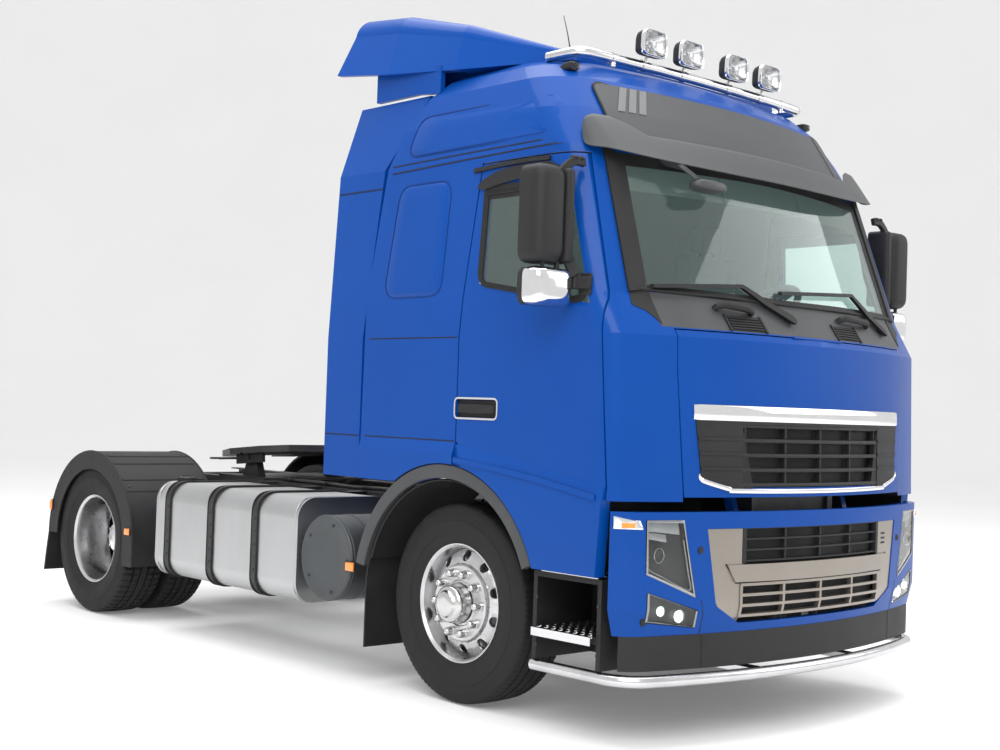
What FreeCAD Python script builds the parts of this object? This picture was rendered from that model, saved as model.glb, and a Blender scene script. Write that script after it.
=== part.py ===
import FreeCAD, Part
import math
import os
import Sketcher
from FreeCAD import Placement, Rotation, Vector

# A cab-over road tractor with two axles and a high sleeper cab.
# Z is up, the front faces -Y, the driver's side is +X. Lengths are in millimetres.
# Every outline is drawn from the front axle, over the ground, and every piece is then set forward
# by the same amount, so that the origin lies on the ground at the middle of the length.

doc = FreeCAD.newDocument("tractor_unit")
sheet = doc.addObject("Spreadsheet::Sheet", "Sizes")


class Size:
    """A length or angle worked out from the sheet: its value, and the expression that binds it."""

    def __init__(self, value, text):
        self.value = float(value)
        self.text = text

    def __add__(self, other):
        other = size_of(other)
        return Size(self.value + other.value, "(%s + %s)" % (self.text, other.text))

    def __sub__(self, other):
        other = size_of(other)
        return Size(self.value - other.value, "(%s - %s)" % (self.text, other.text))

    def __mul__(self, other):
        other = size_of(other)
        return Size(self.value * other.value, "%s * %s" % (self.text, other.text))

    def __truediv__(self, other):
        other = size_of(other)
        return Size(self.value / other.value, "(%s / %s)" % (self.text, other.text))

    def __neg__(self):
        return Size(-self.value, "(0 - %s)" % self.text)

    def __radd__(self, other):
        return size_of(other) + self

    def __rsub__(self, other):
        return size_of(other) - self

    def __rmul__(self, other):
        return size_of(other) * self


def size_of(thing):
    return thing if isinstance(thing, Size) else Size(thing, "(%r)" % float(thing))


def root_of(size):
    return Size(math.sqrt(size.value), "sqrt(%s)" % size.text)


def sine_of(angle):
    return Size(math.sin(math.radians(angle.value)), "sin(%s * 1 deg)" % angle.text)


def cosine_of(angle):
    return Size(math.cos(math.radians(angle.value)), "cos(%s * 1 deg)" % angle.text)


class Sheet:
    """Puts named numbers on the spreadsheet and gives each back as a Size."""

    def __init__(self):
        self.row = 0

    def add(self, **numbers):
        for name, number in numbers.items():
            self.row += 1
            cell = "B%d" % self.row
            sheet.set("A%d" % self.row, name)
            sheet.set(cell, str(number))
            sheet.setAlias(cell, name)
            setattr(self, name, Size(number, "Sizes." + name))


S = Sheet()


def bind(thing, prop, size):
    thing.setExpression(prop, size_of(size).text)


def bind_place(thing, across, along, up):
    """Places a primitive, given from the front axle, in the part's own frame."""
    bind(thing, "Placement.Base.x", across)
    bind(thing, "Placement.Base.y", along + DATUM)
    bind(thing, "Placement.Base.z", up)


# Sketches and the solids that are drawn from them

PLANES = {"X": "YZ_Plane", "Y": "XZ_Plane", "Z": "XY_Plane"}


def new_body(name):
    body = doc.addObject("PartDesign::Body", name)
    bind(body, "Placement.Base.y", DATUM)
    return body


def origin_item(body, role):
    return next(item for item in body.Origin.OriginFeatures if item.Role == role)


def new_sketch(body, name, normal, offset=0):
    """A sketch on one of the body's planes. Its offset is along the positive axis of that name."""
    sketch = body.newObject("Sketcher::SketchObject", name)
    sketch.AttachmentSupport = [(origin_item(body, PLANES[normal]), "")]
    sketch.MapMode = "FlatFace"
    bind(sketch, "AttachmentOffset.Base.z", -size_of(offset) if normal == "Y" else offset)
    return sketch


def arc_middle(start, end, radius):
    """The middle of an arc. A positive radius bows it to the left of the way from start to end."""
    chord = end - start
    half = chord.Length / 2
    sagitta = abs(radius) - math.sqrt(max(radius * radius - half * half, 0))
    left = Vector(-chord.y, chord.x, 0).normalize()
    return (start + end) / 2 + left * math.copysign(sagitta, radius)


def pin_down(sketch, edge, end, place):
    """Ties one end of an edge to its place on the sketch."""
    for axis, kind, size in ((-2, "DistanceX", place[0]), (-1, "DistanceY", place[1])):
        size = size_of(size)
        if size.text == "(0.0)":
            sketch.addConstraint(Sketcher.Constraint("PointOnObject", edge, end, axis))
        else:
            at = sketch.addConstraint(Sketcher.Constraint(kind, -1, 1, edge, end, size.value))
            bind(sketch, "Constraints[%d]" % at, size)


def outline(sketch, places, closed=True):
    """Draws an outline. A place is (x, y), or (x, y, radius) where an arc leaves it."""
    points = [Vector(size_of(p[0]).value, size_of(p[1]).value, 0) for p in places]
    count = len(places) if closed else len(places) - 1
    start = sketch.GeometryCount
    for i in range(count):
        here, there = points[i], points[(i + 1) % len(points)]
        if len(places[i]) == 3:
            middle = arc_middle(here, there, places[i][2].value)
            clockwise = places[i][2].value > 0
            edge = Part.Arc(there, middle, here) if clockwise else Part.Arc(here, middle, there)
        else:
            edge = Part.LineSegment(here, there)
        sketch.addGeometry(edge)
    ends = []
    for place in places[:count]:
        ends.append((2, 1) if len(place) == 3 and place[2].value > 0 else (1, 2))
    for i in range(count):
        pin_down(sketch, start + i, ends[i][0], places[i])
        if closed or i + 1 < count:
            after = (i + 1) % count
            sketch.addConstraint(Sketcher.Constraint(
                "Coincident", start + i, ends[i][1], start + after, ends[after][0]))
        else:
            pin_down(sketch, start + i, ends[i][1], places[i + 1])
        if len(places[i]) == 3:
            radius = places[i][2] if places[i][2].value > 0 else -places[i][2]
            at = sketch.addConstraint(Sketcher.Constraint("Radius", start + i, radius.value))
            bind(sketch, "Constraints[%d]" % at, radius)


def circle(sketch, across, up, radius):
    centre = Vector(size_of(across).value, size_of(up).value, 0)
    edge = sketch.addGeometry(Part.Circle(centre, Vector(0, 0, 1), radius.value))
    pin_down(sketch, edge, 3, (across, up))
    at = sketch.addConstraint(Sketcher.Constraint("Radius", edge, radius.value))
    bind(sketch, "Constraints[%d]" % at, radius)


def pad(body, sketch, length, name="Pad"):
    feature = body.newObject("PartDesign::Pad", name)
    feature.Profile = sketch
    bind(feature, "Length", length)
    sketch.Visibility = False
    return feature


def prism(name, normal, places, low, high, holes=()):
    """An outline drawn square to an axis and padded along it from low to high."""
    body = new_body(name)
    sketch = new_sketch(body, name + "_outline", normal, high if normal == "Y" else low)
    outline(sketch, places)
    for hole in holes:
        outline(sketch, hole)
    pad(body, sketch, high - low, name + "_pad")
    return body


def box(name, xs, ys, zs):
    block = doc.addObject("Part::Box", name)
    for prop, ends in (("Length", xs), ("Width", ys), ("Height", zs)):
        bind(block, prop, size_of(ends[1]) - ends[0])
    bind_place(block, xs[0], ys[0], zs[0])
    return block


QUARTER = 90
FULL = 360
TURNS = {"X": Rotation(Vector(0, 1, 0), QUARTER), "Y": Rotation(Vector(1, 0, 0), -QUARTER), "Z": Rotation()}


def rod(name, axis, place, radius, length, far_radius=None):
    """A cylinder or cone that runs from its place along a positive axis."""
    kind = "Part::Cylinder" if far_radius is None else "Part::Cone"
    bar = doc.addObject(kind, name)
    bar.Placement = Placement(Vector(), TURNS[axis])
    bind(bar, "Height", length)
    if far_radius is None:
        bind(bar, "Radius", radius)
    else:
        bind(bar, "Radius1", radius)
        bind(bar, "Radius2", far_radius)
    bind_place(bar, *place)
    return bar


def revolved(name, places, across, along, up):
    """A profile of (lateral place, radius) pairs turned about a lateral axis."""
    body = doc.addObject("PartDesign::Body", name)
    bind_place(body, across, along, up)
    sketch = new_sketch(body, name + "_profile", "Z")
    outline(sketch, places)
    turn = body.newObject("PartDesign::Revolution", name + "_turn")
    turn.Profile = sketch
    turn.ReferenceAxis = (sketch, ["H_Axis"])
    turn.Angle = FULL
    sketch.Visibility = False
    return body


def piped(name, plan, radius, height):
    """A round tube along an open plan outline whose first run is square to the XZ plane."""
    body = new_body(name)
    path = new_sketch(body, name + "_path", "Z", height)
    outline(path, plan, closed=False)
    ring = new_sketch(body, name + "_ring", "Y", plan[0][1])
    circle(ring, plan[0][0], height, radius)
    tube = body.newObject("PartDesign::AdditivePipe", name + "_tube")
    tube.Profile = ring
    tube.Spine = (path, ["Edge%d" % (i + 1) for i in range(len(plan) - 1)])
    for sketch in (path, ring):
        sketch.Visibility = False
    return body


def lofted(name, sections, draw, normal):
    """A straight-sided loft through outlines that draw makes at each section's own offset."""
    body = new_body(name)
    sketches = []
    for i, section in enumerate(sections):
        sketch = new_sketch(body, "%s_section_%d" % (name, i + 1), normal, section[0])
        outline(sketch, draw(*section[1:]))
        sketch.Visibility = False
        sketches.append(sketch)
    loft = body.newObject("PartDesign::AdditiveLoft", name + "_loft")
    loft.Profile = sketches[0]
    loft.Sections = [(sketch, [""]) for sketch in sketches[1:]]
    loft.Ruled = True
    return body


# Booleans, mirrors and groups

def cut(name, base, *tools):
    for i, tool in enumerate(tools):
        result = doc.addObject("Part::Cut", name if i + 1 == len(tools) else "%s_%d" % (name, i))
        result.Base = base
        result.Tool = tool
        base = result
    return base


def common(name, first, second):
    result = doc.addObject("Part::Common", name)
    result.Base = first
    result.Tool = second
    return result


def fuse(name, *pieces):
    result = doc.addObject("Part::MultiFuse", name)
    result.Shapes = list(pieces)
    result.Refine = True
    return result


def mirror(name, source):
    result = doc.addObject("Part::Mirroring", name)
    result.Source = source
    result.Normal = Vector(1, 0, 0)
    return result


def group(name, *pieces):
    result = doc.addObject("Part::Compound", name)
    result.Links = list(pieces)
    return result


def pair(name, piece):
    """A right-hand piece and its left-hand mirror image, as one node."""
    return group(name, piece, mirror(name + "_left", piece))


NODES = []


def node(name, piece):
    piece.Label = name
    NODES.append(piece)
    return piece

# Sizes of the whole

S.add(wheelbase=3700, frame_rear=4480, frame_front=-1080, tube_front=-1400, half=0.5)
DATUM = -(S.frame_rear + S.tube_front) * S.half
S.add(overrun=20, face_gap=0.3)

# The chassis frame: two channel rails and the members between them

S.add(rail_outer=425, rail_flange=80, rail_web=9, rail_top=950, rail_height=270, rail_nose=120)
S.add(member_depth=200, member_run=90, member_wall=9, front_member_run=150)
S.add(member_1=-1080, member_2=1500, member_3=2420, member_4=3210, member_5=4390)
RAIL_LOW = S.rail_top - S.rail_height


def rail():
    low, high, web = RAIL_LOW, S.rail_top, S.rail_web
    inner = S.rail_outer - S.rail_flange
    section = [(-S.rail_outer, low), (-inner, low), (-inner, low + web),
               (web - S.rail_outer, low + web), (web - S.rail_outer, high - web),
               (-inner, high - web), (-inner, high), (-S.rail_outer, high)]
    channel = prism("rail_right", "Y", section, S.frame_front, S.frame_rear)
    nose = prism("rail_tail_cut", "X", [
        (S.frame_rear + S.overrun, low - S.overrun), (S.frame_rear + S.overrun, low + S.rail_nose),
        (S.frame_rear, low + S.rail_nose), (S.frame_rear - S.rail_nose - S.rail_nose, low),
        (S.frame_rear - S.rail_nose - S.rail_nose, low - S.overrun)],
        -S.rail_outer - S.overrun, -inner + S.overrun)
    return cut("rail_right_cut", channel, nose)


def crossmembers():
    reach = S.rail_outer - S.rail_web
    middle = RAIL_LOW + S.rail_height * S.half
    low, high = middle - S.member_depth * S.half, middle + S.member_depth * S.half
    wall = S.member_wall
    members = []
    for i, along in enumerate((S.member_1, S.member_2, S.member_3, S.member_4, S.member_5)):
        run = S.front_member_run if i == 0 else S.member_run
        section = [(along, low), (along + run, low), (along + run, low + wall),
                   (along + wall, low + wall), (along + wall, high - wall),
                   (along + run, high - wall), (along + run, high), (along, high)]
        members.append(prism("crossmember_%d" % (i + 1), "X", section, -reach, reach))
    return members


node("frame_rails", pair("frame_rails", rail()))
node("frame_crossmembers", group("frame_crossmembers", *crossmembers()))

# Engine, gearbox, radiator and propshaft

S.add(engine_front=-880, engine_rear=420, engine_half_width=320, engine_low=580, engine_high=1270)
S.add(sump_drop=60, gearbox_rear=1420, gearbox_radius=230, gearbox_z=760)
S.add(gearbox_tail_radius=150, gearbox_tail=260)
S.add(radiator_front=-1190, radiator_depth=90, radiator_half_width=295, radiator_low=705)
S.add(radiator_high=1220, tank_side=40, shaft_radius=55, shaft_z=640, yoke_radius=70, yoke_run=120)
S.add(diff_front=3330)


def engine():
    block = box("engine_core", (-S.engine_half_width, S.engine_half_width),
                (S.engine_front, S.engine_rear), (S.engine_low, S.engine_high))
    bell = rod("gearbox_case", "Y", (0, S.engine_rear, S.gearbox_z), S.gearbox_radius,
               S.gearbox_rear - S.engine_rear - S.gearbox_tail)
    tail = rod("gearbox_tail", "Y", (0, S.gearbox_rear - S.gearbox_tail, S.gearbox_z - S.sump_drop),
               S.gearbox_tail_radius, S.gearbox_tail)
    return fuse("engine_block", block, bell, tail)


def radiator():
    half, front = S.radiator_half_width, S.radiator_front
    core = box("radiator_core", (-half, half), (front, front + S.radiator_depth),
               (S.radiator_low, S.radiator_high))
    sides = [box("radiator_side_%d" % i, xs, (front - S.tank_side * S.half, front + S.radiator_depth),
                 (S.radiator_low, S.radiator_high))
             for i, xs in enumerate(((-half - S.tank_side, -half), (half, half + S.tank_side)))]
    foot = box("radiator_foot", (-half, half), (front, S.frame_front),
               (S.radiator_low, S.radiator_low + S.tank_side))
    return fuse("radiator", core, foot, *sides)


def propshaft():
    start = S.gearbox_rear
    shaft = rod("propshaft_tube", "Y", (0, start, S.shaft_z), S.shaft_radius, S.diff_front - start)
    yokes = [rod("propshaft_yoke_%d" % i, "Y", (0, along, S.shaft_z), S.yoke_radius, S.yoke_run)
             for i, along in enumerate((start, S.diff_front - S.yoke_run))]
    return fuse("propshaft", shaft, *yokes)


node("engine_block", engine())
node("radiator", radiator())
node("propshaft", propshaft())

# Front axle: a dropped beam on two leaf springs

S.add(axle_z=507, kingpin_x=880, beam_eye_radius=62, beam_eye_low=420, beam_eye_high=600)
S.add(beam_low=340, beam_high=440, beam_half_depth=55, beam_drop_in=560, beam_drop_out=760)
S.add(kingpin_radius=25, spring_x=382, spring_width=80, spring_thick=55, spring_front=-800)
S.add(spring_rear=780, spring_end_z=615, shackle_half=45)


def front_axle():
    out, inn = S.beam_drop_out, S.beam_drop_in
    low, high = S.beam_low, S.beam_high
    top, foot = S.beam_eye_high, S.beam_eye_low
    beam = prism("axle_beam", "Y", [
        (-S.kingpin_x, foot), (-out, foot), (-inn, low), (inn, low), (out, foot),
        (S.kingpin_x, foot), (S.kingpin_x, top), (out, top), (inn, high), (-inn, high),
        (-out, top), (-S.kingpin_x, top)], -S.beam_half_depth, S.beam_half_depth)
    solids = [beam]
    bores = []
    for side in (-1, 1):
        at = (S.kingpin_x * side, size_of(0), foot)
        solids.append(rod("beam_eye_%d" % side, "Z", at, S.beam_eye_radius, top - foot))
        bores.append(rod("beam_bore_%d" % side, "Z", (at[0], at[1], foot - S.overrun),
                         S.kingpin_radius + S.face_gap, top - foot + S.overrun + S.overrun))
    return cut("axle_beam_bored", fuse("axle_beam_whole", *solids), *bores)


def front_spring():
    """Two straight halves that meet over the beam, as the flat side view of a parabolic leaf."""
    thick, end = S.spring_thick, S.spring_end_z
    inner, outer = S.spring_x - S.spring_width * S.half, S.spring_x + S.spring_width * S.half
    seat = S.beam_high
    leaf = prism("spring_leaf", "X", [
        (S.spring_front, end), (-S.beam_half_depth, seat), (S.beam_half_depth, seat),
        (S.spring_rear, end), (S.spring_rear, RAIL_LOW),
        (S.spring_rear - S.shackle_half, RAIL_LOW), (S.spring_rear - S.shackle_half, end + thick),
        (S.beam_half_depth, seat + thick), (-S.beam_half_depth, seat + thick),
        (S.spring_front + S.shackle_half, end + thick),
        (S.spring_front + S.shackle_half, RAIL_LOW), (S.spring_front, RAIL_LOW)], -outer, -inner)
    return leaf


node("front_axle", front_axle())
node("front_springs", pair("front_springs", front_spring()))

# Rear axle and its air suspension

S.add(diff_radius=215, diff_half=85, diff_foot=230, axle_tube_radius=72, hub_face=588)
S.add(spindle_radius=45, spindle_end=930)
S.add(nose_radius=120, arm_x=470, arm_width=70, arm_high=420, arm_low=345, arm_front=3080)
S.add(arm_rear=4300, bag_radius=110, bag_reach=430, seat_half=70)


def rear_axle():
    face, end = S.hub_face, S.spindle_end
    case = revolved("axle_case", [
        (-end, 0), (end, 0), (end, S.spindle_radius), (face, S.spindle_radius),
        (face, S.axle_tube_radius), (S.diff_foot, S.axle_tube_radius), (S.diff_half, S.diff_radius),
        (-S.diff_half, S.diff_radius), (-S.diff_foot, S.axle_tube_radius),
        (-face, S.axle_tube_radius), (-face, S.spindle_radius), (-end, S.spindle_radius)],
        0, S.wheelbase, S.axle_z)
    nose = rod("diff_nose", "Y", (0, S.diff_front, S.shaft_z), S.nose_radius,
               S.wheelbase - S.diff_front)
    return fuse("rear_axle", case, nose)


def rear_arm():
    inner, outer = S.arm_x - S.arm_width * S.half, S.arm_x + S.arm_width * S.half
    tube_low = S.axle_z - S.axle_tube_radius
    arm = box("rear_arm_beam", (-outer, -inner), (S.arm_front, S.arm_rear), (S.arm_low, S.arm_high))
    seat = box("rear_arm_seat", (-outer, -inner),
               (S.wheelbase - S.seat_half, S.wheelbase + S.seat_half), (S.arm_high, tube_low))
    bags = []
    for i, way in enumerate((-1, 1)):
        along = S.wheelbase + S.bag_reach * way
        bags.append(rod("air_bag_%d" % i, "Z", (-S.rail_outer, along, S.arm_high), S.bag_radius,
                        RAIL_LOW - S.arm_high))
    return fuse("rear_arm_right", arm, seat, *bags)


node("rear_axle", rear_axle())
node("rear_suspension", pair("rear_suspension", rear_arm()))

# Fuel tank, straps, silencer and the boxes on the other side

S.add(tank_outer=1220, tank_inner=560, tank_low=350, tank_high=950, tank_front=1290, tank_rear=2876)
S.add(tank_corner=120, strap_thick=8, strap_width=60, strap_1=1720, strap_2=2210, strap_3=2720)
S.add(cap_radius=50, cap_height=30, cap_y=2812, cap_x=1040)
S.add(silencer_y=1032, silencer_z=636, silencer_radius=235, silencer_outer=1200, silencer_inner=520)
S.add(silencer_rim=22, stay_half=60, silencer_dish=25)
S.add(store_outer=1200, store_front=900, store_rear=2750, store_low=380, store_high=930)
S.add(store_split=1750, store_gap=60, store_corner=40)


def rounded_section(x_low, x_high, z_low, z_high, corner):
    return [(x_low + corner, z_low), (x_high - corner, z_low, -corner), (x_high, z_low + corner),
            (x_high, z_high - corner, -corner), (x_high - corner, z_high),
            (x_low + corner, z_high, -corner), (x_low, z_high - corner),
            (x_low, z_low + corner, -corner)]


def tank_section(grow):
    grow = size_of(grow)
    return rounded_section(-S.tank_outer - grow, -S.tank_inner + grow, S.tank_low - grow,
                           S.tank_high + grow, S.tank_corner + grow)


def fuel_tank():
    shell = prism("tank_shell", "Y", tank_section(0), S.tank_front, S.tank_rear)
    cap = rod("tank_cap", "Z", (-S.cap_x, S.cap_y, S.tank_high), S.cap_radius, S.cap_height)
    return fuse("fuel_tank", shell, cap)


def tank_strap(name, along):
    half = S.strap_width * S.half
    return prism(name, "Y", tank_section(S.face_gap + S.strap_thick), along - half, along + half,
                 holes=[tank_section(S.face_gap)])


def tank_bracket(name, along):
    half = S.strap_width * S.half
    return box(name, (-S.tank_inner + S.face_gap + S.strap_thick, -S.rail_outer),
               (along - half, along + half), (RAIL_LOW, S.rail_top))


def tank_straps():
    straps = []
    for i, along in enumerate((S.strap_1, S.strap_2, S.strap_3)):
        straps.append(tank_strap("tank_strap_%d" % i, along))
        straps.append(tank_bracket("tank_bracket_%d" % i, along))
    return fuse("tank_straps", *straps)


def silencer():
    length = S.silencer_outer - S.silencer_inner
    can = revolved("silencer_can", [
        (0, 0), (length, 0), (length, S.silencer_radius - S.silencer_rim),
        (length - S.silencer_rim, S.silencer_radius), (S.silencer_rim, S.silencer_radius),
        (0, S.silencer_radius - S.silencer_rim), (S.silencer_dish, S.silencer_radius - S.silencer_rim
                                                  - S.silencer_rim), (S.silencer_dish, 0)][1:],
        -S.silencer_outer, S.silencer_y, S.silencer_z)
    stay = box("silencer_stay", (-S.silencer_inner, -S.rail_outer),
               (S.silencer_y - S.stay_half, S.silencer_y + S.stay_half),
               (RAIL_LOW, S.silencer_z + S.silencer_radius * S.half))
    return fuse("silencer", can, stay)


def side_boxes():
    corner = S.store_corner
    section = rounded_section(S.rail_outer, S.store_outer, S.store_low, S.store_high, corner)
    return [prism("store_box_1", "Y", section, S.store_front, S.store_split - S.store_gap),
            prism("store_box_2", "Y", section, S.store_split, S.store_rear)]


node("fuel_tank", fuel_tank())
node("tank_straps", tank_straps())
node("silencer", silencer())
node("battery_and_tank_boxes", group("battery_and_tank_boxes", *side_boxes()))

# Rear fenders, front mudguards, steps and the tube in front

S.add(fender_radius=600, fender_wall=12, fender_outer=1270, fender_inner=610, fender_low=370)
S.add(flap_low=228, flap_lean=60, skirt_drop=110, fender_arm_radius=28)
S.add(fender_arm_z=800, fender_arm_y=3085)
S.add(guard_radius=655, guard_wall=10, guard_outer=1215, guard_inner=760, guard_low=200)
S.add(guard_stop=58)


def arch(centre, base, radius):
    """Half a circle over its centre, drawn towards +Y as two quarters."""
    return [(centre - radius, base, radius), (centre, base + radius, radius), (centre + radius, base)]


def arch_back(centre, base, radius):
    """The same half circle drawn towards -Y."""
    return [(centre + radius, base, -radius), (centre, base + radius, -radius),
            (centre - radius, base)]


def rear_fender():
    outer, inner, wall = S.fender_radius, S.fender_radius - S.fender_wall, S.fender_wall
    centre, low, rear_low = S.wheelbase, S.fender_low, S.flap_low
    band = prism("fender_band", "X", [
        (centre - outer, low), *arch(centre, S.axle_z, outer),
        (centre + outer + S.flap_lean, rear_low), (centre + inner + S.flap_lean, rear_low),
        *arch_back(centre, S.axle_z, inner), (centre - inner, low)],
        -S.fender_outer, -S.fender_inner)
    skirt_in = inner - S.skirt_drop
    skirt = prism("fender_skirt", "X", [
        (centre - inner, low), *arch(centre, S.axle_z, inner),
        *arch_back(centre, S.axle_z, skirt_in), (centre - skirt_in, low)],
        -S.fender_outer, wall - S.fender_outer)
    arm = rod("fender_arm", "X", (-S.fender_inner - S.fender_wall, S.fender_arm_y, S.fender_arm_z),
              S.fender_arm_radius, S.fender_inner + S.fender_wall - S.rail_outer)
    arm_end = box("fender_arm_end", (-S.fender_inner - S.fender_wall, -S.fender_inner),
                  (S.fender_arm_y - S.fender_arm_radius, centre - outer + S.fender_wall * S.half),
                  (S.fender_arm_z - S.fender_arm_radius, S.fender_arm_z + S.fender_arm_radius))
    rear_arm = rod("fender_rear_arm", "X",
                   (-S.fender_inner - S.fender_wall, centre + outer + S.fender_arm_radius,
                    S.fender_arm_z), S.fender_arm_radius,
                   S.fender_inner + S.fender_wall - S.rail_outer)
    rear_end = box("fender_rear_end", (-S.fender_inner - S.fender_wall, -S.fender_inner),
                   (centre + inner * cosine_of(S.fender_lug), centre + outer + S.fender_arm_radius),
                   (S.fender_arm_z - S.fender_arm_radius, S.fender_arm_z + S.fender_arm_radius))
    return fuse("rear_fender", band, skirt, arm, arm_end, rear_arm, rear_end)


S.add(fender_lug=28)


def front_guard():
    outer, inner = S.guard_radius, S.guard_radius - S.guard_wall
    stop = S.guard_stop
    band = prism("guard_band", "X", [
        (outer, S.guard_low), (outer, S.axle_z, -outer),
        (outer * cosine_of(stop), S.axle_z + outer * sine_of(stop)),
        (inner * cosine_of(stop), S.axle_z + inner * sine_of(stop), inner),
        (inner, S.axle_z), (inner, S.guard_low)], -S.guard_outer, -S.guard_inner)
    return band


S.add(step_outer=1200, step_inner=800, step_front=-1050, step_rear=-615, step_low=332)
S.add(step_high=742, step_wall=25, tread_z=450, tread_thick=30)


def steps():
    wall = S.step_wall
    case = box("step_case", (-S.step_outer, -S.step_inner), (S.step_front, S.step_rear),
               (S.step_low, S.step_high))
    upper = box("step_upper_well", (-S.step_outer - S.overrun, -S.step_inner - wall),
                (S.step_front + wall, S.step_rear - wall),
                (S.tread_z + S.tread_thick, S.step_high - wall))
    lower = box("step_lower_well", (-S.step_outer - S.overrun, -S.step_inner - wall),
                (S.step_front + wall, S.step_rear - wall), (S.step_low - S.overrun, S.tread_z))
    stay = box("step_stay", (-S.step_inner, -S.rail_outer),
               (S.step_front, S.step_front + wall + wall), (RAIL_LOW, S.step_high))
    return fuse("step_whole", cut("step_box", case, upper, lower), stay)


node("rear_fenders", pair("rear_fenders", rear_fender()))
node("steps", pair("steps", steps()))

# The cab's outer form: plan sections from the sill to the roof

S.add(cab_low=1100, cab_waist=1850, screen_low=2040, screen_high=2750, roof_edge=3120, roof_top=3260)
S.add(cab_half=1245, cab_half_rail=1200, cab_half_edge=1105, cab_half_roof=930)
S.add(brow=2950, cab_half_brow=1165, brow_y=-832, corner_brow=215, rear_brow=505)
S.add(crown=3208, cab_half_crown=1022, crown_y=-612, corner_crown=290, rear_crown=318)
S.add(face_low_y=-1372, face_waist_y=-1352, screen_low_y=-1215, screen_high_y=-960)
S.add(edge_y=-715, roof_y=-480, face_bow=3300, screen_bow=3800)
S.add(corner_low=110, corner_screen=125, corner_rail=170, corner_edge=260, corner_roof=320)
S.add(rear_low=707, rear_waist=694, rear_rail=600, rear_edge=384, rear_roof=230)
S.add(cab_wall=55, floor_low=1315, floor_thick=45, firewall_y=-1120)


def plan(half, front, bow, corner, rear):
    """A cab plan: bowed front, two round corners, straight sides and a straight back."""
    side = half - corner
    corner_y = front + bow - root_of((bow - corner) * (bow - corner) - side * side)
    reach = bow / (bow - corner)
    meet_x = side * reach
    meet_y = front + bow + (corner_y - front - bow) * reach
    return [(-half, rear), (-half, corner_y, -corner), (-meet_x, meet_y, -bow),
            (meet_x, meet_y, -corner), (half, corner_y), (half, rear)]


def cab_sections(grow):
    """The cab's plan sections, all set out by grow, which is negative for an inner face."""
    g = size_of(grow)
    rows = [
        (S.cab_low, S.cab_half, S.face_low_y, S.face_bow, S.corner_low, S.rear_low),
        (S.cab_waist, S.cab_half, S.face_waist_y, S.face_bow, S.corner_low, S.rear_waist),
        (S.screen_low, S.cab_half, S.screen_low_y, S.screen_bow, S.corner_screen, S.rear_waist),
        (S.screen_high, S.cab_half_rail, S.screen_high_y, S.screen_bow, S.corner_rail, S.rear_rail),
        (S.brow, S.cab_half_brow, S.brow_y, S.screen_bow, S.corner_brow, S.rear_brow),
        (S.roof_edge, S.cab_half_edge, S.edge_y, S.screen_bow, S.corner_edge, S.rear_edge),
        (S.crown, S.cab_half_crown, S.crown_y, S.screen_bow, S.corner_crown, S.rear_crown),
        (S.roof_top, S.cab_half_roof, S.roof_y, S.screen_bow, S.corner_roof, S.rear_roof)]
    return [(z, half + g, front - g, bow + g, corner + g, rear + g)
            for z, half, front, bow, corner, rear in rows]


# The runs of sections that each part of the cab is skinned through
EVERY_ROW = (0, 8)
NOSE_ROWS = (0, 3)
ROOM_ROWS = (0, 4)
SCREEN_ROWS = (1, 4)
BROW_ROWS = (3, 8)


def cab_form(name, grow, rows=EVERY_ROW):
    return lofted(name, cab_sections(grow)[slice(*rows)], plan, "Z")


def inner_form(name, floor, grow=None):
    """The hollow of the cab: the same sections set in by the wall, closed below at its floor."""
    grow = -S.cab_wall if grow is None else grow
    rows = cab_sections(grow)
    rows[-1] = (S.roof_top - S.cab_wall,) + rows[-1][1:]
    body = lofted(name, rows, plan, "Z")
    below = box(name + "_below", (-S.cab_half - S.overrun, S.cab_half + S.overrun),
                (S.tube_front, S.frame_rear), (S.cab_low - S.overrun, floor))
    return cut(name + "_trimmed", body, below)


# Side outlines of the door, its window and its lower panel, and the front outlines

S.add(door_front_low_y=-1062, door_front_sill_y=-1088, door_sill_front_z=1160, door_sill_rear_z=1320)
S.add(door_front_waist_y=-1028, door_waist=2003, door_front_top_y=-800, door_top=2700)
S.add(door_rear_y=-75, door_rear_top_y=-165, door_low_z=757, door_low_rear_y=-640, door_gap=8)
S.add(arch_radius=705, arch_inner=630)
S.add(glass_top=2575, glass_rear_y=-205, glass_front_top_y=-765, glass_low_rear=2105)
S.add(glass_low_front=1985, glass_front_low_y=-960, glass_depth=12)
S.add(door_wall=50, door_reach_x=1088, low_panel_wall=45, bulge=20, bulge_band=62, seam_lean=12)
S.add(arch_corner_y=-150, arch_corner_z=1150)


def door_outline(grow):
    g = size_of(grow)
    return [(S.door_front_sill_y - g, S.door_sill_front_z - g), (S.door_rear_y + g,
                                                               S.door_sill_rear_z - g),
            (S.door_rear_y + g, S.cab_waist), (S.door_rear_top_y + g, S.door_top + g),
            (S.door_front_top_y - g, S.door_top + g), (S.door_front_waist_y - g, S.door_waist)]


def low_outline(grow):
    """The lower panel, which the door carries down over the sill and along the wheel arch."""
    g = size_of(grow)
    return [(S.door_front_low_y - g, S.door_low_z - g), (S.door_low_rear_y + g, S.door_low_z - g),
            (S.arch_corner_y + g, S.arch_corner_z - g), (S.door_rear_y - S.seam_lean + g,
                                                         S.door_sill_rear_z + g),
            (S.door_front_sill_y - g, S.door_sill_front_z + g)]


def bulge_section(top):
    """The lower panel's section: its face stands proud below a slanted band along its top."""
    low, inner = S.door_low_z, S.low_panel_wall - S.cab_half
    return [(inner, low), (inner, top), (-S.cab_half, top),
            (-S.cab_half - S.bulge, top - S.bulge_band), (-S.cab_half - S.bulge, low)]


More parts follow.
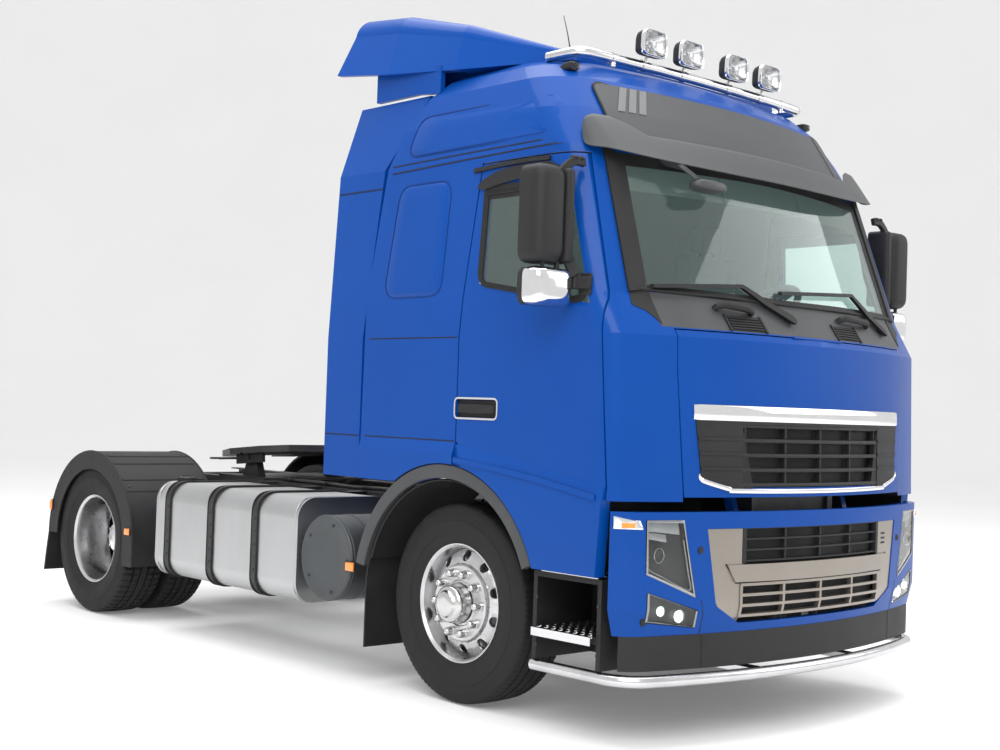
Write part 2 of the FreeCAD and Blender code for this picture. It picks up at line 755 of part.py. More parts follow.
def glass_outline(grow):
    g = size_of(grow)
    return [(S.glass_front_low_y - g, S.glass_low_front - g), (S.glass_rear_y + g,
                                                             S.glass_low_rear - g),
            (S.glass_rear_y + g, S.glass_top + g), (S.glass_front_top_y - g, S.glass_top + g)]


S.add(nose_top=1880, nose_low=1120, nose_half_top=927, nose_half_low=887, nose_gap=6)
S.add(nose_bend=1700)
S.add(screen_half_low=1040, screen_half_high=985, screen_foot=2062, screen_head=2715)
S.add(cowl_foot=1892, cowl_head=2052, cowl_half_low=990, cowl_half_high=1050)
S.add(grille_half=585, grille_half_low=500, grille_top=1462, grille_low=1165)


def front_outline(half_low, low, half_high, high, grow):
    g = size_of(grow)
    return [(-half_low - g, low - g), (half_low + g, low - g), (half_high + g, high + g),
            (-half_high - g, high + g)]


def nose_outline(low, grow):
    """The lid's outline, whose sides run upright above the bend."""
    g = size_of(grow)
    return [(-S.nose_half_low - g, low), (S.nose_half_low + g, low), (S.nose_half_top + g, S.nose_bend),
            (S.nose_half_top + g, S.nose_top + g), (-S.nose_half_top - g, S.nose_top + g),
            (-S.nose_half_top - g, S.nose_bend)]


def front_prism(name, half_low, low, half_high, high, grow, front=None, back=None):
    front = S.tube_front - S.overrun if front is None else front
    back = size_of(0) if back is None else back
    return prism(name, "Y", front_outline(half_low, low, half_high, high, grow), front, back)


def side_prism(name, places, low=None, high=None):
    low = -S.cab_half - S.overrun - S.bulge if low is None else low
    high = size_of(0) if high is None else high
    return prism(name, "X", places, low, high)


S.add(tilt_y=-1270, tilt_z=1000, tilt_pin_radius=15, tilt_pin_out=480, tilt_arm_near=433)
S.add(tilt_arm_far=470, tilt_eye=26, arm_heel_y=-1180, arm_shoulder_y=-1215, arm_top_front=-1118)
S.add(arm_top_back=-1085, arm_root=15, rest_front=520, rest_run=80, rest_beam_low=1200)
S.add(rest_beam_high=1260)


def tilt_arm():
    """A bracket from the firewall's foot down to the pin on which the cab tilts."""
    front, low, high = S.tilt_y - S.tilt_eye, S.tilt_z - S.tilt_eye, S.tilt_z + S.tilt_eye
    top = S.floor_low + S.arm_root
    plate = prism("tilt_arm_plate", "X", [
        (front, low), (S.arm_heel_y, low), (S.arm_top_back, S.floor_low), (S.arm_top_back, top),
        (S.arm_top_front, top), (S.arm_shoulder_y, high), (front, high)],
        -S.tilt_arm_far, -S.tilt_arm_near)
    bore = rod("tilt_arm_bore", "X", (-S.tilt_arm_far - S.overrun, S.tilt_y, S.tilt_z),
               S.tilt_pin_radius + S.face_gap, S.tilt_arm_far - S.tilt_arm_near + S.overrun + S.overrun)
    return cut("tilt_arm", plate, bore)


def cab_rest():
    """The portal on the rails that the rear of the cab lies on."""
    inner, rear = S.rail_outer - S.rail_flange, S.rest_front + S.rest_run
    post = box("rest_post", (-S.rail_outer, -inner), (S.rest_front, rear),
               (S.rail_top, S.floor_low - S.face_gap))
    beam = box("rest_beam", (-S.rail_outer, S.rail_outer), (S.rest_front, rear),
               (S.rest_beam_low, S.rest_beam_high))
    return fuse("cab_rest", post, mirror("rest_post_left", post), beam)


# The cab shell: hollow, with a floor, a firewall, two doorways, arches and the front openings


def cab_shell():
    outer = cab_form("cab_outer", 0)
    room = inner_form("cab_room", S.floor_low + S.floor_thick)
    under = box("cab_under", (-S.cab_half + S.cab_wall, S.cab_half - S.cab_wall),
                (S.face_low_y + S.cab_wall + S.under_inset, S.rear_low - S.cab_wall),
                (S.cab_low - S.overrun, S.floor_low))
    shell = cut("cab_hollow", outer, room, under)
    doorway = side_prism("doorway_right", door_outline(S.door_gap), high=S.door_gap - S.door_reach_x)
    sill = side_prism("sill_right", low_outline(S.door_gap),
                      high=S.cab_wall + S.overrun - S.cab_half)
    tools = [doorway, mirror("doorway_left", doorway), sill, mirror("sill_left", sill)]
    tools.append(rod("wheel_arch_hole", "X", (-S.cab_half - S.overrun, 0, S.axle_z), S.arch_inner,
                     S.cab_half + S.cab_half + S.overrun + S.overrun))
    tools.append(prism("flap_hole", "Y", nose_outline(S.cab_low - S.overrun, S.nose_gap),
                       S.tube_front - S.overrun, S.firewall_y + S.floor_thick * S.half))
    tools.append(front_prism("cowl_hole", S.cowl_half_low, S.cowl_foot, S.cowl_half_high,
                             S.cowl_head, S.face_gap, back=-S.front_keep))
    tools.append(front_prism("screen_hole", S.screen_half_low, S.screen_foot, S.screen_half_high,
                             S.screen_head, S.face_gap))
    opened = cut("cab_opened", shell, *tools)
    half_inside = S.cab_half - S.cab_wall - S.door_gap
    firewall = box("firewall", (-half_inside, half_inside),
                   (S.firewall_y, S.firewall_y + S.floor_thick), (S.floor_low, S.firewall_top))
    trim = common("firewall_trimmed", firewall, cab_form("firewall_bound", -S.cab_wall * S.half,
                                                         ROOM_ROWS))
    pin = rod("lid_pin", "X", (-S.lid_pin_half, S.lid_pin_y, S.lid_pin_z), S.lid_pin_radius,
              S.lid_pin_half + S.lid_pin_half)
    swell = prism("sill_swell", "Y", [
        (S.low_panel_wall - S.cab_half, S.cab_low), (S.low_panel_wall - S.cab_half, S.door_sill_rear_z),
        (-S.cab_half, S.door_sill_rear_z), (-S.cab_half - S.bulge, S.door_sill_rear_z - S.bulge_band),
        (-S.cab_half - S.bulge, S.cab_low)], S.door_rear_y + S.door_gap, S.rear_waist)
    swell = cut("sill_swell_cut", swell, rod(
        "swell_arch", "X", (-S.cab_half - S.overrun - S.bulge, 0, S.axle_z), S.arch_radius,
        S.low_panel_wall + S.overrun + S.overrun + S.bulge))
    arm = tilt_arm()
    return fuse("cab_shell", opened, trim, pin, arm, mirror("tilt_arm_left", arm), swell,
                mirror("sill_swell_left", swell))


S.add(lid_pin_half=200, lid_pin_y=-1328, lid_pin_z=1884, lid_pin_radius=5)
S.add(under_inset=212, front_keep=900, firewall_top=1884)
node("cab_shell", cab_shell())
node("cab_rest", cab_rest())

# Panels and glass that lie in the cab's skin


def skin(name, depth, proud=0, rows=EVERY_ROW):
    """A layer of the cab's form, from its outer face, or proud of it, to a depth inside."""
    return cut(name, cab_form(name + "_outer", proud, rows),
               cab_form(name + "_inner", -size_of(depth), rows))


windscreen = common("windscreen", skin("screen_skin", S.glass_depth), front_prism(
    "screen_blank", S.screen_half_low, S.screen_foot, S.screen_half_high, S.screen_head, 0))
node("windscreen", windscreen)
S.add(cowl_depth=40)
cowl = common("cowl_panel", skin("cowl_skin", S.cowl_depth), front_prism(
    "cowl_blank", S.cowl_half_low, S.cowl_foot, S.cowl_half_high, S.cowl_head, 0,
    back=-S.front_keep))
node("cowl_panel", cowl)

# Doors, each with its lower panel, its glass and its mirrors

S.add(handle_y=-215, handle_z=1490, handle_half_run=150, handle_half_rise=45)
S.add(handle_depth=30)
S.add(mirror_near=1285, mirror_far=1520, mirror_front=-905, mirror_back=-760, mirror_low=2155)
S.add(mirror_high=2600, wide_low=1965, wide_high=2137, mirror_corner=45)
S.add(arm_radius=17, arm_y=-890, arm_top_z=2640, arm_low_z=1945, arm_in=40)


def door_right():
    wall = cut("door_layer", cab_form("door_outer", 0), cab_form("door_inner", -S.door_wall))
    leaf = common("door_leaf", wall, side_prism("door_blank", door_outline(0), high=-S.door_reach_x))
    opening = side_prism("door_window_hole", glass_outline(S.face_gap), high=-S.door_reach_x)
    recess = box("handle_recess", (-S.cab_half - S.overrun, -S.cab_half + S.handle_depth),
                 (S.handle_y - S.handle_half_run, S.handle_y + S.handle_half_run),
                 (S.handle_z - S.handle_half_rise, S.handle_z + S.handle_half_rise))
    swell = lofted("door_low_form", [(S.door_front_sill_y, S.door_sill_front_z),
                                     (S.door_rear_y, S.door_sill_rear_z)], bulge_section, "Y")
    low_panel = cut("door_low_panel",
                    common("door_low_blank", swell, side_prism("door_low_side", low_outline(0))),
                    rod("door_arch", "X", (-S.cab_half - S.overrun - S.bulge, 0, S.axle_z),
                        S.arch_radius, S.low_panel_wall + S.overrun + S.overrun + S.bulge))
    return fuse("door_whole", cut("door_cut", leaf, opening, recess), low_panel)


def door_glass():
    layer = skin("door_glass_skin", S.glass_depth)
    return common("door_glass", layer, side_prism(
        "door_glass_blank", glass_outline(0), high=-S.door_reach_x))


def mirror_case(name, low, high):
    far, near = -S.mirror_far, -S.mirror_near
    return prism(name, "Z", [
        (far, S.mirror_back), (far, S.mirror_front + S.mirror_corner, -S.mirror_corner),
        (far + S.mirror_corner, S.mirror_front), (near - S.mirror_corner, S.mirror_front,
                                                  -S.mirror_corner),
        (near, S.mirror_front + S.mirror_corner), (near, S.mirror_back)], low, high)


def mirrors():
    centre = (S.mirror_near + S.mirror_far) * S.half
    post = rod("mirror_post", "Z", (-centre, S.arm_y + S.arm_in, S.arm_low_z), S.arm_radius,
               S.arm_top_z - S.arm_low_z)
    arms = [rod("mirror_arm_%d" % i, "X", (-centre, S.arm_y + S.arm_in, z), S.arm_radius,
                centre - S.door_reach_x) for i, z in enumerate((S.arm_top_z, S.arm_low_z))]
    return fuse("mirror_right", mirror_case("mirror_main", S.mirror_low, S.mirror_high),
                mirror_case("mirror_wide", S.wide_low, S.wide_high), post,
                cut("mirror_arms", fuse("mirror_arms_whole", *arms), CAB_SEAT))


CAB_SEAT = cab_form("cab_seat", S.face_gap)
door = door_right()
glass = door_glass()
arm_and_mirrors = mirrors()
node("door_right", door)
node("door_left", mirror("door_left", door))
node("door_glass_right", glass)
node("door_glass_left", mirror("door_glass_left", glass))
node("mirror_right", arm_and_mirrors)
node("mirror_left", mirror("mirror_left", arm_and_mirrors))

# The front lid over the cab's face, with the upper grille in it

S.add(nose_depth=38, slat_count=4, slat_thick=22, bar_half=9, chrome_low=1472)
S.add(chrome_high=1545, chrome_half=850, chrome_proud=8, bar_x=270)


def front_lid():
    layer = skin("lid_skin", S.nose_depth, 0, NOSE_ROWS)
    blank = prism("lid_blank", "Y", nose_outline(S.nose_low, 0), S.tube_front - S.overrun,
                  -S.front_keep)
    hole = front_prism("lid_grille_hole", S.grille_half_low, S.grille_low, S.grille_half,
                       S.grille_top, S.face_gap, back=-S.front_keep)
    pin = rod("lid_bore", "X", (-S.lid_pin_half - S.overrun, S.lid_pin_y, S.lid_pin_z),
              S.lid_pin_radius + S.face_gap, S.lid_pin_half + S.lid_pin_half + S.overrun + S.overrun)
    return cut("front_flap", common("lid_solid", layer, blank), hole, pin)


def upper_grille():
    layer = skin("slat_skin", S.nose_depth, 0, NOSE_ROWS)
    pitch = (S.grille_top - S.grille_low - S.slat_thick) / S.slat_count
    bars = [box("grille_slat_%d" % i, (-S.grille_half, S.grille_half), (S.tube_front, -S.front_keep),
                (S.grille_low + pitch * i, S.grille_low + pitch * i + S.slat_thick))
            for i in range(int(S.slat_count.value) + 1)]
    bars += [box("grille_post_%d" % i, (S.bar_x * i - S.bar_half, S.bar_x * i + S.bar_half),
                 (S.tube_front, -S.front_keep), (S.grille_low, S.grille_top)) for i in (-2, -1, 0, 1, 2)]
    ladder = common("grille_bars", layer, common("grille_clip", fuse("grille_ladder", *bars), front_prism(
        "grille_blank", S.grille_half_low, S.grille_low, S.grille_half, S.grille_top, 0,
        back=-S.front_keep)))
    strip = common("grille_strip", skin("strip_skin", -S.face_gap, S.chrome_proud, NOSE_ROWS), box(
        "strip_blank", (-S.chrome_half, S.chrome_half), (S.tube_front - S.overrun, -S.front_keep),
        (S.chrome_low, S.chrome_high)))
    return group("upper_grille", ladder, strip)


node("front_flap", front_lid())
node("upper_grille", upper_grille())

# The panel over the windscreen, the sun visor, the roof fairing and the side deflectors

S.add(header_low=2790, header_high=3095, header_half=880, header_depth=10)
S.add(visor_low=2665, visor_high=2935, visor_half_low=1115, visor_half_high=985, visor_front_low=-1120)
S.add(visor_front_high=-895, visor_wall=14, visor_cut_y=-760, visor_tip=70, visor_post=40)


def header_panel():
    return common("header_panel", skin("header_skin", -S.face_gap, S.header_depth, BROW_ROWS), front_prism(
        "header_blank", S.header_half, S.header_low, S.header_half, S.header_high, 0,
        back=-S.header_back))


def sun_visor():
    rows = [(S.visor_low, S.visor_half_low, S.visor_front_low, S.screen_bow, S.corner_rail),
            (S.visor_high, S.visor_half_high, S.visor_front_high, S.screen_bow, S.corner_rail)]
    wall = S.visor_wall
    outer = lofted("visor_outer", [row + (size_of(0),) for row in rows], plan, "Z")
    inner = lofted("visor_inner", [
        (z, half - wall, front + wall, bow - wall, corner - wall, size_of(0))
        for z, half, front, bow, corner in rows], plan, "Z")
    shade = cut("visor_sheet", outer, inner)
    keep = side_prism("visor_keep", [
        (S.tube_front, S.visor_low), (S.visor_cut_y - S.visor_tip, S.visor_low + S.visor_tip),
        (S.visor_cut_y + S.visor_tip, S.visor_high), (S.tube_front, S.visor_high)],
        -S.cab_half, S.cab_half)
    trimmed = common("visor_trimmed", shade, keep)
    posts = [box("visor_post_%d" % i, (x - S.visor_post * S.half, x + S.visor_post * S.half),
                 (S.visor_front_low + S.visor_tip, S.header_back_y), (S.visor_post_z, S.visor_post_z
                                                                 + S.visor_wall))
             for i, x in enumerate((-S.visor_post_x, size_of(0), S.visor_post_x))]
    stays = common("visor_stays", fuse("visor_posts", *posts), outer)
    return cut("sun_visor", fuse("visor_whole", trimmed, stays), CAB_SEAT)


S.add(visor_post_x=600, visor_post_z=2740, header_back=400, header_back_y=-700)
node("header_panel", header_panel())
node("sun_visor", sun_visor())

S.add(fairing_front=-391, fairing_mid=240, fairing_peak=718, fairing_rear=1146)
S.add(fairing_half_front=830, fairing_half_mid=1020, fairing_half_peak=1066, fairing_half_rear=1090)
S.add(fairing_flare_mid=50, fairing_flare=75, fairing_low_peak=3292, fairing_low_rear=3343)
S.add(fairing_top_front=3300, fairing_top_mid=3520, fairing_top_peak=3644, fairing_top_rear=3684)
S.add(fairing_round_front=18, fairing_round_mid=80, fairing_round=110, fairing_wall=30)
S.add(fairing_lean=96, neck_half=1085, neck_front=330, neck_rear=875, neck_low=3165, neck_mid=520)


def hood(half, low, high, corner, flare):
    """An upright section with two round upper corners and a wider foot."""
    return [(-half - flare, low), (half + flare, low), (half, high - corner, -corner),
            (half - corner, high), (corner - half, high, -corner), (-half, high - corner)]


def roof_fairing():
    low = S.roof_top + S.face_gap
    none = size_of(0)
    rows = [(S.fairing_front, S.fairing_half_front, low, S.fairing_top_front, S.fairing_round_front,
             none),
            (S.fairing_mid, S.fairing_half_mid, low, S.fairing_top_mid, S.fairing_round_mid,
             S.fairing_flare_mid),
            (S.fairing_peak, S.fairing_half_peak, S.fairing_low_peak, S.fairing_top_peak,
             S.fairing_round, S.fairing_flare),
            (S.fairing_rear, S.fairing_half_rear, S.fairing_low_rear, S.fairing_top_rear,
             S.fairing_round, S.fairing_flare)]
    wall = S.fairing_wall
    outer = lofted("fairing_outer", rows, hood, "Y")
    rows_in = [(S.fairing_mid, S.fairing_half_mid - wall - wall, low - S.overrun,
                S.fairing_top_mid - wall - wall, S.fairing_round_mid, S.fairing_flare_mid)]
    for along, half, foot, high, corner, flare in rows[2:]:
        end = S.overrun if along is S.fairing_rear else none
        rows_in.append((along + end, half - wall, foot - S.overrun, high - wall, corner, flare))
    lean = side_prism("fairing_lean", [
        (S.fairing_rear, S.fairing_low_rear), (S.fairing_rear + S.overrun, S.fairing_low_rear),
        (S.fairing_rear + S.overrun, S.fairing_top_rear + S.overrun),
        (S.fairing_rear - S.fairing_lean, S.fairing_top_rear + S.overrun)], high=S.cab_half + S.overrun)
    hollow = cut("fairing_hollow", outer, lofted("fairing_inner", rows_in, hood, "Y"), lean)
    neck = prism("fairing_neck", "X", [
        (S.neck_front, S.neck_low - S.overrun), (S.neck_mid, S.neck_low), (S.neck_rear, S.neck_low),
        (S.neck_rear, S.fairing_low_rear - S.overrun), (S.fairing_peak, S.fairing_low_peak + S.overrun),
        (S.neck_front, S.fairing_low_peak)], -S.neck_half, wall - S.neck_half)
    neck = cut("fairing_neck_cut", neck, CAB_SEAT)
    return fuse("roof_fairing", hollow, neck, mirror("fairing_neck_left", neck))


S.add(deflector_rear=1030, deflector_front=716, deflector_wall=28, deflector_high=3150)
S.add(hinge_half=40)


def deflector_sections(grow):
    g = size_of(grow)
    far = S.deflector_rear + S.overrun + S.overrun + S.overrun
    rows = [(S.cab_low, S.cab_half), (S.cab_waist, S.cab_half), (S.screen_high, S.cab_half_rail),
            (S.deflector_high, S.fairing_half_peak)]
    return [(z, half + g, S.edge_y - g, S.screen_bow + g, S.corner_rail + g, far + g)
            for z, half in rows]


def side_deflectors():
    outer = lofted("deflector_outer", deflector_sections(0), plan, "Z")
    inner = lofted("deflector_inner", deflector_sections(-S.deflector_wall), plan, "Z")
    keep = side_prism("deflector_keep", [
        (S.deflector_front, S.cab_low), (S.deflector_rear, S.cab_low),
        (S.deflector_rear, S.deflector_high), (S.rear_edge + S.deflector_lap, S.deflector_high),
        (S.rear_rail + S.deflector_lap_low, S.screen_high), (S.deflector_front, S.cab_waist)])
    panel = common("deflector_panel", cut("deflector_sheet", outer, inner), keep)
    arms = [box("deflector_arm_%d" % i, (S.deflector_wall * S.half - S.cab_half,
                                         S.arm_run - S.cab_half),
                (S.rear_waist - S.overrun, S.rear_low + S.overrun + S.overrun),
                (z - S.hinge_half, z + S.hinge_half))
            for i, z in enumerate((S.deflector_hinge_low, S.deflector_hinge_mid))]
    return fuse("side_deflector", panel, cut("deflector_arms", fuse("deflector_arms_whole", *arms),
                                             CAB_SEAT))


S.add(deflector_lap=40, deflector_lap_low=30, arm_run=120, deflector_hinge_low=1300)
S.add(deflector_hinge_mid=1800)
node("roof_fairing", roof_fairing())
node("side_deflectors", pair("side_deflectors", side_deflectors()))

# Roof bar with four lamps, and the wipers

S.add(bar_z=3270, bar_half_width=915, bar_front=-560, bar_bow=12000, bar_corner=70, bar_rear=-300)
S.add(stem_y=-570, stem_radius=14)
S.add(bar_radius=27, lamp_near=190, lamp_far=483, lamp_half=95, lamp_low=3300, lamp_high=3440)
S.add(lamp_front=-640, lamp_back=-545, lamp_corner=40, foot_radius=16, foot_x=700, foot_low=3175)


def tube_plan(half, front, bow, corner, rear):
    places = plan(half, front, bow, corner, rear)
    return places[:5] + [(half, rear)]


def roof_bar():
    tube = piped("bar_tube", tube_plan(S.bar_half_width, S.bar_front, S.bar_bow, S.bar_corner,
                                       S.bar_rear), S.bar_radius, S.bar_z)
    lamps = [prism("bar_lamp_%d" % i, "Y", rounded_section(
        x - S.lamp_half, x + S.lamp_half, S.lamp_low, S.lamp_high, S.lamp_corner),
        S.lamp_front, S.lamp_back) for i, x in enumerate(
            (-S.lamp_far, -S.lamp_near, S.lamp_near, S.lamp_far))]
    feet = [rod("bar_foot_%d" % i, "Z", (x, y, S.foot_low), S.foot_radius, S.bar_z - S.foot_low)
            for i, (x, y) in enumerate(((-S.foot_x, S.foot_y), (S.foot_x, S.foot_y),
                                        (-S.bar_half_width, S.foot_back_y),
                                        (S.bar_half_width, S.foot_back_y)))]
    stems = [rod("bar_stem_%d" % i, "Z", (x, S.stem_y, S.bar_z), S.stem_radius,
                 S.lamp_low + S.overrun - S.bar_z)
             for i, x in enumerate((-S.lamp_far, -S.lamp_near, S.lamp_near, S.lamp_far))]
    return cut("roof_bar", fuse("bar_whole", tube, *lamps, *stems, *feet), CAB_SEAT)


S.add(foot_y=-545, foot_back_y=-300)
node("roof_bar", roof_bar())

S.add(wiper_gap=10, wiper_proud=32, wiper_half=9, wiper_hub=24, wiper_front=-1380, wiper_pivot_radius=20)
S.add(wiper_1_pivot_x=-150, wiper_1_pivot_z=1975, wiper_1_bend_x=-429, wiper_1_bend_z=2119)
S.add(wiper_1_tip_x=-975, wiper_1_tip_z=2080, wiper_2_pivot_x=790, wiper_2_pivot_z=1975)
S.add(wiper_2_bend_x=528, wiper_2_bend_z=2150, wiper_2_tip_x=-158, wiper_2_tip_z=2106)


def wiper(name, pivot_x, pivot_z, bend_x, bend_z, tip_x, tip_z):
    half = S.wiper_half
    blank = prism(name + "_blank", "Y", [
        (pivot_x + S.wiper_hub, pivot_z), (pivot_x, pivot_z - S.wiper_hub), (bend_x - half, bend_z - half),
        (tip_x, tip_z - half), (tip_x, tip_z + half), (bend_x, bend_z + half),
        (pivot_x + half, pivot_z + S.wiper_hub)], S.tube_front, -S.front_keep)
    arm = common(name + "_arm", skin(name + "_skin", -S.wiper_gap, S.wiper_proud, SCREEN_ROWS), blank)
    pivot = rod(name + "_pivot", "Y", (pivot_x, S.wiper_front, pivot_z), S.wiper_pivot_radius,
                -S.front_keep - S.wiper_front)
    return fuse(name, arm, cut(name + "_pivot_cut", common(
        name + "_pivot_near", pivot, cab_form(name + "_near", S.wiper_proud, SCREEN_ROWS)), CAB_SEAT))


node("wipers", group("wipers", wiper("wiper_1", S.wiper_1_pivot_x, S.wiper_1_pivot_z, S.wiper_1_bend_x,
                                     S.wiper_1_bend_z, S.wiper_1_tip_x, S.wiper_1_tip_z),
                     wiper("wiper_2", S.wiper_2_pivot_x, S.wiper_2_pivot_z, S.wiper_2_bend_x,
                           S.wiper_2_bend_z, S.wiper_2_tip_x, S.wiper_2_tip_z)))

# Inside: dashboard with the steering wheel, two seats and the bunk

S.add(dash_half=1075, dash_front=-1070, dash_rear=-640, dash_low=1362, dash_high=1985, dash_lip=-700)
S.add(dash_knee=1650, dash_round=90, wheel_x=560, wheel_y=-560, wheel_z=2080, wheel_radius=225)
S.add(wheel_grip=16, wheel_tilt=35, column_radius=30, column_run=260)
S.add(seat_x=600, seat_half_width=260, seat_front=-560, seat_rear=-60, seat_low=1700, seat_high=1840)
S.add(seat_back_thick=130, seat_back_high=2420, seat_base_half=150, head_half=140, head_high=2600)
S.add(bunk_front=20, bunk_low=1360, bunk_high=1800, bunk_half=1130)


def dashboard():
    body = prism("dash_body", "X", [
        (S.dash_front, S.dash_low), (S.dash_rear - S.dash_round - S.dash_round, S.dash_low),
        (S.dash_rear - S.dash_round, S.dash_knee), (S.dash_rear, S.dash_knee),
        (S.dash_rear, S.dash_high - S.dash_round), (S.dash_lip, S.dash_high), (S.dash_front, S.dash_high)],
        -S.dash_half, S.dash_half)
    fitted = common("dash_fitted", body, cab_form("dash_bound", -S.cab_wall - S.face_gap, ROOM_ROWS))
    rim = doc.addObject("Part::Torus", "steering_rim")
    rim.Placement = Placement(Vector(), Rotation(Vector(-1, 0, 0), S.wheel_tilt.value))
    bind(rim, "Placement.Rotation.Angle", S.wheel_tilt)
    bind(rim, "Radius1", S.wheel_radius)
    bind(rim, "Radius2", S.wheel_grip)
    bind_place(rim, S.wheel_x, S.wheel_y, S.wheel_z)
    column = doc.addObject("Part::Cylinder", "steering_column")
    column.Placement = Placement(Vector(), Rotation(Vector(-1, 0, 0), S.wheel_tilt.value))
    bind(column, "Placement.Rotation.Angle", S.wheel_tilt)
    bind(column, "Radius", S.column_radius)
    bind(column, "Height", S.column_run + S.wheel_grip)
    drop = S.column_run
    bind_place(column, S.wheel_x, S.wheel_y - drop * sine_of(S.wheel_tilt),
               S.wheel_z - drop * cosine_of(S.wheel_tilt))
    spoke = box("steering_spoke", (S.wheel_x - S.wheel_radius, S.wheel_x + S.wheel_radius),
                (S.wheel_y - S.wheel_grip, S.wheel_y + S.wheel_grip),
                (S.wheel_z - S.wheel_grip * S.half, S.wheel_z + S.wheel_grip * S.half))
    return fuse("dashboard", fitted, column, spoke, rim)


def seat():
    half, x = S.seat_half_width, S.seat_x
    cushion = box("seat_cushion", (-x - half, half - x), (S.seat_front, S.seat_rear),
                  (S.seat_low, S.seat_high))
    back = box("seat_back", (-x - half, half - x), (S.seat_rear - S.seat_back_thick, S.seat_rear),
               (S.seat_high, S.seat_back_high))
    head = box("seat_head", (-x - S.head_half, S.head_half - x),
               (S.seat_rear - S.seat_back_thick, S.seat_rear), (S.seat_back_high, S.head_high))
    base = box("seat_base", (-x - S.seat_base_half, S.seat_base_half - x),
               (S.seat_front + S.seat_back_thick, S.seat_rear),
               (S.floor_low + S.floor_thick, S.seat_low))
    return fuse("seat_right", cushion, back, head, base)


def bunk():
    block = box("bunk_block", (-S.bunk_half, S.bunk_half),
                (S.bunk_front, S.rear_low - S.cab_wall - S.overrun), (S.bunk_low, S.bunk_high))
    return common("bunk", block, cab_form("bunk_bound", -S.cab_wall - S.face_gap, ROOM_ROWS))


node("dashboard", dashboard())
SEAT = seat()
node("seats_and_bunk", group("seats_and_bunk", SEAT, mirror("seat_left", SEAT), bunk()))

# Bumper with its grille, lamps and black lower edge, and the tube under it

S.add(bumper_half=1238, bumper_front=-1385, bumper_bow=3700, bumper_corner=190, bumper_low=500)
S.add(bumper_high=1055, bumper_mid=620, bumper_rear=-1108, bumper_wall=40, bumper_tuck=25)
S.add(plate_half_top=777, plate_top=978, plate_half_mid=717, plate_mid=626, plate_half_low=564)
S.add(plate_setback=14, plate_wall=26, mesh_half=556, mesh_low=819, mesh_top=960)
S.add(cell_half=567, cell_low=575, cell_high=717, cell_bar=16, plate_foot=540)
S.add(cells_across=4, cells_up=3)
S.add(lamp_out_top_x=1105, lamp_in_top_x=908, lamp_top_z=1020, lamp_out_low_z=785, lamp_in_low_x=831)
S.add(lamp_in_low_z=665, lamp_out_low_x=1100, fog_top_out_z=700, fog_top_in_z=610, fog_low_out_z=563)
S.add(fog_low_in_z=528, fog_out_x=1090, fog_in_x=815, lamp_gap=3, lamp_depth=36)
S.add(valance_low=344, valance_half=1205, valance_front=-1362, valance_wall=30, valance_rear=-1130)


def bumper_rows(grow):
    g = size_of(grow)
    tuck = S.bumper_tuck
    return [(S.bumper_low, S.bumper_half - tuck + g, S.bumper_front + tuck - g, S.bumper_bow + g,
             S.bumper_corner + g, g + 0),
            (S.bumper_mid, S.bumper_half + g, S.bumper_front - g, S.bumper_bow + g,
             S.bumper_corner + g, g + 0),
            (S.bumper_high, S.bumper_half + g, S.bumper_front - g, S.bumper_bow + g,
             S.bumper_corner + g, g + 0)]


def bumper_form(name, grow):
    return lofted(name, bumper_rows(grow), plan, "Z")


def bumper_layer(name, depth, proud=0):
    return cut(name, bumper_form(name + "_outer", proud), bumper_form(name + "_inner", -size_of(depth)))


def in_front(name, low=None):
    low = S.bumper_low if low is None else low
    return box(name, (-S.cab_half, S.cab_half), (S.tube_front - S.overrun, S.bumper_rear),
               (low, S.bumper_high))


def plate_outline(grow):
    g = size_of(grow)
    return [(-S.plate_half_low - g, S.plate_foot - g), (S.plate_half_low + g, S.plate_foot - g),
            (S.plate_half_mid + g, S.plate_mid), (S.plate_half_top + g, S.plate_top + g),
            (-S.plate_half_top - g, S.plate_top + g), (-S.plate_half_mid - g, S.plate_mid)]


def lamp_outline(grow):
    g = size_of(grow)
    return [(-S.lamp_out_low_x - g, S.lamp_out_low_z - g), (-S.lamp_in_low_x + g, S.lamp_in_low_z - g),
            (-S.lamp_in_top_x + g, S.lamp_top_z + g), (-S.lamp_out_top_x - g, S.lamp_top_z + g)]


def fog_outline(grow):
    g = size_of(grow)
    return [(-S.fog_out_x - g, S.fog_low_out_z - g), (-S.fog_in_x + g, S.fog_low_in_z - g),
            (-S.fog_in_x + g, S.fog_top_in_z + g), (-S.fog_out_x - g, S.fog_top_out_z + g)]


def across_front(name, places, holes=()):
    return prism(name, "Y", places, S.tube_front - S.overrun, -S.front_keep, holes)


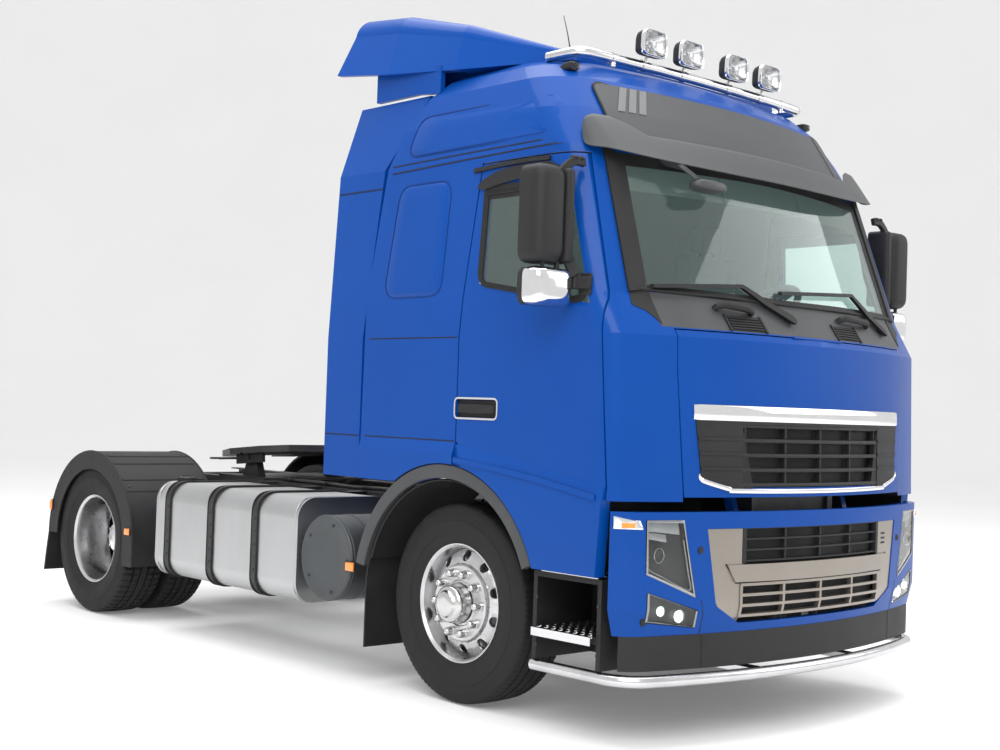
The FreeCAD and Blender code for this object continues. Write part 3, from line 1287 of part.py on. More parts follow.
def bumper():
    shell = common("bumper_shell", bumper_layer("bumper_skin", S.bumper_wall), in_front("bumper_keep"))
    tools = [across_front("plate_hole", plate_outline(S.face_gap))]
    for name, places in (("lamp_hole", lamp_outline(S.face_gap)), ("fog_hole", fog_outline(S.face_gap))):
        hole = across_front(name, places)
        tools += [hole, mirror(name + "_left", hole)]
    inner = S.rail_outer
    stays = [box("bumper_stay_%d" % i, xs, (S.bumper_stay_front, S.frame_front),
                 (S.plate_top + S.lamp_gap + S.lamp_gap, S.bumper_high - S.bumper_wall * S.half))
             for i, xs in enumerate(((-inner, -inner + S.rail_flange), (inner - S.rail_flange, inner)))]
    drops = [box("bumper_drop_%d" % i, xs, (S.frame_front - S.overrun, S.frame_front),
                 (RAIL_LOW, S.bumper_high - S.bumper_wall * S.half))
             for i, xs in enumerate(((-inner, -inner + S.rail_flange), (inner - S.rail_flange, inner)))]
    inner = S.rail_outer - S.rail_flange
    pins = [rod("tilt_pin_%d" % i, "X", (start, S.tilt_y, S.tilt_z), S.tilt_pin_radius,
                S.tilt_pin_out - inner) for i, start in enumerate((-S.tilt_pin_out, inner))]
    return fuse("bumper", cut("bumper_cut", shell, *tools), *stays, *drops, *pins)


def bumper_grille():
    cells = []
    across = S.cell_half + S.cell_half
    wide = (across - S.cell_bar * (S.cells_across - 1)) / S.cells_across
    tall = (S.cell_high - S.cell_low - S.cell_bar * (S.cells_up - 1)) / S.cells_up
    for i in range(int(S.cells_across.value)):
        for j in range(int(S.cells_up.value)):
            x = -S.cell_half + (wide + S.cell_bar) * i
            z = S.cell_low + (tall + S.cell_bar) * j
            cells.append([(x, z), (x + wide, z), (x + wide, z + tall), (x, z + tall)])
    cells.append([(-S.mesh_half, S.mesh_low), (S.mesh_half, S.mesh_low), (S.mesh_half, S.mesh_top),
                  (-S.mesh_half, S.mesh_top)])
    layer = cut("plate_layer", bumper_form("plate_front", -S.plate_setback),
                bumper_form("plate_back", -S.plate_setback - S.plate_wall))
    return common("bumper_grille", layer, across_front("plate_blank", plate_outline(0), cells))


def headlamps():
    layer = bumper_layer("lamp_skin", S.lamp_depth, -S.lamp_gap)
    lamp = common("headlamp", layer, across_front("lamp_blank", lamp_outline(0)))
    fog = common("fog_lamp", layer, across_front("fog_blank", fog_outline(0)))
    return group("headlamps", lamp, fog, mirror("headlamp_left", lamp), mirror("fog_left", fog))


def valance():
    rows = [(S.valance_low, S.valance_half, S.valance_front, S.bumper_bow, S.bumper_corner, size_of(0)),
            (S.bumper_low, S.valance_half, S.valance_front, S.bumper_bow, S.bumper_corner, size_of(0))]
    wall = S.valance_wall
    inner = [(z, half - wall, front + wall, bow - wall, corner - wall, size_of(0))
             for z, half, front, bow, corner, rear in rows]
    sheet_form = cut("valance_sheet", lofted("valance_outer", rows, plan, "Z"),
                     lofted("valance_inner", inner, plan, "Z"))
    keep = box("valance_keep", (-S.cab_half, S.cab_half), (S.tube_front, S.valance_rear),
               (S.valance_low, S.bumper_low))
    return common("bumper_valance", sheet_form, keep)


S.add(bumper_stay_front=-1345)
node("bumper", bumper())
node("bumper_grille", bumper_grille())
node("headlamps", headlamps())
node("bumper_valance", valance())

S.add(guard_tube=28, guard_tube_z=300, guard_tube_half=1176, guard_tube_corner=180, guard_tube_rear=-600)


def underrun_tube():
    places = tube_plan(S.guard_tube_half, S.tube_front + S.guard_tube, S.bumper_bow,
                       S.guard_tube_corner, S.guard_tube_rear)
    solids = [piped("underrun_pipe", places, S.guard_tube, S.guard_tube_z)]
    inner = S.rail_outer - S.rail_flange
    half = S.guard_tube * S.half
    for side, xs in (("right", (-S.rail_outer, -inner)), ("left", (inner, S.rail_outer))):
        solids.append(box("tube_arm_" + side, xs, (S.tube_front + S.guard_tube, S.tube_drop_y),
                          (S.guard_tube_z - half, S.guard_tube_z + half)))
        solids.append(box("tube_drop_" + side, xs, (S.frame_front, S.tube_drop_y),
                          (S.guard_tube_z - half, RAIL_LOW)))
    return fuse("underrun_tube", *solids)


S.add(tube_drop_y=-1035)
node("underrun_tube", underrun_tube())

# Mudguards behind the front wheels, and the rear lamps


def mudguard():
    middle = S.guard_radius - S.guard_wall * S.half
    stay = rod("guard_stay", "X", (-S.guard_inner - S.guard_wall, middle * cosine_of(S.guard_stay_angle),
                                   S.axle_z + middle * sine_of(S.guard_stay_angle)),
               S.guard_stay_radius, S.guard_inner + S.guard_wall - S.rail_outer)
    return fuse("front_mudguard", front_guard(), stay)


S.add(guard_stay_angle=30, guard_stay_radius=20)
S.add(tail_near=640, tail_far=1000, tail_front=4400, tail_rear=4455, tail_low=800, tail_high=920)
S.add(tail_arm_low=840, tail_arm_high=880, tail_arm_depth=25, tail_round=25)


def tail_lamp():
    lamp = prism("tail_lamp_body", "Y", rounded_section(S.tail_near, S.tail_far, S.tail_low, S.tail_high,
                                                        S.tail_round), S.tail_front, S.tail_rear)
    arm = box("tail_lamp_arm", (S.rail_outer, S.tail_near), (S.tail_front, S.tail_front
                                                          + S.tail_arm_depth),
              (S.tail_arm_low, S.tail_arm_high))
    return fuse("tail_lamp", lamp, arm)


node("front_mudguards", pair("front_mudguards", mudguard()))
node("tail_lamps", pair("tail_lamps", tail_lamp()))

# Wheels. Each profile is given from the wheel's middle plane, outward to the right side's negative x

S.add(front_track_half=994, rear_track_half=921, dual_half=173, tyre_radius=507, tyre_half=156)
S.add(bead_radius=288, bead_half=117, sidewall_radius=400, shoulder_half=125)
S.add(flange_radius=299, flange_half=130, seat_radius=287.7)
S.add(barrel_radius=277, web_thick=14, front_web_in=-88, front_web_radius=190, front_web_join=-50)
S.add(hub_in=12, hub_radius=118, cap_base_radius=104, cap_end_radius=86, cap_end=-205, cap_tip=-228)
S.add(cap_tip_radius=58, bore_end=-120, hole_ring=232, hole_size=29, hole_count=10)
S.add(rear_hub_in=330, drum_radius=200, drum_start=100, rear_web_half=14, rear_web_radius=212)
S.add(rear_join=58, valley_radius=226, rear_hub_cap=-150, rear_cap_radius=98, rear_cap_tip=-166)
S.add(rear_cap_tip_radius=66, rear_bore_end=-26, rear_hole_ring=232)


def tyre(name, middle, along):
    lip = S.flange_radius + S.face_gap
    return revolved(name, [
        (-S.bead_half, S.bead_radius), (S.bead_half, S.bead_radius), (S.bead_half, lip),
        (S.tyre_half, S.sidewall_radius), (S.shoulder_half, S.tyre_radius),
        (-S.shoulder_half, S.tyre_radius), (-S.tyre_half, S.sidewall_radius), (-S.bead_half, lip)],
        -middle, along, S.axle_z)


def drilled(body, ring):
    """Round holes through the wheel's web, one drawn and the rest in a polar pattern."""
    sketch = new_sketch(body, body.Name + "_hole", "X")
    circle(sketch, 0, ring, S.hole_size)
    hole = body.newObject("PartDesign::Pocket", body.Name + "_pocket")
    hole.Profile = sketch
    hole.Midplane = True
    bind(hole, "Length", S.web_reach + S.web_reach)
    sketch.Visibility = False
    pattern = body.newObject("PartDesign::PolarPattern", body.Name + "_pattern")
    pattern.Originals = [hole]
    pattern.Axis = (origin_item(body, "X_Axis"), [""])
    pattern.Angle = FULL
    bind(pattern, "Occurrences", S.hole_count)
    body.Tip = pattern
    return body


S.add(web_reach=240)


def rim_edge(middle):
    """The seat and flanges of one rim as they lie from its inner flange to its outer one."""
    half, flange, seat = S.flange_half, S.flange_radius, S.seat_radius
    bead = S.bead_half + S.face_gap
    places = [(half, S.barrel_radius), (half, flange), (bead, flange), (bead, seat),
              (-bead, seat), (-bead, flange), (-half, flange), (-half, S.barrel_radius)]
    return [(middle + across, radius) for across, radius in places]


def front_rim():
    bore = S.spindle_radius + S.face_gap
    web = S.front_web_in
    body = revolved("rim_front_right", [
        (S.hub_in, bore), (S.hub_in, S.hub_radius), (web, S.hub_radius), (web, S.front_web_radius),
        (S.front_web_join, S.barrel_radius), *rim_edge(size_of(0)),
        (S.front_web_join - S.web_thick, S.barrel_radius), (web - S.web_thick, S.front_web_radius),
        (web - S.web_thick, S.cap_base_radius), (S.cap_end, S.cap_end_radius),
        (S.cap_tip, S.cap_tip_radius), (S.cap_tip, 0), (S.bore_end, 0), (S.bore_end, bore)],
        -S.front_track_half, 0, S.axle_z)
    return drilled(body, S.hole_ring)


def rear_rim():
    bore, web = S.spindle_radius + S.face_gap, S.rear_web_half
    outer, inner = rim_edge(-S.dual_half), rim_edge(S.dual_half)
    body = revolved("rim_rear_right", [
        (S.rear_hub_in, bore), (S.rear_hub_in, S.drum_radius), (S.drum_start, S.drum_radius),
        (S.drum_start, S.hub_radius), (web, S.hub_radius), (web, S.rear_web_radius),
        (S.rear_join, S.barrel_radius), *inner[:-1], (S.dual_half - S.flange_half, S.seat_radius),
        (0, S.valley_radius), (S.flange_half - S.dual_half, S.seat_radius), *outer[1:],
        (-S.rear_join, S.barrel_radius), (-web, S.rear_web_radius), (-web, S.cap_base_radius),
        (S.rear_hub_cap, S.rear_cap_radius), (S.rear_cap_tip, S.rear_cap_tip_radius),
        (S.rear_cap_tip, 0), (S.rear_bore_end, 0), (S.rear_bore_end, bore)],
        -S.rear_track_half, S.wheelbase, S.axle_z)
    return drilled(body, S.rear_hole_ring)


def both_sides(name, piece):
    node(name + "_right", piece)
    node(name + "_left", mirror(name + "_left", piece))


both_sides("rim_front", front_rim())
both_sides("rim_rear", rear_rim())
both_sides("tyre_front", tyre("tyre_front_right", S.front_track_half, 0))
both_sides("tyres_rear", group("tyres_rear_right",
                               tyre("tyre_rear_outer", S.rear_track_half + S.dual_half, S.wheelbase),
                               tyre("tyre_rear_inner", S.rear_track_half - S.dual_half, S.wheelbase)))

# Steering: a forked knuckle on each kingpin, and the tie rod between their arms

S.add(upright_near=67, upright_far=98, upright_half=70, ear_gap=2.5, ear_thick=42, ear_half=58)
S.add(ear_in=45, front_spindle_end=1096, arm_reach=200, arm_half=28, ball_radius=12, eye_radius=27)
S.add(eye_rise=3, eye_height=40, tie_radius=17, open_pivot_gap=2, ball_rise=6)


def knuckle():
    top, foot = S.beam_eye_high + S.ear_gap, S.beam_eye_low - S.ear_gap
    near, far = S.kingpin_x + S.upright_near, S.kingpin_x + S.upright_far
    upright = box("knuckle_upright", (-far, -near), (-S.upright_half, S.upright_half),
                  (foot - S.ear_thick, top + S.ear_thick))
    ears = [box("knuckle_ear_%d" % i, (-near, S.ear_in - S.kingpin_x), (-S.ear_half, S.ear_half), zs)
            for i, zs in enumerate(((foot - S.ear_thick, foot), (top, top + S.ear_thick)))]
    pin = rod("kingpin", "Z", (-S.kingpin_x, 0, foot - S.ear_thick), S.kingpin_radius,
              top - foot + S.ear_thick + S.ear_thick)
    spindle = rod("knuckle_spindle", "X", (-S.front_spindle_end, 0, S.axle_z), S.spindle_radius,
                  S.front_spindle_end - near)
    arm = box("steering_arm", (-S.kingpin_x - S.arm_half, S.arm_half - S.kingpin_x),
              (S.ear_half - S.overrun, S.arm_reach), (foot - S.ear_thick, foot))
    arm_end = rod("steering_arm_end", "Z", (-S.kingpin_x, S.arm_reach, foot - S.ear_thick), S.arm_half,
                  S.ear_thick)
    ball_pin = rod("steering_ball_pin", "Z", (-S.kingpin_x, S.arm_reach, foot), S.ball_radius,
                   S.eye_rise + S.eye_height + S.ball_rise)
    return fuse("knuckle_right", upright, *ears, pin, spindle, arm, arm_end, ball_pin)


def tie_rod():
    foot = S.beam_eye_low - S.ear_gap + S.eye_rise
    bar = rod("tie_bar", "X", (-S.kingpin_x, S.arm_reach, foot + S.eye_height * S.half), S.tie_radius,
              S.kingpin_x + S.kingpin_x)
    eyes, bores = [], []
    for side, play in ((-1, S.face_gap), (1, S.open_pivot_gap)):
        at = S.kingpin_x * side
        eyes.append(rod("tie_eye_%d" % side, "Z", (at, S.arm_reach, foot), S.eye_radius, S.eye_height))
        bores.append(rod("tie_bore_%d" % side, "Z", (at, S.arm_reach, foot - S.overrun),
                         S.ball_radius + play, S.eye_height + S.overrun + S.overrun))
    return cut("tie_rod", fuse("tie_rod_whole", bar, *eyes), *bores)


both_sides("knuckle", knuckle())
node("tie_rod", tie_rod())

# The fifth wheel: a tilting plate with a throat for the kingpin, on two pins

S.add(plate_y=3090, pivot_z=1105, plate_tilt=5, plate_rise=15, plate_thick=45, plate_front=-400)
S.add(plate_front_half=330, plate_half=455, plate_side_front=-240, plate_side_rear=150)
S.add(plate_tip=480, plate_tip_half=310, throat_mouth=115, throat_neck_y=70, jaw_radius=25.7)
S.add(jaw_y=30, rib_near=380, rib_far=402, rib_front=-180, rib_rear=150, rib_low=-50)
S.add(pivot_radius=25, base_front=2840, base_rear=3420, base_thick=15, ear_near=318, ear_far=372)
S.add(base_ear_half=110, ear_top_half=45, pin_near=330, pin_far=410)


def fifth_wheel_plate():
    body = doc.addObject("PartDesign::Body", "fifth_wheel_plate")
    body.Placement = Placement(Vector(), Rotation(Vector(-1, 0, 0), S.plate_tilt.value))
    bind(body, "Placement.Rotation.Angle", S.plate_tilt)
    bind_place(body, 0, S.plate_y, S.pivot_z)
    sketch = new_sketch(body, "plate_outline", "Z", S.plate_rise)
    jaw, y = S.jaw_radius, S.jaw_y
    outline(sketch, [
        (-S.plate_front_half, S.plate_front), (S.plate_front_half, S.plate_front),
        (S.plate_half, S.plate_side_front), (S.plate_half, S.plate_side_rear),
        (S.plate_tip_half, S.plate_tip), (S.throat_mouth, S.plate_tip), (jaw, S.throat_neck_y),
        (jaw, y, jaw), (0, y - jaw, jaw), (-jaw, y), (-jaw, S.throat_neck_y),
        (-S.throat_mouth, S.plate_tip), (-S.plate_tip_half, S.plate_tip),
        (-S.plate_half, S.plate_side_rear), (-S.plate_half, S.plate_side_front)])
    pad(body, sketch, S.plate_thick, "plate_pad")
    ribs = new_sketch(body, "plate_ribs", "Z", S.rib_low)
    for near, far in ((-S.rib_far, -S.rib_near), (S.rib_near, S.rib_far)):
        outline(ribs, [(near, S.rib_front), (far, S.rib_front), (far, S.rib_rear),
                       (near, S.rib_rear)])
    pad(body, ribs, S.plate_rise - S.rib_low + S.overrun, "plate_ribs_pad")
    bores = new_sketch(body, "plate_bores", "X")
    circle(bores, 0, 0, S.pivot_radius + S.face_gap)
    hole = body.newObject("PartDesign::Pocket", "plate_bore_pocket")
    hole.Profile = bores
    hole.Midplane = True
    bind(hole, "Length", S.plate_half + S.plate_half)
    bores.Visibility = False
    body.Tip = hole
    return body


def fifth_wheel_base():
    deck = box("base_deck", (-S.rail_outer, S.rail_outer), (S.base_front, S.base_rear),
               (S.rail_top, S.rail_top + S.base_thick))
    solids = [deck]
    top = S.pivot_z + S.ear_top_half
    for side, low, high in (("right", -S.ear_far, -S.ear_near), ("left", S.ear_near, S.ear_far)):
        solids.append(prism("base_ear_" + side, "X", [
            (S.plate_y - S.base_ear_half, S.rail_top), (S.plate_y + S.base_ear_half, S.rail_top),
            (S.plate_y + S.ear_top_half, S.pivot_z), (S.plate_y, S.pivot_z + S.ear_crown),
            (S.plate_y - S.ear_top_half, S.pivot_z)], low, high))
        start = -S.pin_far if side == "right" else S.pin_near
        solids.append(rod("base_pin_" + side, "X", (start, S.plate_y, S.pivot_z), S.pivot_radius,
                          S.pin_far - S.pin_near))
    return fuse("fifth_wheel_base", *solids)


S.add(ear_crown=8)
node("fifth_wheel_base", fifth_wheel_base())
node("fifth_wheel_plate", fifth_wheel_plate())

# Check every object, then write one file for each piece

def check_and_write():
    doc.recompute()
    for thing in doc.Objects:
        if "Invalid" in thing.State or "Error" in thing.State:
            raise SystemExit("object failed: %s %s" % (thing.Name, thing.State))
    os.makedirs("parts", exist_ok=True)
    for piece in NODES:
        shape = piece.Shape
        if shape.isNull() or not shape.isValid() or not shape.Solids:
            raise SystemExit("bad shape: " + piece.Label)
        shape.exportStep(os.path.join("parts", piece.Label + ".step"))
        corners = shape.BoundBox
        print("%-24s %2d solids %9.1f litres  y %7.1f %7.1f  z %7.1f %7.1f" % (
            piece.Label, len(shape.Solids), shape.Volume / 1e6,
            corners.YMin, corners.YMax, corners.ZMin, corners.ZMax))


check_and_write()
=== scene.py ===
import math

import bmesh
import bpy
from mathutils import Matrix, Vector


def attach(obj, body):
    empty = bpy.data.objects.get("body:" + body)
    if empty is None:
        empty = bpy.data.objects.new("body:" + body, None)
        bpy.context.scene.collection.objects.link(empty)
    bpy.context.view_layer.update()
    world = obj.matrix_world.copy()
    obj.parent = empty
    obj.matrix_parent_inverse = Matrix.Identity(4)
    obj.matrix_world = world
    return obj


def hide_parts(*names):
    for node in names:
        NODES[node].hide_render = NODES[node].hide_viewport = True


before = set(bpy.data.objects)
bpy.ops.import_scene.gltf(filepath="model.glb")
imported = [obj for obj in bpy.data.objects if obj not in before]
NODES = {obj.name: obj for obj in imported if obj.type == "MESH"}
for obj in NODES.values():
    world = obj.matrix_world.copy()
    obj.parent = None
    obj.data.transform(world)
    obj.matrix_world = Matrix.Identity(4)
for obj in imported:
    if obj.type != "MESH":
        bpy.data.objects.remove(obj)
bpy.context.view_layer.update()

# Lengths are in metres and measured from the front axle over the ground. SHIFT leads from there to
# the part's frame.

SHIFT = -1.540
AXLE_Z = 0.507
REAR_Y = 3.700
FRONT_X, REAR_X, TWIN_X = 0.994, 0.921, 0.173


def at(x, y, z):
    """A place in the part's frame."""
    return Vector((x, y + SHIFT, z))


# Shader helpers


def link(tree, a, a_out, b, b_in):
    tree.links.new(a.outputs[a_out], b.inputs[b_in])


def new_material(name):
    """A material, its node tree and its shader."""
    made = bpy.data.materials.new(name)
    made.use_nodes = True
    tree = made.node_tree
    return made, tree, tree.nodes["Principled BSDF"]


def noise(tree, scale, detail=3.0, stretch=(1, 1, 1)):
    """A cloudy pattern that stays put on its object."""
    place = tree.nodes.new("ShaderNodeTexCoord")
    turn = tree.nodes.new("ShaderNodeMapping")
    turn.inputs["Scale"].default_value = stretch
    cloud = tree.nodes.new("ShaderNodeTexNoise")
    cloud.inputs["Scale"].default_value = scale
    cloud.inputs["Detail"].default_value = detail
    link(tree, place, "Object", turn, "Vector")
    link(tree, turn, "Vector", cloud, "Vector")
    return cloud


def spread(tree, source, socket, low, high, start=0.3, stop=0.7):
    """Maps a pattern's values from start and stop to low and high."""
    span = tree.nodes.new("ShaderNodeMapRange")
    span.inputs["From Min"].default_value = start
    span.inputs["From Max"].default_value = stop
    span.inputs["To Min"].default_value = low
    span.inputs["To Max"].default_value = high
    link(tree, source, socket, span, "Value")
    return span


def tinted(tree, shader, source, first, second, start=0.3, stop=0.7):
    """Colours a shader between two tints, after a pattern."""
    share = spread(tree, source, "Fac", 0.0, 1.0, start, stop)
    mixed = tree.nodes.new("ShaderNodeMix")
    mixed.data_type = "RGBA"
    mixed.inputs["A"].default_value = (*first, 1)
    mixed.inputs["B"].default_value = (*second, 1)
    link(tree, share, "Result", mixed, "Factor")
    tree.links.new(mixed.outputs["Result"], shader.inputs["Base Color"])


def bumped(tree, shader, source, socket, strength, distance):
    bump = tree.nodes.new("ShaderNodeBump")
    bump.inputs["Strength"].default_value = strength
    bump.inputs["Distance"].default_value = distance
    link(tree, source, socket, bump, "Height")
    link(tree, bump, "Normal", shader, "Normal")


def surface(name, first, second, rough, metal=0.0, patch=3.0, grain=0, bump=0.0, coat=0.0,
            stretch=(1, 1, 1), sheen=0.5):
    """A finish with soft colour patches, an uneven gloss and a fine grain."""
    made, tree, shader = new_material(name)
    shader.inputs["Metallic"].default_value = metal
    shader.inputs["Coat Weight"].default_value = coat
    shader.inputs["Coat Roughness"].default_value = 0.03
    shader.inputs["Specular IOR Level"].default_value = sheen
    cloud = noise(tree, patch, 4.0, stretch)
    tinted(tree, shader, cloud, first, second)
    gloss = spread(tree, cloud, "Fac", rough[0], rough[1])
    link(tree, gloss, "Result", shader, "Roughness")
    if grain:
        bumped(tree, shader, noise(tree, grain, 2.0, stretch), "Fac", bump, 0.001)
    return made


SKY = (0.50, 0.72, 0.70, 1)


def clear(name, tint, ior=1.45, sky=0.0):
    """Clear glass. The sky is a faint glow, as of a bright sky that the pane mirrors."""
    made, tree, shader = new_material(name)
    shader.inputs["Transmission Weight"].default_value = 1.0
    shader.inputs["IOR"].default_value = ior
    cloud = noise(tree, 2.0, 2.0)
    tinted(tree, shader, cloud, tint, [min(c * 1.06, 1.0) for c in tint])
    gloss = spread(tree, cloud, "Fac", 0.0, 0.02)
    link(tree, gloss, "Result", shader, "Roughness")
    if sky:
        shader.inputs["Emission Color"].default_value = SKY
        shader.inputs["Emission Strength"].default_value = sky
    return made


def glowing(name, tint, strength):
    """A lit lamp's finish."""
    made, tree, shader = new_material(name)
    shader.inputs["Emission Color"].default_value = (*tint, 1)
    shader.inputs["Emission Strength"].default_value = strength
    tinted(tree, shader, noise(tree, 60.0), tint, [c * 0.9 for c in tint])
    return made


PAINT = surface("blue_paint", (0.0012, 0.053, 0.282), (0.0016, 0.058, 0.305), (0.30, 0.38), 0.0, 1.2,
                260, 0.02, 0.16, (1, 1, 1), 0.10)
# A darker copy of the blue paint: painted shade, for lines round panels and for the spoiler's filler
SHADED_BLUE = surface("shaded_blue_paint", (0.0010, 0.027, 0.150), (0.0012, 0.030, 0.165), (0.36, 0.44),
                    0.0, 1.2, 260, 0.02, 0.15, (1, 1, 1), 0.15)
BLACK = surface("chassis_black", (0.018, 0.018, 0.020), (0.035, 0.034, 0.033), (0.42, 0.62), 0.0, 6.0,
                300, 0.15)
CAST = surface("cast_metal", (0.045, 0.045, 0.047), (0.075, 0.072, 0.070), (0.55, 0.75), 0.6, 9.0, 420,
               0.4)
DARK_ALLOY = surface("dark_alloy", (0.08, 0.08, 0.085), (0.12, 0.12, 0.12), (0.4, 0.55), 0.8, 12.0)
STEEL = surface("dark_steel", (0.030, 0.030, 0.032), (0.050, 0.049, 0.048), (0.38, 0.55), 0.5, 8.0,
                350, 0.2)
PLASTIC = surface("black_plastic", (0.012, 0.012, 0.013), (0.019, 0.019, 0.020), (0.50, 0.62), 0.0,
                  5.0, 1600, 0.25, 0.0, (1, 1, 1), 0.32)
GREY = surface("grey_plastic", (0.040, 0.042, 0.045), (0.052, 0.054, 0.057), (0.42, 0.52), 0.0, 5.0,
               1800, 0.22)
CHAMPAGNE = surface("champagne_paint", (0.285, 0.255, 0.222), (0.315, 0.282, 0.245), (0.30, 0.38), 0.75,
                    4.0, 900, 0.03, 0.3)
CHROME = surface("chrome", (0.80, 0.80, 0.81), (0.86, 0.86, 0.87), (0.04, 0.09), 1.0, 7.0)
TUBE = surface("polished_steel", (0.62, 0.62, 0.63), (0.70, 0.70, 0.71), (0.14, 0.24), 1.0, 9.0, 500,
               0.04)
TANK = surface("tank_alloy", (0.48, 0.485, 0.49), (0.53, 0.535, 0.54), (0.34, 0.42), 1.0, 1.6, 300,
               0.03, 0.0, (1, 3, 1))
WHEEL = surface("wheel_alloy", (0.56, 0.56, 0.565), (0.64, 0.64, 0.645), (0.24, 0.34), 1.0, 8.0,
                600, 0.04)
SILENCER = surface("silencer_coat", (0.060, 0.066, 0.070), (0.075, 0.081, 0.086), (0.45, 0.58), 0.35,
                   5.0, 900, 0.15)
RUBBER = surface("tyre_rubber", (0.011, 0.011, 0.0112), (0.018, 0.0178, 0.0175), (0.62, 0.80), 0.0,
                 14.0, 900, 0.35, 0.0, (1, 1, 1), 0.3)
RED_LENS = surface("red_lens", (0.42, 0.012, 0.010), (0.48, 0.018, 0.014), (0.10, 0.18), 0.0, 20.0, 90,
                   0.3, 1.0)
AMBER = surface("amber_lens", (0.90, 0.24, 0.015), (0.95, 0.30, 0.03), (0.10, 0.18), 0.0, 20.0, 200,
                0.3, 1.0)
TRIM = surface("cabin_trim", (0.10, 0.095, 0.085), (0.13, 0.122, 0.11), (0.55, 0.68), 0.0, 4.0, 900,
               0.3)
CLOTH = surface("seat_cloth", (0.075, 0.072, 0.070), (0.115, 0.108, 0.10), (0.80, 0.92), 0.0, 30.0,
                1300, 0.6)
LINING = surface("cabin_lining", (0.34, 0.325, 0.295), (0.39, 0.37, 0.335), (0.75, 0.88), 0.0, 5.0,
                 1100, 0.35)
WINDOW = clear("window_glass", (0.62, 0.74, 0.71), sky=0.05)
LENS = clear("lamp_glass", (0.93, 0.95, 0.96), 1.35)
LAMP_LIT = glowing("lamp_lit", (0.86, 1.0, 0.93), 3.4)
LAMP_TRIM = surface("lamp_trim", (0.26, 0.265, 0.27), (0.32, 0.325, 0.33), (0.18, 0.30), 0.9, 9.0)
HUB = surface("hub_steel", (0.58, 0.575, 0.57), (0.66, 0.655, 0.65), (0.16, 0.26), 1.0, 8.0, 500, 0.03)
STRIPE = surface("stripe_grey", (0.13, 0.135, 0.14), (0.15, 0.155, 0.16), (0.42, 0.50), 0.0, 4.0)
# A near-black finish for real seams and joints, also used for sheets of painted shade behind openings
SEAM_AND_SHADE = surface("seam_shadow", (0.004, 0.004, 0.005), (0.007, 0.007, 0.008), (0.7, 0.85))


# Mesh helpers


def add_mesh(name, points, faces, finish, body, slot, smooth=35.0, replaces=()):
    """One piece from points in the part's frame, riding a body. The slot it is given is not used."""
    mesh = bpy.data.meshes.new(name)
    mesh.from_pydata([tuple(p) for p in points], [], faces)
    shape = bmesh.new()
    shape.from_mesh(mesh)
    bmesh.ops.remove_doubles(shape, verts=shape.verts, dist=1e-6)
    bmesh.ops.recalc_face_normals(shape, faces=shape.faces)
    shape.to_mesh(mesh)
    shape.free()
    piece = bpy.data.objects.new(name, mesh)
    bpy.context.scene.collection.objects.link(piece)
    piece.data.materials.append(finish)
    soften(piece, smooth)
    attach(piece, body)
    if replaces:
        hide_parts(*replaces)
    return piece


def soften(piece, angle):
    """Smooth shading that keeps edges sharper than the angle."""
    bpy.context.view_layer.objects.active = piece
    for other in bpy.context.selected_objects:
        other.select_set(False)
    piece.select_set(True)
    bpy.ops.object.shade_smooth_by_angle(angle=math.radians(angle))
    piece.select_set(False)


def bevel(piece, width):
    """Rounds a piece's sharp edges."""
    made = piece.modifiers.new("edge", "BEVEL")
    made.width = width
    made.segments = 2
    made.limit_method = "ANGLE"
    made.angle_limit = math.radians(40.0)
    made.harden_normals = False


def paint(node, finish):
    """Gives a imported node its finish."""
    thing = NODES[node]
    thing.data.materials.clear()
    thing.data.materials.append(finish)
    soften(thing, 28.0)

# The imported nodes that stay, each with its finish

for finish, names in (
        (BLACK, ("frame_rails", "frame_crossmembers", "propshaft", "front_springs", "tie_rod",
                 "cab_rest")),
        (CAST, ("engine_block", "front_axle", "rear_axle", "knuckle_right", "knuckle_left")),
        (DARK_ALLOY, ("radiator",)),
        (STEEL, ("fifth_wheel_base", "fifth_wheel_plate", "tank_straps")),
        (PLASTIC, ("battery_and_tank_boxes", "rear_fenders", "steps", "bumper_valance",
                   "front_mudguards", "wipers", "rear_suspension")),
        (GREY, ("cowl_panel", "header_panel", "sun_visor", "mirror_right", "mirror_left")),
        (PAINT, ("bumper", "cab_shell", "roof_fairing", "side_deflectors", "front_flap", "door_right",
                 "door_left")),
        (CHAMPAGNE, ("bumper_grille",)),
        (LENS, ("headlamps",)),
        (RED_LENS, ("tail_lamps",)),
        (TANK, ("fuel_tank",)),
        (SILENCER, ("silencer",)),
        (TUBE, ("underrun_tube", "roof_bar")),
        (WINDOW, ("windscreen", "door_glass_right", "door_glass_left")),
        (TRIM, ("dashboard", "seats_and_bunk")),
        (CHROME, ("upper_grille",)),
        (WHEEL, ("rim_front_right", "rim_front_left", "rim_rear_right", "rim_rear_left")),
        (RUBBER, ("tyre_front_right", "tyre_front_left", "tyres_rear_right", "tyres_rear_left"))):
    for name in names:
        paint(name, finish)


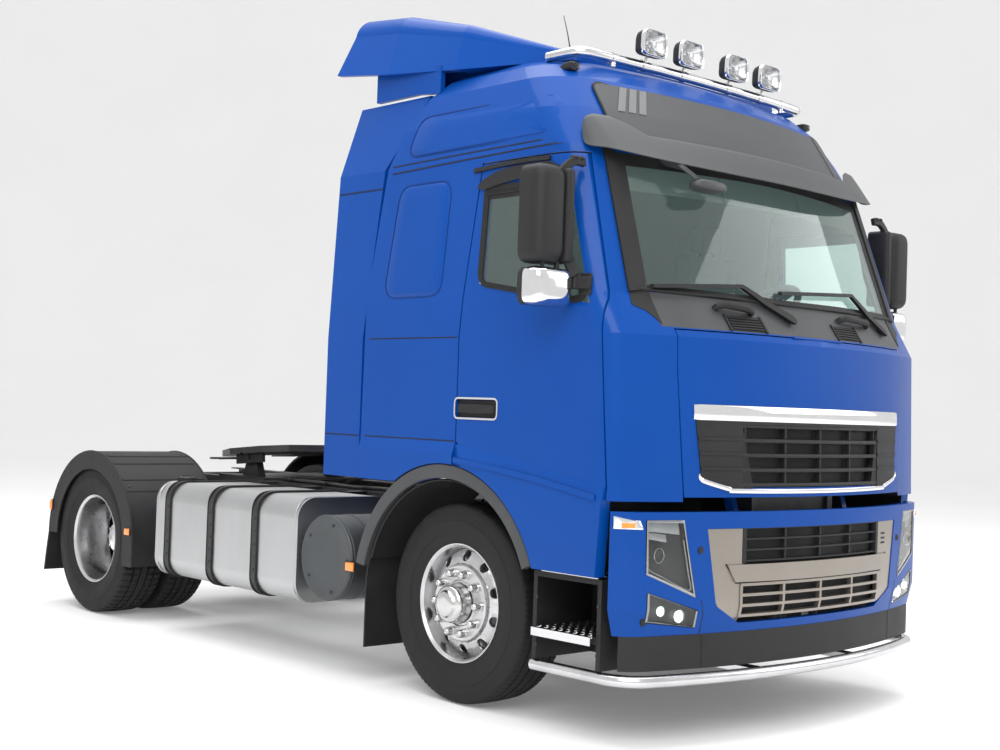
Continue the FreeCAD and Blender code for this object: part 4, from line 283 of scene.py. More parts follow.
class Build:
    """Gathers points and faces, measured from the front axle, into one piece."""

    def __init__(self):
        self.points = []
        self.faces = []

    def add(self, points, faces):
        first = len(self.points)
        self.points += [Vector(p) for p in points]
        self.faces += [tuple(i + first for i in face) for face in faces]
        return self

    def rings(self, rings, closed=True, caps=True):
        """Skins a row of rings that hold the same number of points."""
        count = len(rings[0])
        faces = []
        for i in range(len(rings) - 1):
            for j in range(count if closed else count - 1):
                k = (j + 1) % count
                faces.append((i * count + j, i * count + k, (i + 1) * count + k, (i + 1) * count + j))
        if caps and closed:
            faces.append(tuple(reversed(range(count))))
            faces.append(tuple((len(rings) - 1) * count + j for j in range(count)))
        return self.add([p for ring in rings for p in ring], faces)

    def box(self, low, high):
        (a, b, c), (d, e, f) = low, high
        return self.rings([[(a, b, c), (d, b, c), (d, e, c), (a, e, c)],
                           [(a, b, f), (d, b, f), (d, e, f), (a, e, f)]])

    def prism(self, outline, axis, low, high):
        """An outline in the two other axes, in their order, run along an axis."""
        def place(p, along):
            spot = list(p)
            spot.insert("xyz".index(axis), along)
            return spot
        return self.rings([[place(p, low) for p in outline], [place(p, high) for p in outline]])

    def lathe(self, profile, centre, axis="x", count=64, closed=True):
        """A profile of (along, radius) pairs turned about an axis through the centre."""
        rings = []
        for i in range(count):
            turn = math.tau * i / count
            ring = []
            for along, radius in profile:
                a, b = radius * math.cos(turn), radius * math.sin(turn)
                offset = {"x": (along, a, b), "y": (b, along, a), "z": (a, b, along)}[axis]
                ring.append(tuple(c + o for c, o in zip(centre, offset)))
            rings.append(ring)
        rings.append(rings[0])
        return self.rings(rings, closed=closed, caps=False)

    def sweep(self, path, radius, count=12, caps=True):
        """A round tube along a path. The radius is one number, or one for each point."""
        path = [Vector(p) for p in path]
        radii = radius if isinstance(radius, (list, tuple)) else [radius] * len(path)
        ahead = (path[1] - path[0]).normalized()
        side = ahead.orthogonal().normalized()
        rings = []
        for i, spot in enumerate(path):
            before = path[max(i - 1, 0)]
            after = path[min(i + 1, len(path) - 1)]
            ahead = (after - before).normalized()
            side = (side - ahead * side.dot(ahead)).normalized()
            other = ahead.cross(side)
            rings.append([spot + (side * math.cos(math.tau * j / count)
                                  + other * math.sin(math.tau * j / count)) * radii[i]
                          for j in range(count)])
        return self.rings(rings, caps=caps)

    def bar(self, path, width, thick, face):
        """A flat bar along a path, its width across the way and its face towards a direction."""
        path = [Vector(p) for p in path]
        rings = []
        for i, spot in enumerate(path):
            ahead = (path[min(i + 1, len(path) - 1)] - path[max(i - 1, 0)]).normalized()
            across = ahead.cross(Vector(face)).normalized() * width / 2
            out = across.cross(ahead).normalized() * thick / 2
            rings.append([spot + across + out, spot - across + out, spot - across - out,
                          spot + across - out])
        return self.rings(rings)

    def mirrored(self):
        """Adds the same shape again on the other side."""
        first = len(self.points)
        self.points += [Vector((-p.x, p.y, p.z)) for p in self.points]
        self.faces += [tuple(i + first for i in reversed(face)) for face in list(self.faces)]
        return self

    def flipped(self):
        """The same shape on the other side alone."""
        other = Build()
        other.points = [Vector((-p.x, p.y, p.z)) for p in self.points]
        other.faces = [tuple(reversed(face)) for face in self.faces]
        return other

    def piece(self, name, finish, body, slot, smooth=35.0, replaces=(), edge=0.0):
        """Makes one piece of all the shapes, with its edges rounded where a width is given."""
        points = [(p.x, p.y + SHIFT, p.z) for p in self.points]
        made = add_mesh(name, points, self.faces, finish, body, slot, smooth, replaces)
        if edge:
            bevel(made, edge)
        return made


def curve_points(places, steps=6):
    """A smooth way through the places."""
    places = [Vector(p) for p in places]
    rows = [places[0]]
    for i in range(len(places) - 1):
        p0, p1 = places[max(i - 1, 0)], places[i]
        p2, p3 = places[i + 1], places[min(i + 2, len(places) - 1)]
        for j in range(1, steps + 1):
            t = j / steps
            rows.append((p1 * 2 + (p2 - p0) * t + (p0 * 2 - p1 * 5 + p2 * 4 - p3) * t * t
                         + (p1 * 3 - p0 - p2 * 3 + p3) * t ** 3) / 2)
    return rows


def rounded_outline(places, radii, steps=5):
    """A polygon with its corners rounded."""
    if isinstance(radii, (int, float)):
        radii = [radii] * len(places)
    count = len(places)
    rows = []
    for i, radius in enumerate(radii):
        here = Vector(places[i])
        before = (Vector(places[i - 1]) - here)
        after = (Vector(places[(i + 1) % count]) - here)
        if radius <= 0:
            rows.append(tuple(here))
            continue
        half = before.angle(after) / 2
        reach = min(radius / math.tan(half), before.length * 0.49, after.length * 0.49)
        start, stop = here + before.normalized() * reach, here + after.normalized() * reach
        for j in range(steps + 1):
            t = j / steps
            rows.append(tuple(start * (1 - t) ** 2 + here * 2 * t * (1 - t) + stop * t * t))
    return rows


def box_outline(across, up, radii, steps=5, grow=0.0):
    """A rectangle between two pairs of limits, grown on all sides, with its corners rounded."""
    (a, b), (c, d) = (across[0] - grow, across[1] + grow), (up[0] - grow, up[1] + grow)
    return rounded_outline([(a, c), (b, c), (b, d), (a, d)], radii, steps)


def ring_of(centre, radius, count, start=0.0):
    """Places evenly round a circle."""
    return [(centre[0] + radius * math.cos(start + math.tau * i / count),
             centre[1] + radius * math.sin(start + math.tau * i / count)) for i in range(count)]


def between(a, b, share):
    """The place at a share of the way from one place to another."""
    return tuple(p + (q - p) * share for p, q in zip(a, b))




# The cab's and the bumper's outer faces, as rows of height, half width, front, bow and corner

CAB_ROWS = ((1.100, 1.245, -1.372, 3.3, 0.110), (1.850, 1.245, -1.352, 3.3, 0.110),
            (2.040, 1.245, -1.215, 3.8, 0.125), (2.750, 1.200, -0.960, 3.8, 0.170),
            (2.950, 1.165, -0.832, 3.8, 0.215), (3.120, 1.105, -0.715, 3.8, 0.260),
            (3.208, 1.022, -0.612, 3.8, 0.290), (3.260, 0.930, -0.480, 3.8, 0.320))
BUMPER_ROWS = ((0.500, 1.213, -1.360, 3.7, 0.190), (0.620, 1.238, -1.385, 3.7, 0.190),
               (1.055, 1.238, -1.385, 3.7, 0.190))
VALANCE_ROWS = ((0.344, 1.205, -1.362, 3.7, 0.190), (0.500, 1.205, -1.362, 3.7, 0.190))


def corner_place(half, front, bow, corner):
    """How far out and how far back the centre of a rounded corner lies."""
    side = half - corner
    return side, front + bow - math.sqrt((bow - corner) ** 2 - side ** 2)


def plan_front(x, half, front, bow, corner):
    """How far back the front lies at a place across it, seen from above."""
    side, corner_y = corner_place(half, front, bow, corner)
    if abs(x) <= side * bow / (bow - corner):
        return front + bow - math.sqrt(bow * bow - x * x)
    return corner_y - math.sqrt(max(corner ** 2 - (abs(x) - side) ** 2, 0.0))


def plan_side(y, half, front, bow, corner):
    """How far out the side lies at a place along it, seen from above."""
    side, corner_y = corner_place(half, front, bow, corner)
    if y >= corner_y:
        return half
    return side + math.sqrt(max(corner ** 2 - (y - corner_y) ** 2, 0.0))


def blended(rows, z, measure):
    """A measure at a height, between those of the rows below and above."""
    z = min(max(z, rows[0][0]), rows[-1][0])
    for low, high in zip(rows, rows[1:]):
        if z <= high[0]:
            share = (z - low[0]) / (high[0] - low[0])
            return measure(low[1:]) * (1 - share) + measure(high[1:]) * share
    return measure(rows[-1][1:])


# How far apart the places lie from which a face's slope is taken
NEAR = 0.002


def front_of(rows):
    """Gives the place on a front face at (x, z), lifted square to it."""
    def flat(x, z):
        return Vector((x, blended(rows, z, lambda row: plan_front(x, *row)), z))

    def place(x, z, lift=0.0):
        here = flat(x, z)
        across = flat(x + NEAR, z) - flat(x - NEAR, z)
        up = flat(x, z + NEAR) - flat(x, z - NEAR)
        return here + across.cross(up).normalized() * lift
    return place


def side_of(rows, way, extra=0.0):
    """Gives the place on a side face at (y, z), lifted square to it."""
    def flat(y, z):
        return Vector((way * (blended(rows, z, lambda row: plan_side(y, *row)) + extra), y, z))

    def place(y, z, lift=0.0):
        here = flat(y, z)
        along = flat(y + NEAR, z) - flat(y - NEAR, z)
        up = flat(y, z + NEAR) - flat(y, z - NEAR)
        out = along.cross(up).normalized()
        if out.x * way < 0:
            out = -out
        return here + out * lift
    return place


CAB_FRONT = front_of(CAB_ROWS)
PLATE = front_of(BUMPER_ROWS)
VALANCE_FRONT = front_of(VALANCE_ROWS)
CAB_RIGHT, CAB_LEFT = side_of(CAB_ROWS, -1), side_of(CAB_ROWS, 1)


def patch(build, place, low_edge, high_edge, out, thick, across=12, up=4):
    """A plate that follows a face, between a lower and an upper edge given as rows of places."""
    def along(edge, share):
        spot = share * (len(edge) - 1)
        i = min(int(spot), len(edge) - 2)
        return between(edge[i], edge[i + 1], spot - i)

    rings = []
    for i in range(across + 1):
        low, high = along(low_edge, i / across), along(high_edge, i / across)
        column = [between(low, high, j / up) for j in range(up + 1)]
        rings.append([place(*p, out) for p in column]
                     + [place(*p, out - thick) for p in reversed(column)])
    return build.rings(rings)


def block(build, place, across, up, out, thick, columns, rows):
    """A plate that follows a face, between two limits across it and two up it."""
    (a, b), (c, d) = across, up
    return patch(build, place, [(a, c), (b, c)], [(a, d), (b, d)], out, thick, columns, rows)


def panel(build, place, places, radii, out, edge, sunk=0.0015, steps=5):
    """A soft-edged panel with round corners, raised by out over a face."""
    border = rounded_outline(places, radii, steps)
    centre = [sum(p[i] for p in border) / len(border) for i in (0, 1)]
    rings = [[place(*p, -sunk) for p in border]]
    for inset, lift in ((0.0, 0.0), (edge * 0.35, out * 0.55), (edge, out)):
        ring = []
        for p in border:
            reach = math.hypot(p[0] - centre[0], p[1] - centre[1])
            share = 1 - inset / reach
            ring.append(place(centre[0] + (p[0] - centre[0]) * share,
                              centre[1] + (p[1] - centre[1]) * share, lift))
        rings.append(ring)
    for share in (0.66, 0.33, 0.02):
        rings.append([place(centre[0] + (p[0] - centre[0]) * share,
                            centre[1] + (p[1] - centre[1]) * share, out) for p in border])
    return build.rings(rings)


def trace(build, place, path, width, out=0.0008, thick=0.003, steps=1):
    """A narrow band that follows a face along a path of places on it."""
    spots = []
    for a, b in zip(path, path[1:]):
        spots += [between(a, b, j / steps) for j in range(steps)]
    spots.append(path[-1])
    rings = []
    for i, spot in enumerate(spots):
        before, after = spots[max(i - 1, 0)], spots[min(i + 1, len(spots) - 1)]
        run = Vector((after[0] - before[0], after[1] - before[1])).normalized() * width / 2
        a, b = (spot[0] - run.y, spot[1] + run.x), (spot[0] + run.y, spot[1] - run.x)
        rings.append([place(*a, out), place(*b, out), place(*b, out - thick), place(*a, out - thick)])
    return build.rings(rings)


def loop(path):
    """A path that returns to its start."""
    return list(path) + [path[0]]

# Tyres: a carcass with bead, sidewall rings and shoulder, and a grooved tread cut into blocks

TYRE_SIDE = [(0.112, 0.2890), (0.121, 0.2915), (0.129, 0.3010), (0.1315, 0.3080), (0.1375, 0.3200),
             (0.1445, 0.3420), (0.1495, 0.3580), (0.1515, 0.3585), (0.1545, 0.3760), (0.1560, 0.3950),
             (0.1555, 0.4160), (0.1535, 0.4170), (0.1515, 0.4350), (0.1485, 0.4520), (0.1500, 0.4545),
             (0.1470, 0.4700), (0.1430, 0.4850), (0.1370, 0.4955), (0.1270, 0.5010)]
GROOVE_HALF = 0.0055
GROOVE_DEPTH = 0.014


def tread_profile(grooves):
    """Points across the tread from its outer edge to its inner one, with round grooves."""
    rows = [(0.1180, 0.5030)]
    for middle in grooves:
        crown = 0.507 - 0.28 * middle * middle
        for off, drop in ((GROOVE_HALF, 0.0), (GROOVE_HALF * 0.75, GROOVE_DEPTH),
                          (-GROOVE_HALF * 0.75, GROOVE_DEPTH), (-GROOVE_HALF, 0.0)):
            rows.append((middle + off, crown - drop))
    return rows + [(-0.1180, 0.5030)]


def tyre(build, x, y, grooves, sectors, cross, way):
    """cross gives how deep each step round the wheel is cut across the tread, in turn."""
    rows = TYRE_SIDE + tread_profile(grooves) + [(-across, r) for across, r in reversed(TYRE_SIDE)]
    first, last = len(TYRE_SIDE) - 2, len(rows) - len(TYRE_SIDE) + 1
    rings = []
    for i in range(sectors):
        turn = math.tau * i / sectors
        drop = cross[i % len(cross)]
        ring = []
        for j, (across, radius) in enumerate(rows):
            shoulder = first <= j <= last and abs(across) > 0.098
            block = first <= j <= last and not shoulder and abs(across) > 0.030
            cut = drop if shoulder else (drop * 0.6 if block else 0.0)
            r = radius - cut
            ring.append((x + across * way, y + r * math.sin(turn), AXLE_Z + r * math.cos(turn)))
        rings.append(ring)
    rings.append(rings[0])
    build.rings(rings, caps=False)


FRONT_GROOVES = (0.084, 0.030, -0.030, -0.084)
REAR_GROOVES = (0.078, 0.026, -0.026, -0.078)
RIB_STEP = (0.0, 0.0, 0.0045)
BLOCK_STEP = (0.0, 0.0, 0.0, 0.013)

for side, way in (("right", -1), ("left", 1)):
    single, pair = Build(), Build()
    tyre(single, FRONT_X * way, 0.0, FRONT_GROOVES, 300, RIB_STEP, way)
    single.piece("tyre_detail_front_" + side, RUBBER, "wheel_front_" + side, "tyre_rubber", 30.0,
                 ("tyre_front_" + side,))
    for offset in (TWIN_X, -TWIN_X):
        tyre(pair, (REAR_X + offset) * way, REAR_Y, REAR_GROOVES, 256, BLOCK_STEP, way)
    pair.piece("tyre_detail_rear_" + side, RUBBER, "wheels_rear_" + side, "tyre_rubber", 30.0,
               ("tyres_rear_" + side,))

# Front wheels: a polished disc with ten hand holes, ten domed nut caps and a stepped hub cover


def rim_profile(way, x):
    """The barrel and both flanges, drawn as a closed wall."""
    outer = [(0.133, 0.2940), (0.1335, 0.2990), (0.1290, 0.3005), (0.1235, 0.2960), (0.1180, 0.2885),
             (0.1000, 0.2835), (0.060, 0.2800), (-0.060, 0.2800), (-0.1000, 0.2835),
             (-0.1180, 0.2885), (-0.1235, 0.2960), (-0.1290, 0.3005), (-0.1335, 0.2990),
             (-0.133, 0.2940), (-0.1225, 0.2825), (-0.098, 0.2765), (0.098, 0.2765),
             (0.1225, 0.2825)]
    return [(x + a * way, r) for a, r in outer]


def drilled_disc(build, centre, way, profile, ring, hole, inner, outer, thick):
    """A turned disc whose band between two radii is pierced by ten round holes with rolled lips."""
    cx, cy, cz = centre
    half = math.pi / HOLES
    for k in range(HOLES):
        mid = math.tau * (k + 0.5) / HOLES
        corners = [(mid - half, outer), (mid + half, outer), (mid + half, inner), (mid - half, inner)]
        turns = [between(a, b, s / 12) for a, b in zip(corners, corners[1:] + corners[:1])
                 for s in range(12)]
        border = [(r * math.cos(a), r * math.sin(a)) for a, r in turns]
        hx, hy = ring * math.cos(mid), ring * math.sin(mid)
        aims = [Vector((px - hx, py - hy)).normalized() for px, py in border]
        edge = [(hx + aim.x * hole, hy + aim.y * hole) for aim in aims]
        rings = []
        for share, lift in ((0.0, 0.0), (0.45, 0.0), (0.86, 0.0), (0.97, 0.0025), (1.0, 0.0),
                            (1.0, -thick)):
            row = [between(a, b, share) for a, b in zip(border, edge)]
            rings.append([(cx + way * (profile(math.hypot(p, q)) + lift), cy + p, cz + q)
                          for p, q in row])
        build.rings(rings, caps=False)


def disc_face(stations):
    """Gives how far out a wheel's disc lies at a radius, from (radius, out) stations."""
    def face(r):
        for (r0, x0), (r1, x1) in zip(stations, stations[1:]):
            if r <= r1:
                return x0 + (x1 - x0) * (r - r0) / (r1 - r0)
        return stations[-1][1]
    return face


front_face = disc_face(((0.0, 0.102), (0.190, 0.102), (0.205, 0.100), (0.232, 0.088), (0.262, 0.066),
                        (0.2775, 0.045), (0.4, 0.045)))
rear_face = disc_face(((0.0, 0.036), (0.150, 0.036), (0.205, 0.028), (0.232, 0.018), (0.258, -0.008),
                       (0.2775, -0.050), (0.4, -0.050)))

# Where a wheel's holes and studs stand, and a nut's domed cap in shares of its length and radius
HOLES, STUD_RADIUS = 10, 0.1535
NUT_LENGTH, NUT_RADIUS = 0.052, 0.0215
NUT_CAP = ((0.0, 1.12), (0.12, 1.12), (0.16, 1.0), (0.62, 0.94), (0.84, 0.76), (0.96, 0.42),
           (1.0, 0.0005 / NUT_RADIUS))


def studs(y):
    """The turn and the place, as (y, z), of each wheel stud round an axle."""
    for i in range(HOLES):
        turn = math.tau * (i + 0.5) / HOLES
        yield turn, (y + STUD_RADIUS * math.sin(turn), AXLE_Z + STUD_RADIUS * math.cos(turn))


for side, way in (("right", -1), ("left", 1)):
    body, slot = "wheel_front_" + side, "wheel_alloy"
    x = FRONT_X * way
    wheel = Build()
    wheel.lathe(rim_profile(way, x), (0, 0, AXLE_Z), "x", 96)
    drilled_disc(wheel, (x, 0.0, AXLE_Z), way, front_face, 0.236, 0.0265, 0.1995, 0.2765, 0.016)
    wheel.lathe([(x + way * front_face(0.1995), 0.1995), (x + way * 0.112, 0.1965),
                 (x + way * 0.121, 0.1930), (x + way * 0.126, 0.1860), (x + way * 0.1265, 0.122),
                 (x + way * 0.1270, 0.117)],
                (0, 0, AXLE_Z), "x", 96, closed=False)
    wheel.lathe([(x - way * 0.02, 0.2765), (x + way * 0.03, 0.2765), (x + way * 0.03, 0.08),
                 (x - way * 0.02, 0.08)], (0, 0, AXLE_Z), "x", 48)
    wheel.piece("wheel_detail_front_" + side, WHEEL, body, slot, 30.0, ("rim_front_" + side,))
    hub = Build()
    hub.lathe([(x + way * a, r) for a, r in (
        (0.104, 0.1175), (0.118, 0.1165), (0.122, 0.1130), (0.124, 0.1040), (0.150, 0.1010),
        (0.190, 0.0955), (0.203, 0.0900), (0.209, 0.0820), (0.212, 0.0700), (0.219, 0.0640),
        (0.227, 0.0600), (0.2305, 0.0520), (0.2315, 0.0300), (0.2318, 0.0005))],
        (0, 0, AXLE_Z), "x", 72, closed=False)
    for turn, (y, z) in studs(0.0):
        hub.lathe([(a * NUT_LENGTH * way, r * NUT_RADIUS) for a, r in NUT_CAP],
                  (x + way * 0.1265, y, z), "x", 20, closed=False)
    hub.piece("hub_detail_front_" + side, HUB, body, slot, 32.0)

# Rear wheels: deep dish, ten holes, ten bare studs and nuts, and a flanged hub end

for side, way in (("right", -1), ("left", 1)):
    body, slot = "wheels_rear_" + side, "wheel_alloy"
    x = REAR_X * way
    wheel = Build()
    for offset in (TWIN_X, -TWIN_X):
        wheel.lathe(rim_profile(way, x + offset * way), (0, REAR_Y, AXLE_Z), "x", 80)
    drilled_disc(wheel, (x, REAR_Y, AXLE_Z), way, rear_face, 0.232, 0.0275, 0.196, 0.2765, 0.030)
    wheel.lathe([(x + way * rear_face(0.196), 0.196), (x + way * 0.034, 0.165),
                 (x + way * 0.034, 0.108), (x + way * 0.036, 0.104)],
                (0, REAR_Y, AXLE_Z), "x", 72, closed=False)
    wheel.lathe([(x - way * 0.040, 0.2765), (x - way * 0.012, 0.2765), (x - way * 0.012, 0.06),
                 (x - way * 0.040, 0.06)], (0, REAR_Y, AXLE_Z), "x", 48)
    wheel.lathe([(x - way * 0.330, 0.060), (x - way * 0.330, 0.200), (x - way * 0.100, 0.200),
                 (x - way * 0.100, 0.060)], (0, REAR_Y, AXLE_Z), "x", 48)
    wheel.piece("wheel_detail_rear_" + side, WHEEL, body, slot, 30.0, ("rim_rear_" + side,))
    hub = Build()
    hub.lathe([(x + way * a, r) for a, r in (
        (0.035, 0.1060), (0.050, 0.1050), (0.054, 0.1015), (0.130, 0.0985), (0.146, 0.0960),
        (0.150, 0.0900), (0.151, 0.0640), (0.163, 0.0600), (0.166, 0.0500), (0.166, 0.0005))],
        (0, REAR_Y, AXLE_Z), "x", 60, closed=False)
    for i in range(8):
        turn = math.tau * i / 8
        spot = (REAR_Y + 0.0785 * math.sin(turn), AXLE_Z + 0.0785 * math.cos(turn))
        hub.prism(ring_of(spot, 0.0085, 6), "x", *sorted((x + way * 0.150, x + way * 0.158)))
    for turn, spot in studs(REAR_Y):
        hub.prism(ring_of(spot, 0.0185, 6, turn), "x", *sorted((x + way * 0.034, x + way * 0.060)))
        hub.prism(ring_of(spot, 0.0105, 14), "x", *sorted((x + way * 0.034, x + way * 0.078)))
    hub.piece("hub_detail_rear_" + side, TUBE, body, slot, 32.0)


# The front lid: the chrome strip, the slatted grille with its dark side pads, and the chrome foot

GRILLE_HALF, GRILLE_LOW, GRILLE_TOP = 0.562, 1.165, 1.472
SLAT_STEP = 0.0688
# A slat's section as (up, out) steps
SLAT = ((0.0, -0.030), (0.004, 0.001), (0.012, 0.0045), (0.020, 0.002), (0.022, -0.004), (0.020, -0.034))

bars = Build()
for i in range(5):
    z = GRILLE_LOW + SLAT_STEP * i
    rings = []
    for j in range(25):
        x = GRILLE_HALF * (j / 12 - 1)
        rings.append([CAB_FRONT(x, z + rise, lift) for rise, lift in SLAT])
    bars.rings(rings)
for x in (-0.54, -0.27, 0.0, 0.27, 0.54):
    block(bars, CAB_FRONT, (x - 0.006, x + 0.006), (1.168, 1.460), -0.004, 0.026, 1, 8)
bars.piece("grille_slats", PLASTIC, "front_flap", "bright_metal", 32.0, ("upper_grille",))

pads = Build()
for way in (-1, 1):
    low = [(way * GRILLE_HALF, 1.158), (way * 0.600, 1.160), (way * 0.800, 1.212)]
    high = [(way * GRILLE_HALF, GRILLE_TOP), (way * 0.690, GRILLE_TOP), (way * 0.832, GRILLE_TOP)]
    patch(pads, CAB_FRONT, low, high, 0.0055, 0.007, 14, 10)
    for i in range(1, 4):
        z = GRILLE_LOW + 0.011 + SLAT_STEP * i
        far = way * (0.800 + (z - 1.212) * 0.115)
        block(pads, CAB_FRONT, (way * GRILLE_HALF, far), (z, z + 0.014), 0.0095, 0.006, 10, 2)
block(pads, CAB_FRONT, (-0.565, 0.565), (1.4585, GRILLE_TOP), 0.0055, 0.02, 24, 2)
pads.piece("grille_pads", PLASTIC, "front_flap", "bright_metal", 30.0)

# Dark strips along the sides of the grille's opening: painted shade
return_shades = Build()
for way in (-1, 1):
    patch(return_shades, CAB_FRONT, [(way * 0.492, 1.163), (way * 0.566, 1.163)],
          [(way * 0.566, 1.470), (way * 0.590, 1.470)], 0.0012, 0.004, 3, 12)
return_shades.piece("grille_return_shade", SEAM_AND_SHADE, "front_flap", "bright_metal", 30.0)

STRIP_HALF = 0.844
# The section of the chrome foot, as (across, out) steps
FOOT = ((-0.012, 0.0), (-0.010, 0.0085), (0.0, 0.0125), (0.010, 0.0095), (0.012, 0.001))

strip = Build()
rings = []
for j in range(49):
    x = STRIP_HALF * (j / 24 - 1)
    end = 0.0022 if j in (0, 48) else 0.0
    rings.append([CAB_FRONT(x, 1.473 + end, -0.002), CAB_FRONT(x, 1.4735 + end, 0.006 - end),
                  CAB_FRONT(x, 1.478 + end, 0.0092 - end), CAB_FRONT(x, 1.509, 0.0100 - end),
                  CAB_FRONT(x, 1.540 - end, 0.0085 - end), CAB_FRONT(x, 1.5445 - end, 0.0055 - end),
                  CAB_FRONT(x, 1.545 - end, -0.002)])
strip.rings(rings)
half_foot = [(0.812, 1.228), (0.806, 1.206), (0.770, 1.190), (0.640, 1.158), (0.585, 1.150)]
foot = [(-x, z) for x, z in half_foot] + [(0.0, 1.146)] + half_foot[::-1]
rows = []
dense = curve_points([(x, z, 0) for x, z in foot], 5)
for i, spot in enumerate(dense):
    before, after = dense[max(i - 1, 0)], dense[min(i + 1, len(dense) - 1)]
    run = (after - before).normalized()
    side = Vector((-run.y, run.x, 0))
    taper = min(1.0, 0.35 + min(i, len(dense) - 1 - i) * 0.08)
    places = [(spot + side * off * taper, lift) for off, lift in FOOT]
    rows.append([CAB_FRONT(p.x, p.y, lift) for p, lift in places])
strip.rings(rows)
strip.piece("grille_chrome", CHROME, "front_flap", "bright_metal", 40.0)

# Cowl: louvred vents with a dark plate behind them as painted shade, two grab handles, the lip under the
# windscreen and the wiper covers

cowl = Build()
slot_shades = Build()
for way, low, high in ((-1, 0.385, 0.590), (1, 0.215, 0.420)):
    for i in range(5):
        z = 1.903 + 0.0125 * i
        block(cowl, CAB_FRONT, (way * low, way * high), (z, z + 0.006), 0.0065, 0.007, 8, 1)
    # A dark plate behind the louvres: painted shade in the vent's slots
    block(slot_shades, CAB_FRONT, (way * (low - 0.008), way * (high + 0.008)), (1.897, 1.967), 0.0015, 0.003,
          8, 3)
    for x in (low - 0.012, high + 0.012):
        block(cowl, CAB_FRONT, (way * x - 0.006, way * x + 0.006), (1.893, 1.971), 0.0075, 0.009, 1, 4)
for (a, za), (b, zb) in (((-0.640, 1.998), (-0.420, 1.984)), ((0.300, 1.996), (0.600, 1.988))):
    path = [CAB_FRONT(a, za, -0.01), CAB_FRONT(a + 0.006, za, 0.016), CAB_FRONT(a + 0.035, za, 0.030)]
    for j in range(1, 8):
        share = j / 8
        path.append(CAB_FRONT(a + 0.035 + (b - a - 0.07) * share, za + (zb - za) * share, 0.033))
    path += [CAB_FRONT(b - 0.035, zb, 0.030), CAB_FRONT(b - 0.006, zb, 0.016), CAB_FRONT(b, zb, -0.01)]
    cowl.sweep(path, 0.0165, 14)
LIP_HALF = 1.035
cowl.sweep([CAB_FRONT(LIP_HALF * share, 2.052 + 0.010 * share ** 2, 0.004)
            for share in [j / 20 - 1 for j in range(41)]], 0.0085, 10)
for x in (-0.155, 0.790):
    cowl.lathe([(0.0, 0.034), (0.008, 0.034), (0.014, 0.028), (0.024, 0.024), (0.030, 0.018),
                (0.032, 0.0005)], CAB_FRONT(x, 1.955, -0.004), "y", 20, closed=False)
cowl.piece("cowl_details", PLASTIC, "cab", "grey_plastic", 34.0)
slot_shades.piece("cowl_slot_shade", SEAM_AND_SHADE, "cab", "grey_plastic", 34.0)

# The windscreen's frame: a dark band round the glass, and the dark pillar corners

band = Build()
for way in (-1, 1):
    patch(band, CAB_FRONT, [(way * 1.044, 2.045), (way * 1.000, 2.060), (way * 0.985, 2.100)],
          [(way * 0.990, 2.716), (way * 0.955, 2.716), (way * 0.940, 2.700)], 0.0022, 0.004, 6, 24)
    patch(band, CAB_FRONT, [(way * 1.093, 2.045), (way * 1.038, 2.052)],
          [(way * 1.045, 2.735), (way * 0.985, 2.722)], 0.0130, 0.017, 8, 24)
    patch(band, CAB_FRONT, [(way * 1.100, 1.985), (way * 1.040, 1.960), (way * 0.985, 1.905)],
          [(way * 1.085, 2.060), (way * 1.044, 2.062), (way * 0.985, 2.062)], 0.0030, 0.005, 8, 6)
patch(band, CAB_FRONT, [(-0.960, 2.660), (0.0, 2.675), (0.960, 2.660)],
      [(-0.985, 2.722), (0.0, 2.726), (0.985, 2.722)], 0.0018, 0.004, 30, 4)
patch(band, CAB_FRONT, [(-1.000, 2.058), (0.0, 2.050), (1.000, 2.058)],
      [(-0.985, 2.085), (0.0, 2.074), (0.985, 2.085)], 0.0018, 0.004, 30, 2)
band.piece("windscreen_band", PLASTIC, "cab", "black_plastic", 30.0)

# A dark sheet behind the grille: painted shade in its opening
grille_shade = Build()
block(grille_shade, CAB_FRONT, (-0.575, 0.575), (1.150, 1.480), -0.0360, 0.003, 24, 6)
grille_shade.piece("grille_painted_shade", SEAM_AND_SHADE, "front_flap", "body_paint", 30.0)


# The bumper: pale plate, plate bar, meshes, lamps, side indicators, valance joints and caps

PLATE_HALF, POST_HALF = 0.572, 0.567
MESH_HALF, MESH_LOW, MESH_STEP = 0.556, 0.826, 0.0505

field = Build()
for way in (-1, 1):
    low = [(way * 0.560, 0.566), (way * 0.640, 0.572), (way * 0.700, 0.612), (way * 0.718, 0.640)]
    high = [(way * 0.560, 0.977), (way * 0.640, 0.977), (way * 0.720, 0.977), (way * 0.776, 0.977)]
    patch(field, PLATE, low, high, -0.004, 0.010, 10, 14)
patch(field, PLATE, [(-0.610, 0.731), (-0.300, 0.729), (0.300, 0.729), (0.610, 0.731)],
      [(-0.659, 0.811), (-0.300, 0.811), (0.300, 0.811), (0.659, 0.811)], 0.006, 0.016, 36, 5)
for i in range(5):
    x = POST_HALF * (i / 2 - 1)
    block(field, PLATE, (x - 0.008, x + 0.008), (0.567, 0.722), 0.001, 0.022, 1, 8)
for i in range(4):
    z = 0.573 + 0.0480 * i
    block(field, PLATE, (-PLATE_HALF, PLATE_HALF), (z - 0.0065, z + 0.0065), 0.0018, 0.020, 32, 1)
field.piece("bumper_plate", CHAMPAGNE, "chassis", "satin_plate", 30.0, ("bumper_grille",))

